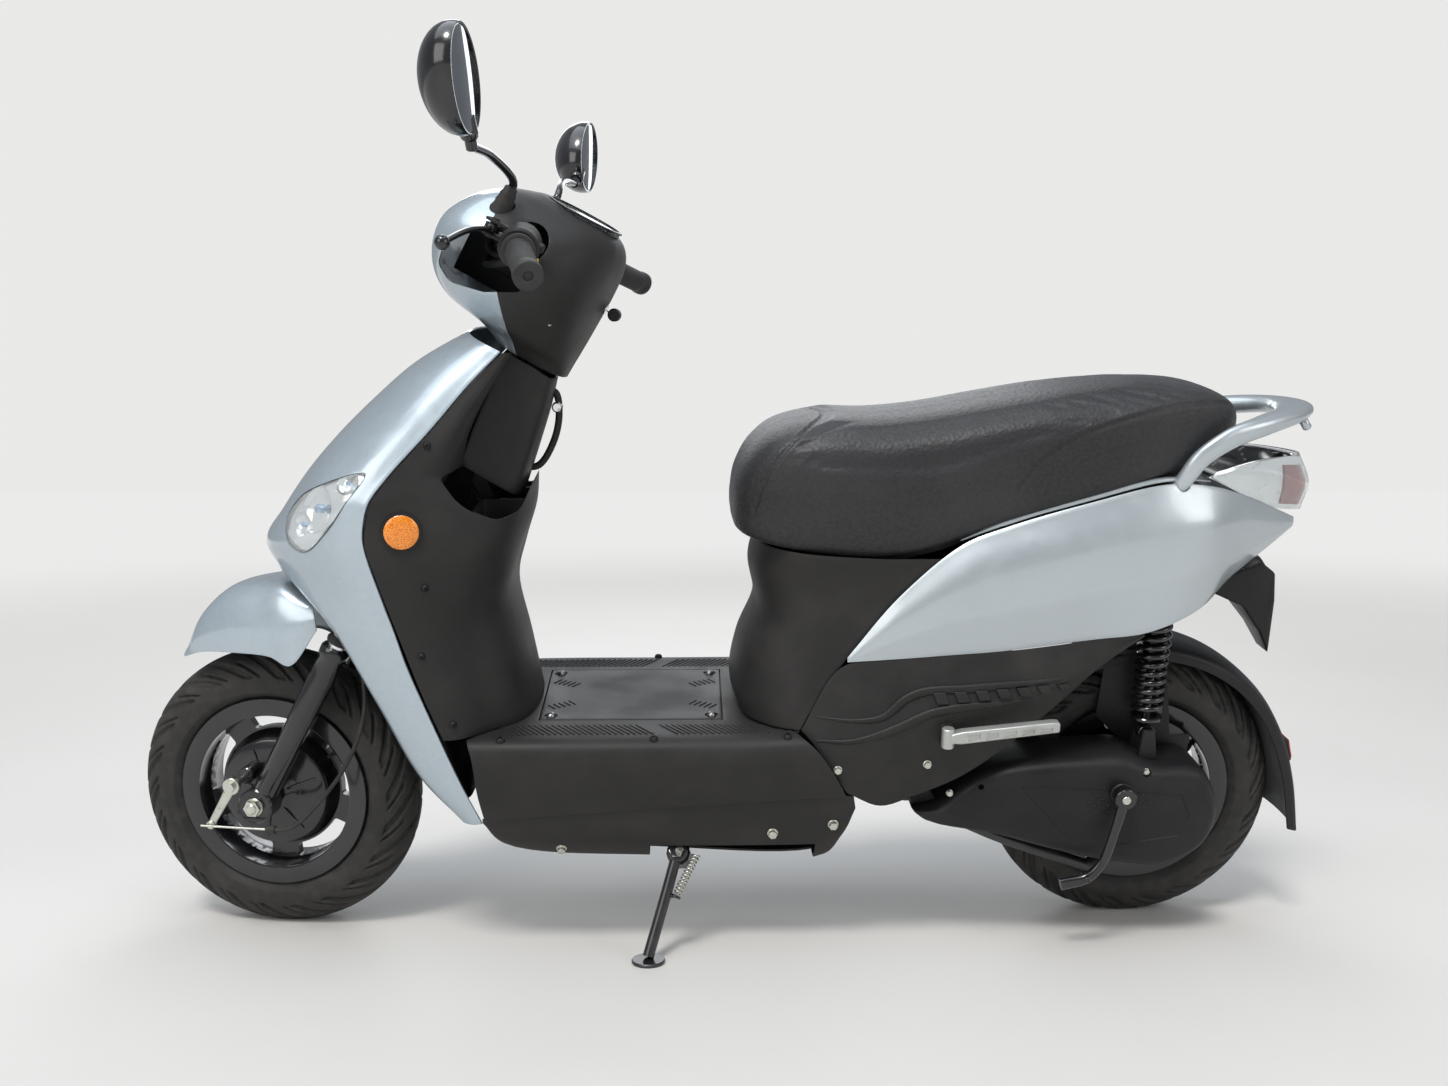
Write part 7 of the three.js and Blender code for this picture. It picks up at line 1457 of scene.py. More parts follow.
# Panel under the nose of the seat: a grained shell wrapped from one side to the other.
SEAT_PANEL_SHARES = [[[-0.515, -0.794, 0.512], [-0.667, -0.831, 0.516], [-0.833, -0.756, 0.525],
    [-0.913, -0.469, 0.529], [-0.933, 0, 0.529]],
    [[-0.582, -0.819, 0.449], [-0.717, -0.812, 0.449], [-0.858, -0.7, 0.447], [-0.928, -0.45, 0.449],
    [-0.948, 0, 0.449]], [[-0.667, -0.856, 0.33], [-0.767, -0.838, 0.33], [-0.867, -0.7, 0.33],
    [-0.92, -0.438, 0.33], [-0.935, 0, 0.33]], [[-0.75, -0.881, 0.192], [-0.825, -0.863, 0.192],
    [-0.9, -0.738, 0.192], [-0.957, -0.487, 0.192], [-0.975, 0, 0.192]],
    [[-0.81, -0.919, 0.071], [-0.867, -0.887, 0.071], [-0.925, -0.75, 0.071], [-0.972, -0.531, 0.071],
    [-0.99, 0, 0.071]], [[-0.838, -0.944, 0.008], [-0.88, -0.887, 0.008], [-0.922, -0.762, 0.008],
    [-0.957, -0.575, 0.008], [-0.973, 0, 0.008]],]


def rear_at(a, b, c):
    return Vector((a * REAR_SPAN, b * TAIL_HALF, DECK_HEIGHT + c * SEAT_RISE))


seat_panel = panel("seat_panel_shell", both_sides(rows_of(SEAT_PANEL_SHARES, rear_at)),
    Vector((0, 0, DECK_HEIGHT)), 3, 7, 8)
fit(seat_panel, "seat_front_panel", GRAINED)

# Side covers: painted mouldings with a crease along the flank, closing towards the tail lamp. A thin
# bright strip fills the seam to the seat towards the rear.
SIDE_SHARES = [
    [[-0.733, -0.894, 0.227], [-0.733, -0.9, 0.222], [-0.733, -0.906, 0.218], [-0.733, -0.906, 0.214]],
    [[-0.62, -0.863, 0.406], [-0.623, -0.931, 0.346], [-0.627, -0.956, 0.287], [-0.63, -0.931, 0.225]],
    [[-0.483, -0.794, 0.553], [-0.49, -0.931, 0.464], [-0.497, -0.988, 0.352], [-0.503, -0.938, 0.238]],
    [[-0.383, -0.775, 0.605], [-0.387, -0.925, 0.508], [-0.387, -0.981, 0.378], [-0.387, -0.925, 0.248]],
    [[-0.193, -0.744, 0.676], [-0.19, -0.894, 0.572], [-0.183, -0.95, 0.432], [-0.177, -0.869, 0.276]],
    [[-0.025, -0.694, 0.724], [-0.033, -0.838, 0.616], [-0.047, -0.91, 0.464], [-0.058, -0.87, 0.296]],
    [[0.083, -0.613, 0.713], [0.077, -0.76, 0.616], [0.07, -0.81, 0.486], [0.063, -0.74, 0.348]],
    [[0.183, -0.475, 0.659], [0.177, -0.55, 0.594], [0.17, -0.562, 0.508], [0.163, -0.463, 0.423]],
    [[0.28, -0.3, 0.603], [0.278, -0.338, 0.572], [0.275, -0.338, 0.542], [0.272, -0.287, 0.512]],
    [[0.323, -0.225, 0.577], [0.323, -0.237, 0.572], [0.322, -0.237, 0.566], [0.322, -0.225, 0.559]],
]
RAIL_SHARES = [
    [-0.02, -0.5, 0.68], [0.005, -0.64, 0.715], [0.045, -0.7, 0.8], [0.11, -0.66, 0.855],
    [0.19, -0.54, 0.885], [0.278, -0.3, 0.905], [0.312, 0, 0.912],
]
RAIL_SIZES = [
    [0.62, 0.75], [0.62, 0.9], [0.7, 1.1], [1.4, 1], [2.3, 0.85], [1.4, 1], [0.7, 1.1], [0.62, 0.9],
    [0.62, 0.75],
]
FLANK_CORE = Vector((-200, 0, 525))
rail_path = [rear_at(*p) for p in RAIL_SHARES]
rail_path += [Vector((p.x, -p.y, p.z)) for p in rail_path[-2::-1]]


def rail_form(name, grow, sides=28, steps=8):
    return sweep(name, rail_path, [(a * 13 + grow, b * 13 + grow) for a, b in RAIL_SIZES], sides,
        steps, power=0.86)


flank_rows = rows_of(SIDE_SHARES, rear_at)
for row in flank_rows[7:]:
    row[0].z += 6
side_cover = panel("side_cover_left_shell", flank_rows, FLANK_CORE, 3, 8, 8, ease=0, creases=(2,))
clearing = bake(rail_form("clearing", 1.2, 16, 5))
bake(cut(side_cover, clearing))
scrap(clearing)
soften(side_cover, 0.9, 2, 50)
upper_edge = [row[0] for row in rows_of(SIDE_SHARES, rear_at)][2:7]
strip = sweep("seam_strip", [p + Vector((0, 9, 5)) for p in upper_edge],
    [(1, 2), (4, 6.5), (4, 7), (3.5, 6), (1, 2)], 14, 6, (0, 1, 0), 0.8)
side_cover = merge("side_cover_left_shell", side_cover, strip)
other_cover = reflected(side_cover, "side_cover_right_shell")
fit(side_cover, "side_cover_left", SILVER, sharp=26)
fit(other_cover, "side_cover_right", SILVER, sharp=26)

# Lower trims: grained panels below the side covers with seven cast-in ribs, the bracket of the
# passenger peg, and a bolt at the front.
TRIM_SHARES = [
    [[-0.835, -0.95, 0.011], [-0.803, -1.019, -0.032], [-0.77, -1.069, -0.097], [-0.73, -1.05, -0.175]],
    [[-0.746, -0.9, 0.197], [-0.727, -1, 0.086], [-0.708, -1.1, -0.022], [-0.653, -1.025, -0.22]],
    [[-0.63, -0.925, 0.223], [-0.62, -1, 0.13], [-0.603, -1.087, 0.037], [-0.575, -1.012, -0.19]],
    [[-0.503, -0.935, 0.236], [-0.495, -1, 0.162], [-0.487, -1.075, 0.086], [-0.467, -0.994, -0.13]],
    [[-0.387, -0.922, 0.2465], [-0.382, -0.988, 0.179], [-0.377, -1.05, 0.114], [-0.353, -0.956, -0.028]],
    [[-0.258, -0.894, 0.263], [-0.255, -0.95, 0.21], [-0.252, -0.981, 0.158], [-0.247, -0.919, 0.091]],
    [[-0.167, -0.865, 0.276], [-0.163, -0.875, 0.244], [-0.16, -0.887, 0.218], [-0.157, -0.863, 0.192]],
    [[-0.06, -0.83, 0.288], [-0.058, -0.791, 0.284], [-0.057, -0.794, 0.281], [-0.055, -0.787, 0.276]],
]
trim = panel("lower_trim_left_shell", rows_of(TRIM_SHARES, rear_at), FLANK_CORE, 3, 8, 8, ease=0,
    creases=(2,))
bracket = bake(block("bracket", (-316.5, -178.85, 338), (-299.5, -163.2, 366), 1.5, 2))


def on_trim(x, z):
    return drop(trim, (x, -300, z), (0, 1, 0))


bead_lines = [[(-480, 369), (-430, 368), (-393, 374), (-362, 398), (-336, 408), (-280, 412), (-220, 417),
    (-170, 421), (-128, 425)], [(-480, 338), (-430, 342), (-380, 358), (-330, 380), (-290, 388),
    (-230, 393), (-190, 397)]]
beads = []
for line in bead_lines:
    spots = [on_trim(x, z) for x, z in line]
    path = [p - n * 0.6 for p, n in spots if p is not None]
    beads.append(sweep("bead", path, [(1.5, 1.5), (6.5, 4.6), (6.5, 4.6), (1.5, 1.5)], 18, 5, (0, 1, 0), 0.9))
for k in range(7):
    foot, height = -318 + k * 28, 16 - 1.3 * k
    corners = [(foot - 9, 399 + k * 2.1 + height / 2), (foot + 8, 400 + k * 2.1 + height / 2),
        (foot + 14, 400 + k * 2.1 - height / 2), (foot - 3, 399 + k * 2.1 - height / 2)]
    spots = [on_trim(x, z) for x, z in corners]
    if all(p is not None for p, n in spots):
        middle = sum((p for p, n in spots), Vector()) / 4
        rings = [[p.lerp(middle, inset) + n * out for p, n in spots] for inset,
            out in ((0, -2.5), (0, 1.6), (0.05, 3.8), (0.16, 5))]
        beads.append(soften(loft("rib", rings), 0.5, 2, 20))
trim_beads = merge("trim_beads_left", *beads)
trim_bolt = [drop(trim, (x, -300, z), (0, 1, 0)) for x, z in ((-452, 300), (-330, 305))]
trim_bolt = [(p, n) for p, n in trim_bolt if p is not None]
bake(cut(trim, bracket, operation="UNION"))
scrap(bracket)
soften(trim, 0.9, 2, 50)
other_trim = reflected(trim, "lower_trim_right_shell")
fit(trim, "lower_trim_left", GRAINED, sharp=30)
fit(other_trim, "lower_trim_right", GRAINED, sharp=30)
other_beads = reflected(trim_beads, "trim_beads_right")
fit(trim_beads, "lower_trim_left", GRAINED, hides=False)
fit(other_beads, "lower_trim_right", GRAINED, hides=False)
for word, side in (("left", 1), ("right", -1)):
    bolts = [(Vector((p.x, p.y * side, p.z)), Vector((n.x, n.y * side, n.z))) for p, n in trim_bolt]
    scatter(f"trim_bolts_{word}", BOLT, bolts, 6, ZINC, f"lower_trim_{word}")

# Passenger foot pegs: die cast alloy with a ribbed face, folded flat against the trims on a pin.
def peg_alloy():
    alloy = Finish("peg_alloy")
    sand = alloy.noise(700, 4)
    stain = alloy.noise(30, 5).above(0.6, 0.3)
    tone = alloy.mix(stain * 0.6, (0.50, 0.51, 0.49), (0.33, 0.33, 0.31))
    return alloy.surface(Base_Color=tone, Metallic=stain * -0.3 + 0.7, Roughness=sand * 0.2 + 0.34,
        Normal=alloy.bump(sand, 0.0003, 0.5))


PEG = peg_alloy()
for side, word in ((-1, "left"), (1, "right")):
    outline = [(-306, 346), (-290, 345.5), (-160, 361.5), (-160, 375), (-170, 375.5), (-290, 363),
        (-306, 359)]
    low_y, high_y = sorted((side * 179.4, side * 196))
    peg = soften(prism("peg", outline, low_y, high_y), 2.6, 3, 30)
    slots = [bake(prism("slot", [(-282 + k * 24, 349.5 + k * 2.7), (-266 + k * 24, 351.5 + k * 2.7),
        (-266 + k * 24, 361 + k * 1.9), (-282 + k * 24, 359.6 + k * 1.9)],
        *sorted((side * 193.5, side * 199)))) for k in range(5)]
    bake(cut(bake(peg), *slots))
    scrap(*slots)
    pin = bar("pin", (-308, side * 187.5, 338.2), (-308, side * 187.5, 365.8), 8.5, 36, 1)
    fit(merge(f"peg_{word}", soften(peg, 0.5, 2, 50), pin), f"footpeg_{word}", PEG)

# Grab rail: one flattened alloy bar in the body colour, from its bolted foot round behind the seat,
# with a small lip below its rear corner on each side.
rail = rail_form("grab_rail_bar", 0)
rail_foot = rear_at(*RAIL_SHARES[0])
pads = [block("pad", (rail_foot.x - 12, s * rail_foot.y - 12, rail_foot.z - 12),
    (rail_foot.x + 12, s * rail_foot.y + 12, rail_foot.z - 0.5), 2, 2) for s in (-1, 1)]
lips = [bar("lip", rear_at(0.31, s * 0.30, 0.89), rear_at(0.325, s * 0.30, 0.862), 6, 28, 2) for s in (-1, 1)]
fit(merge("grab_rail_bar", rail, *pads, *lips), "grab_rail", SILVER, sharp=50)

# Tail lamp: a clear cover over a chromed reflector with a red centre, between the side covers, and
# the plate bracket below it with its own small lamp.
TAIL_SHARES = [[[0.097, -0.56, 0.752], [0.2, -0.45, 0.775], [0.283, -0.281, 0.778],
    [0.333, -0.113, 0.775], [0.343, 0, 0.775]], [[0.09, -0.58, 0.745], [0.193, -0.475, 0.735],
    [0.287, -0.315, 0.71], [0.353, -0.175, 0.69], [0.37, 0, 0.69]],
    [[0.083, -0.6, 0.738], [0.187, -0.46, 0.692], [0.285, -0.285, 0.64], [0.342, -0.17, 0.61],
    [0.353, 0, 0.6]],]
PLATE_SHARES = [
    [0.12, 0.37], [0.2, 0.43], [0.25, 0.455], [0.285, 0.42], [0.295, 0.33], [0.31, 0.14], [0.275, 0.22],
    [0.22, 0.31],
]
tail_rows = both_sides(rows_of(TAIL_SHARES, rear_at))
for k, drop in ((1, 12), (2, 10), (-3, 10), (-2, 12)):
    tail_rows[-1][k].z -= drop
TAIL_CORE = Vector((0, 0, 621))
tail_lens = panel("tail_cover", tail_rows, TAIL_CORE, 3, 8, 8, ease=0.5)
fit(tail_lens, "tail_light", LENS)
tail_bowl = panel("tail_reflector", tail_rows, TAIL_CORE, 4, 8, 8, sink=6, ease=0.4)
fit(tail_bowl, "tail_light", REFLECTOR, hides=False)
TAIL_RED = reflex("tail_red", (0.40, 0.006, 0.012), (0.12, 0.0, 0.002))
top_row, mid_row, low_row = [row[2:-2] for row in tail_rows]
red_rows = [[a.lerp(b, 0.35) for a, b in zip(top_row, mid_row)], mid_row,
            [a.lerp(b, 0.85) for a, b in zip(mid_row, low_row)]]
red_part = panel("tail_red", red_rows, TAIL_CORE, 1.6, 8, 8, sink=3.6, ease=0)
fit(red_part, "tail_light", TAIL_RED, hides=False)
plate_outline = [(rear_at(a, 0, c).x, rear_at(a, 0, c).z) for a, c in PLATE_SHARES]
plate = soften(prism("plate", plate_outline, -52, 52), 4, 3, 25)
tip = min(z for x, z in plate_outline)
for vertex in plate.data.vertices:
    vertex.co.y *= min(1, 0.42 + (vertex.co.z - tip) / 190)
arm_box = block("arm", (51.6, -16, plate_outline[0][1] - 5), (72.4, 16, 636), 1.5, 2)
tie = soften(prism("tie", [plate_outline[0], plate_outline[1], (72.4, plate_outline[1][1]),
    (51.6, plate_outline[0][1] + 5), (51.6, plate_outline[0][1] - 5)], -16, 16), 1.5, 2, 30)
lamp_pod = sweep("pod", [rear_at(0.235, 0, 0.452), rear_at(0.262, 0, 0.43), rear_at(0.29, 0, 0.395)],
    [(24, 9), (27, 11), (20, 6)], 28, 5, (0, 0, 1), 0.8)
fit(merge("plate_bracket_form", plate, arm_box, tie, lamp_pod), "plate_bracket", DARK)

# Seat: moulded foam under black grained vinyl, sewn along a seam over the nose and one down each
# flank, and stapled to a plastic base that hinges at the front.
SEAT_SHARES = [
    [-0.994, 0.605, 0.655, 0.24], [-0.98, 0.572, 0.735, 0.49], [-0.942, 0.552, 0.815, 0.66],
    [-0.885, 0.537, 0.87, 0.76], [-0.8, 0.522, 0.895, 0.82], [-0.668, 0.511, 0.893, 0.85],
    [-0.555, 0.534, 0.907, 0.85], [-0.408, 0.603, 0.94, 0.84], [-0.267, 0.655, 0.97, 0.82],
    [-0.123, 0.706, 0.989, 0.77], [0.0, 0.756, 0.998, 0.68], [0.075, 0.801, 0.989, 0.6],
    [0.13, 0.827, 0.963, 0.48], [0.158, 0.849, 0.922, 0.33], [0.168, 0.864, 0.896, 0.18],
]
SECTION_SHARES = [
    [0, 0], [0.88, 0], [0.945, 0.09], [0.965, 0.34], [0.99, 0.54], [0.985, 0.7], [0.93, 0.84], [0.8, 0.93],
    [0.5, 0.985], [0, 1],
]
FRONT_SEAM = [[0.300, 1.0], [0.262, 0.82], [0.215, 0.66], [0.170, 0.50], [0.140, 0.34]]
SIDE_SEAM = [[0.520, 0.30], [0.545, 0.42], [0.585, 0.52], [0.650, 0.60], [0.740, 0.645], [0.850, 0.67]]
SEAM_DEPTH = 2.6
SEAM_WIDTH = 2.6
STATIONS = 110
seat_line = np.array(spline(SEAT_SHARES, 60))
section_line = np.array(spline([(y, z, 0) for y, z in SECTION_SHARES], 40))


def seat_at(along, around, side=-1):
    station = seat_line[min(int(along * (len(seat_line) - 1) + 0.5), len(seat_line) - 1)]
    y, z, _ = section_line[min(int(around * (len(section_line) - 1) + 0.5), len(section_line) - 1)]
    low, high = (DECK_HEIGHT + station[k] * SEAT_RISE for k in (1, 2))
    return Vector((station[0] * REAR_SPAN, side * y * station[3] * TAIL_HALF, low + (high - low) * z))


def vinyl():
    """Black vinyl with wrinkled leather grain, paler where it is rubbed."""
    skin = Finish("seat_vinyl")
    wrinkle = skin.cells(230, skin.place(size=(1, 1.25, 0.9)), "SMOOTH_F1")
    fine = skin.noise(1700, 3)
    rub = skin.noise(6, 4).above(0.52, 0.35)
    tone = skin.mix(wrinkle * 0.9, (0.030, 0.030, 0.032), (0.012, 0.012, 0.013))
    tone = skin.mix(rub * 0.35, tone, (0.05, 0.05, 0.053))
    deep = skin.bump(wrinkle ** 1.5, 0.0010, 0.55)
    return skin.surface(Base_Color=tone, Roughness=wrinkle * 0.12 + fine * 0.1 + 0.36,
        Specular_IOR_Level=0.34, Normal=skin.bump(fine, 0.0002, 0.3, deep))


def seam_paths():
    left, right = ([seat_at(a, b, s) for a, b in FRONT_SEAM] for s in (-1, 1))
    paths = [left[::-1] + right[1:]] + [[seat_at(a, b, s) for a, b in SIDE_SEAM] for s in (-1, 1)]
    return [np.array(spline(path, 14)) for path in paths]


def seam_distance(points):
    """How far each point is from the nearest seam."""
    best = np.full(len(points), 1e9)
    for path in seam_paths():
        for a, b in zip(path, path[1:]):
            t = np.clip((points - a) @ (b - a) / ((b - a) @ (b - a)), 0, 1)
            best = np.minimum(best, np.linalg.norm(points - (a + t[:, None] * (b - a)), axis=1))
    return best


def coordinates(obj):
    flat = np.empty(len(obj.data.vertices) * 3)
    obj.data.vertices.foreach_get("co", flat)
    return flat.reshape(-1, 3)


def normals_of(obj):
    flat = np.empty(len(obj.data.vertices) * 3)
    obj.data.vertex_normals.foreach_get("vector", flat)
    return flat.reshape(-1, 3)


def place_points(obj, points):
    obj.data.vertices.foreach_set("co", points.ravel())
    obj.data.update()


rings = []
for i in range(STATIONS + 1):
    left = [seat_at(i / STATIONS, j / 46) for j in range(47)]
    rings.append(left + [Vector((p.x, -p.y, p.z)) for p in left[-2:0:-1]])
cushion = loft("seat_cushion_cover", rings)
cushion.data.transform(to_metres)
modify(cushion, "REMESH", mode="VOXEL", voxel_size=0.005)
bake(cushion)
rest = coordinates(cushion)
under = np.interp(rest[:, 0] / MM, seat_line[:, 0] * REAR_SPAN, DECK_HEIGHT + seat_line[:, 1] * SEAT_RISE)
held = np.exp(-(seam_distance(rest / MM) / 7) ** 2)
held = np.maximum(held, np.clip(1 - (rest[:, 2] / MM - under - 6) / 14, 0, 1))
rest = rest - normals_of(cushion) * 0.0016
place_points(cushion, rest)
pinned = cushion.vertex_groups.new(name="sewn")
for index, weight in enumerate(held):
    if weight > 0.02:
        pinned.add([index], float(weight), "REPLACE")
cloth = cushion.modifiers.new("cover", "CLOTH")
cloth.settings.quality = 6
cloth.settings.mass = 0.4
cloth.settings.tension_stiffness = 26
cloth.settings.compression_stiffness = 12
cloth.settings.shear_stiffness = 12
cloth.settings.bending_stiffness = 4
cloth.settings.use_pressure = True
cloth.settings.uniform_pressure_force = 4
cloth.settings.vertex_group_mass = "sewn"
cloth.settings.effector_weights.gravity = 0
cloth.point_cache.frame_start = 1
cloth.point_cache.frame_end = 20
for frame_number in range(1, 21):
    scene.frame_set(frame_number)
bake(cushion)
scene.frame_set(1)
moved = coordinates(cushion) - rest
long = np.linalg.norm(moved, axis=1, keepdims=True)
place_points(cushion, rest + moved * np.minimum(1, 0.004 / np.maximum(long, 1e-9)))
modify(cushion, "SUBSURF", levels=1, render_levels=1)
bake(cushion)
points = coordinates(cushion)
groove = np.exp(-(seam_distance(points / MM) / SEAM_WIDTH) ** 2) * SEAM_DEPTH
welt = np.exp(-((seam_distance(points / MM) - 6.5) / 2.2) ** 2) * 0.5
place_points(cushion, points + normals_of(cushion) * ((welt - groove) * MM)[:, None])
cushion.data.transform(Matrix.Scale(1 / MM, 4))
stitch_path = [np.array(p) for p in seam_paths()]
stitches = []
for path in stitch_path:
    long = np.concatenate([[0], np.cumsum(np.linalg.norm(np.diff(path, axis=0), axis=1))])
    for at in np.arange(6, long[-1] - 4, 5.0):
        spot = Vector([np.interp(at, long, path[:, k]) for k in range(3)])
        ahead = Vector([np.interp(at + 1, long, path[:, k]) for k in range(3)]) - spot
        stitches.append((spot, ahead))
tree = BVHTree.FromPolygons([v.co for v in cushion.data.vertices],
    [p.vertices for p in cushion.data.polygons])
seated = []
for spot, ahead in stitches:
    near, normal, _, _ = tree.find_nearest(spot)
    aside = normal.cross(ahead.normalized())
    side_spot, side_normal, _, _ = tree.find_nearest(near + aside * 4.2)
    seated.append((side_spot + side_normal * 0.15, ahead))
fit(cushion, "seat_cushion", vinyl(), sharp=180)
THREAD = grained("black_thread", (0.02, 0.02, 0.022), 0.6, 1500, 0.0001)
stitch = bar("stitch", (0, 0, -1.6), (0, 0, 1.6), 0.42, 8, 0.3)
stitch.hide_render = True
scatter("seat_stitches", bake(stitch), seated, 1, THREAD, "seat_cushion", spin=0)

# What the covers hide keeps its plain form in its own finish: the welded frame in black enamel, the
# battery in its case, the bucket and base of the seat.
BATTERY = grained("battery_case", (0.035, 0.042, 0.052), 0.5, 260)
FRAME_PAINT = gloss_black("frame_enamel", (0.012, 0.012, 0.013), 0.3)
for node, finish in (("main_frame", FRAME_PAINT), ("battery_pack", BATTERY), ("storage_bucket", DARK),
    ("seat_base", GRAINED)):
    for slot in frame["nodes"][node].material_slots:
        slot.material = finish

# Drive unit: a cast swing arm and motor case in dark grained plastic with a rounded edge, two screw
# holes, a recess and a ring of dimples round the boss of the kick lever.
CASE_SHARES = [
    [-0.57, 0.535], [-0.52, 0.555], [-0.41, 0.675], [-0.15, 0.725], [-0.075, 0.725], [-0.015, 0.69],
    [0.095, 0.68], [0.135, 0.6], [0.146, 0.505], [0.118, 0.395], [0.035, 0.325], [-0.07, 0.33],
    [-0.24, 0.385], [-0.375, 0.445], [-0.545, 0.5],
]
SWING_X, SWING_Z = -325, 228
KICK_X, KICK_Z = -55, 252
case_points = [Vector((a * REAR_SPAN, 0, c * 2 * WHEEL_RADIUS)) for a, c in CASE_SHARES]


def case_outline(inset):
    """The smooth outline of the case, drawn in towards its middle."""
    steps = 5
    loop = spline(case_points[-2:] + case_points + case_points[:2], steps)[2 * steps:-steps - 1]
    return [(-110 + (p[0] + 110) * (1 - inset / 215), 222 + (p[2] - 222) * (1 - inset / 84)) for p in loop]


levels = [(4.5, -56), (1, -59), (0, -64), (0, -122), (1.2, -130), (4, -138), (8, -143), (13, -146.4),
    (20, -148)]
case_rings = [[Vector((x, y, z)) for x, z in case_outline(inset)] for inset, y in levels]
case = loft("drive_case_shell", case_rings)
case_tools = [bar("hole", (x, -152, z), (x, -138, z), r, 32, 0.01) for x, z,
    r in ((-292, 250, 7), (-20, 280, 6), (-250, 262, 4))]
dimples = []
for ring, count in ((26, 14), (33, 18), (40, 22), (47, 26)):
    for k in range(count):
        angle = 2 * math.pi * (k + ring % 2 * 0.5) / count
        x, z = KICK_X + ring * math.cos(angle), KICK_Z + ring * math.sin(angle)
        dimples.append((x, z))
recess = soften(prism("recess", [(-196, 262), (-150, 262), (30, 250), (44, 214), (30, 186), (-60, 172),
    (-128, 186)], -150, -146.6), 6, 4, 20)
bake(cut(bake(case), *[bake(t) for t in case_tools], bake(recess)))
scrap(*case_tools, recess)
soften(case, 0.8, 2, 45)
neck = bar("neck", (SWING_X, -118, SWING_Z), (SWING_X, 68.5, SWING_Z), 17, 40, 1)
arm = soften(prism("arm", [(-325, 214), (-235, 202), (-235, 242), (-325, 242)], -57, -44), 3, 2, 30)
stand_arm = soften(prism("carrier", [(-305, 204), (-278, 162), (-246, 162), (-246, 220)], -57, -44), 3, 2, 30)
pivot_pin = bar("pin", (SWING_X, -86, SWING_Z), (SWING_X, 80, SWING_Z), 8, 32, 0.8)
pivot_nut = hexagon("nut", (SWING_X, 80, SWING_Z), (SWING_X, 88, SWING_Z), 12)
shock_lugs = [soften(prism("lug", [(-27, 274), (5, 274), (-3, 330), (-19, 330)], y0, y1), 2, 2,
    30) for y0, y1 in ((-77, -69), (-115, -107))]
kick_boss = bar("boss", (KICK_X, -146, KICK_Z), (KICK_X, -154, KICK_Z), 16, 48, 1.5)
fit(merge("drive_case_shell", case, neck, arm, stand_arm, *shock_lugs, kick_boss), "drive_case", DARK,
    sharp=36)
shaft = bar("shaft", (REAR_AXLE.x, -61, REAR_AXLE.z), (REAR_AXLE.x, 52, REAR_AXLE.z), 7.4, 32, 1)
collar = bar("collar", (REAR_AXLE.x, -57, REAR_AXLE.z), (REAR_AXLE.x, -30.7, REAR_AXLE.z), 15.5, 40, 1)
shaft_nut = hexagon("nut", (REAR_AXLE.x, 30.7, REAR_AXLE.z), (REAR_AXLE.x, 44, REAR_AXLE.z), 15)
spindle = bar("spindle", (KICK_X, -150, KICK_Z), (KICK_X, -174, KICK_Z), 6, 32, 0.8)
fit(merge("rear_spindle", shaft, collar, shaft_nut, pivot_pin, pivot_nut, spindle), "drive_case",
    ZINC, hides=False)
dimple = lathe("dimple", [(0, 0.5), (0.7, 0.42), (1, 0.05), (1, -0.3), (0, -0.3)], (0, 0, 0), (0, 0, 1), 16)
dimple.hide_render = True
dimple_places = [(Vector((x, -146.6, z)), Vector((0, -1, 0))) for x,
    z in dimples if x < 20 and 226 < z < 254 and x > -128]
scatter("case_dimples", dimple, dimple_places, 2.0, DARK, "drive_case", spin=0)
scatter("case_screws", BOLT, [(Vector((-292, -139, 250)), Vector((0, -1, 0))),
    (Vector((-20, -139, 280)), Vector((0, -1, 0)))], 5, ZINC, "drive_case")

# Kick lever: a forged black crank on its spindle, with a folding foot piece.
hub = bar("hub", (KICK_X, -156.4, KICK_Z), (KICK_X, -171.6, KICK_Z), 0, 40,
    ends=[(6.5, 0), (14, 0), (15, 1), (15, 14.2), (14, 15.2), (6.5, 15.2)])
crank = sweep("crank", [(-57, -166, 244), (-67, -170, 206), (-81, -172, 161), (-101, -174, 138),
    (-139, -176, 128)], [(7.8, 5.6), (6.6, 5.4), (6.6, 5.4), (7.6, 6.4), (8.6, 5.6)], 24, 8, (0, 1, 0),
    0.85)
knuckle = bar("knuckle", (-103, -184, 138), (-103, -163, 138), 5, 28, 1)
fit(merge("kick_crank", hub, crank, knuckle), "kick_lever", GLOSS)

# Rear wheel cover: a dark plastic arc over the tyre with rolled edges, flared at its tail, and a red
# reflector in a black holder on it.
hugger_rows = []
for i in range(8):
    angle = math.radians(112 + (-14 - 112) * i / 7)
    flare = 26 if i == 7 else 6 if i == 6 else 0
    row = []
    for side, lift in ((-1, -0.16), (-0.97, -0.06), (-0.6, 0), (0, 0.02)):
        radius = 224 * (1 + lift * 0.6) + flare + 4
        row.append(Vector((radius * math.cos(angle), side * 62, 208 + radius * math.sin(angle))))
    hugger_rows.append(row)
arc_cover = panel("arc", both_sides(hugger_rows), Vector((0, 0, 208)), 4, 5, 8)
hold = soften(prism("hold", [(20, 250), (66, 262), (70, 300), (40, 300), (24, 440), (-60, 440),
    (-70, 330), (-30, 290)], -55.6, -52), 1, 2, 30)
tie = block("tie", (-62, -61, 424), (26, -52, 432), 1, 2)
fit(merge("rear_wheel_cover", arc_cover, hold, tie), "rear_hugger", DARK)
angle = math.radians(14)
out = Vector((math.cos(angle), 0, math.sin(angle)))
base = Vector((0, 0, 208)) + out * 229
up = Vector((-out.z, 0, out.x))
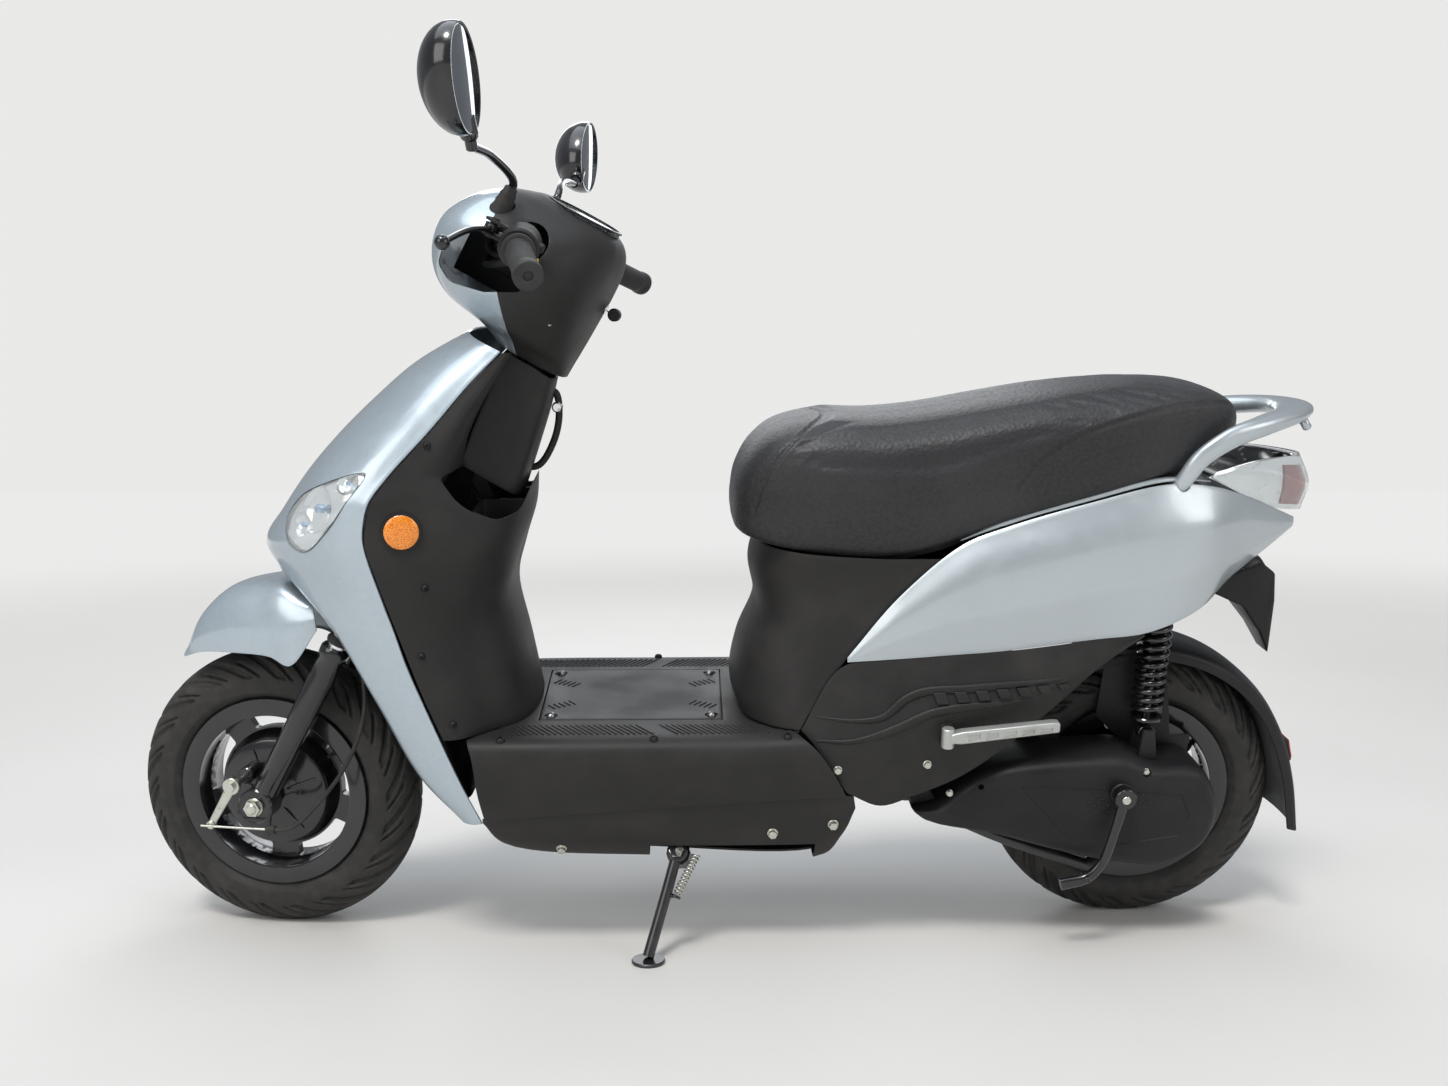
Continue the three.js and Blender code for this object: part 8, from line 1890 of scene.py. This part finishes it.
for kind, finish, size, low, high in (("reflector_holder", DARK, (33, 17), -1.5, 7),
    ("reflector_red", RED, (30, 14.5), 7, 9.5)):
    corners = [base + out * h + up * u * size[1] + Vector((0, y * size[0], 0)) for h in (low,
        high) for u in (-1, 1) for y in (-1, 1)]
    faces = [(0, 1, 3, 2), (4, 6, 7, 5), (0, 4, 5, 1), (2, 3, 7, 6), (0, 2, 6, 4), (1, 5, 7, 3)]
    fit(soften(outward(make(f"rear_{kind}", corners, faces)), 1.6, 3, 40), "rear_hugger", finish, hides=False)

# Rear shock: a damper hung from the frame and standing on the drive unit, inside a close-wound coil
# spring painted gloss black.
SHOCK_TOP, SHOCK_FOOT = Vector((-6, -92, 520)), Vector((-11, -92, 322))
shock_way = (SHOCK_FOOT - SHOCK_TOP).normalized()
SHOCK_LONG = (SHOCK_FOOT - SHOCK_TOP).length


def on_shock(distance):
    return SHOCK_TOP + shock_way * distance


def eye(centre, half=13, outer=12, inner=6.1):
    return bar("eye", centre - Vector((0, half, 0)), centre + Vector((0, half, 0)), 0, 40,
        ends=[(inner, 0), (outer - 1, 0), (outer, 1), (outer, 2 * half - 1), (outer - 1, 2 * half),
        (inner, 2 * half)])


damper = bar("damper", on_shock(9), on_shock(96), 13, 40, 1.5)
cap = bar("cap", on_shock(18), on_shock(24), 22.4, 48, 1.4)
fit(merge("damper_body", eye(SHOCK_TOP), damper, cap), "shock_body", GLOSS)
piston = bar("piston", on_shock(84), on_shock(SHOCK_LONG - 9), 6, 32, 0.5)
seat_cap = bar("cap", on_shock(SHOCK_LONG - 24), on_shock(SHOCK_LONG - 18), 22.4, 48, 1.4)
fit(merge("damper_rod", eye(SHOCK_FOOT), piston, seat_cap), "shock_rod", GLOSS)


def coil(name, start, end, radius, wire, turns, steps=28, sides=12):
    """A wire wound round a line."""
    along = (end - start).normalized()
    long = (end - start).length - 2 * wire
    across = along.cross(Vector((0, 1, 0))).normalized()
    over = along.cross(across)
    rings = []
    for i in range(turns * steps + 1):
        angle = 2 * math.pi * i / steps
        out = across * math.cos(angle) + over * math.sin(angle)
        middle = start + along * (wire + long * i / (turns * steps)) + out * radius
        rings.append([middle + out * (wire * math.cos(a)) + along * (wire * math.sin(a))
                      for a in (2 * math.pi * j / sides for j in range(sides))])
    return loft(name, rings)


SEAT_OFF = 24.4
spring = coil("damper_spring", on_shock(SEAT_OFF), on_shock(SHOCK_LONG - SEAT_OFF), 19, 4.2, 11)
fit(spring, "shock_spring", GLOSS, sharp=60)
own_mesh(spring)

# Stands: a tubular centre stand folded up under the drive unit, and the side stand that holds the
# machine, each in black enamelled steel, with its return spring.
pivot_line = Vector((-262, 0, 176))
legs = [bar("tube", pivot_line - Vector((0, 78, 0)), pivot_line + Vector((0, 78, 0)), 9, 32, 1)]
for side in (-1, 1):
    foot = Vector((-72, side * 84, 108))
    legs += [tube("leg", [pivot_line + Vector((0, side * 70, 0)), Vector((-202, side * 78, 152)), foot],
        8.8, 24, 8), bar("foot", foot, foot + Vector((14, 0, 8)), 13.5, 28, 2)]
fit(merge("centre_stand_tubes", *legs), "centre_stand", FRAME_PAINT)

inverse_lean = lean.inverted()
stand_foot = inverse_lean @ Vector((-709, -209, 0))
stand_heel = inverse_lean @ Vector((-709, -209, 5))
stand_pivot = Vector((-668, -128, 156))
stand_down = (stand_foot - stand_pivot).normalized()
stand_axis = stand_down.cross(Vector((0.99, -0.1, 0.05)).normalized()).normalized()
leg_top = stand_pivot + stand_axis * 9.35
upright = (stand_heel - stand_foot).normalized()
seat_end = leg_top.lerp(stand_heel, 0.42) + Vector((16, 0, 2))
hook_way = (seat_end - (stand_pivot + Vector((26, -16, 7)))).normalized()
stand = [bar("hub", stand_pivot + stand_axis * 0.35, stand_pivot + stand_axis * 18, 0, 40,
    ends=[(6.4, 0), (13, 0), (14, 1), (14, 16.6), (13, 17.6), (6.4, 17.6)]),
    tube("leg", [leg_top, leg_top.lerp(stand_heel, 0.5), stand_heel + upright * 3], 7.9, 28, 4),
    bar("pad", stand_foot, stand_heel, 22.8, 56, 1.2),
    bar("tang", leg_top.lerp(stand_heel, 0.42), seat_end + hook_way * 2, 2.4, 16, 0.5),
    bar("catch", seat_end + hook_way * 0.4, seat_end + hook_way * 4.3, 6.8, 24, 0.8)]
fit(merge("side_stand_leg", *stand), "side_stand", FRAME_PAINT)
bolt_head = hexagon("side_stand_bolt", stand_pivot + stand_axis * 18.8, stand_pivot + stand_axis * 25, 10.4)
fit(bolt_head, "main_frame", ZINC, hides=False)
return_spring = coil("side_stand_coil", stand_pivot + Vector((26, -16, 7)), seat_end, 5, 1.3, 12, 20, 8)
fit(return_spring, "side_stand_spring", ZINC, sharp=60)

scrap(SCREW, BOLT, ridge, small_ridge, stitch, dimple)
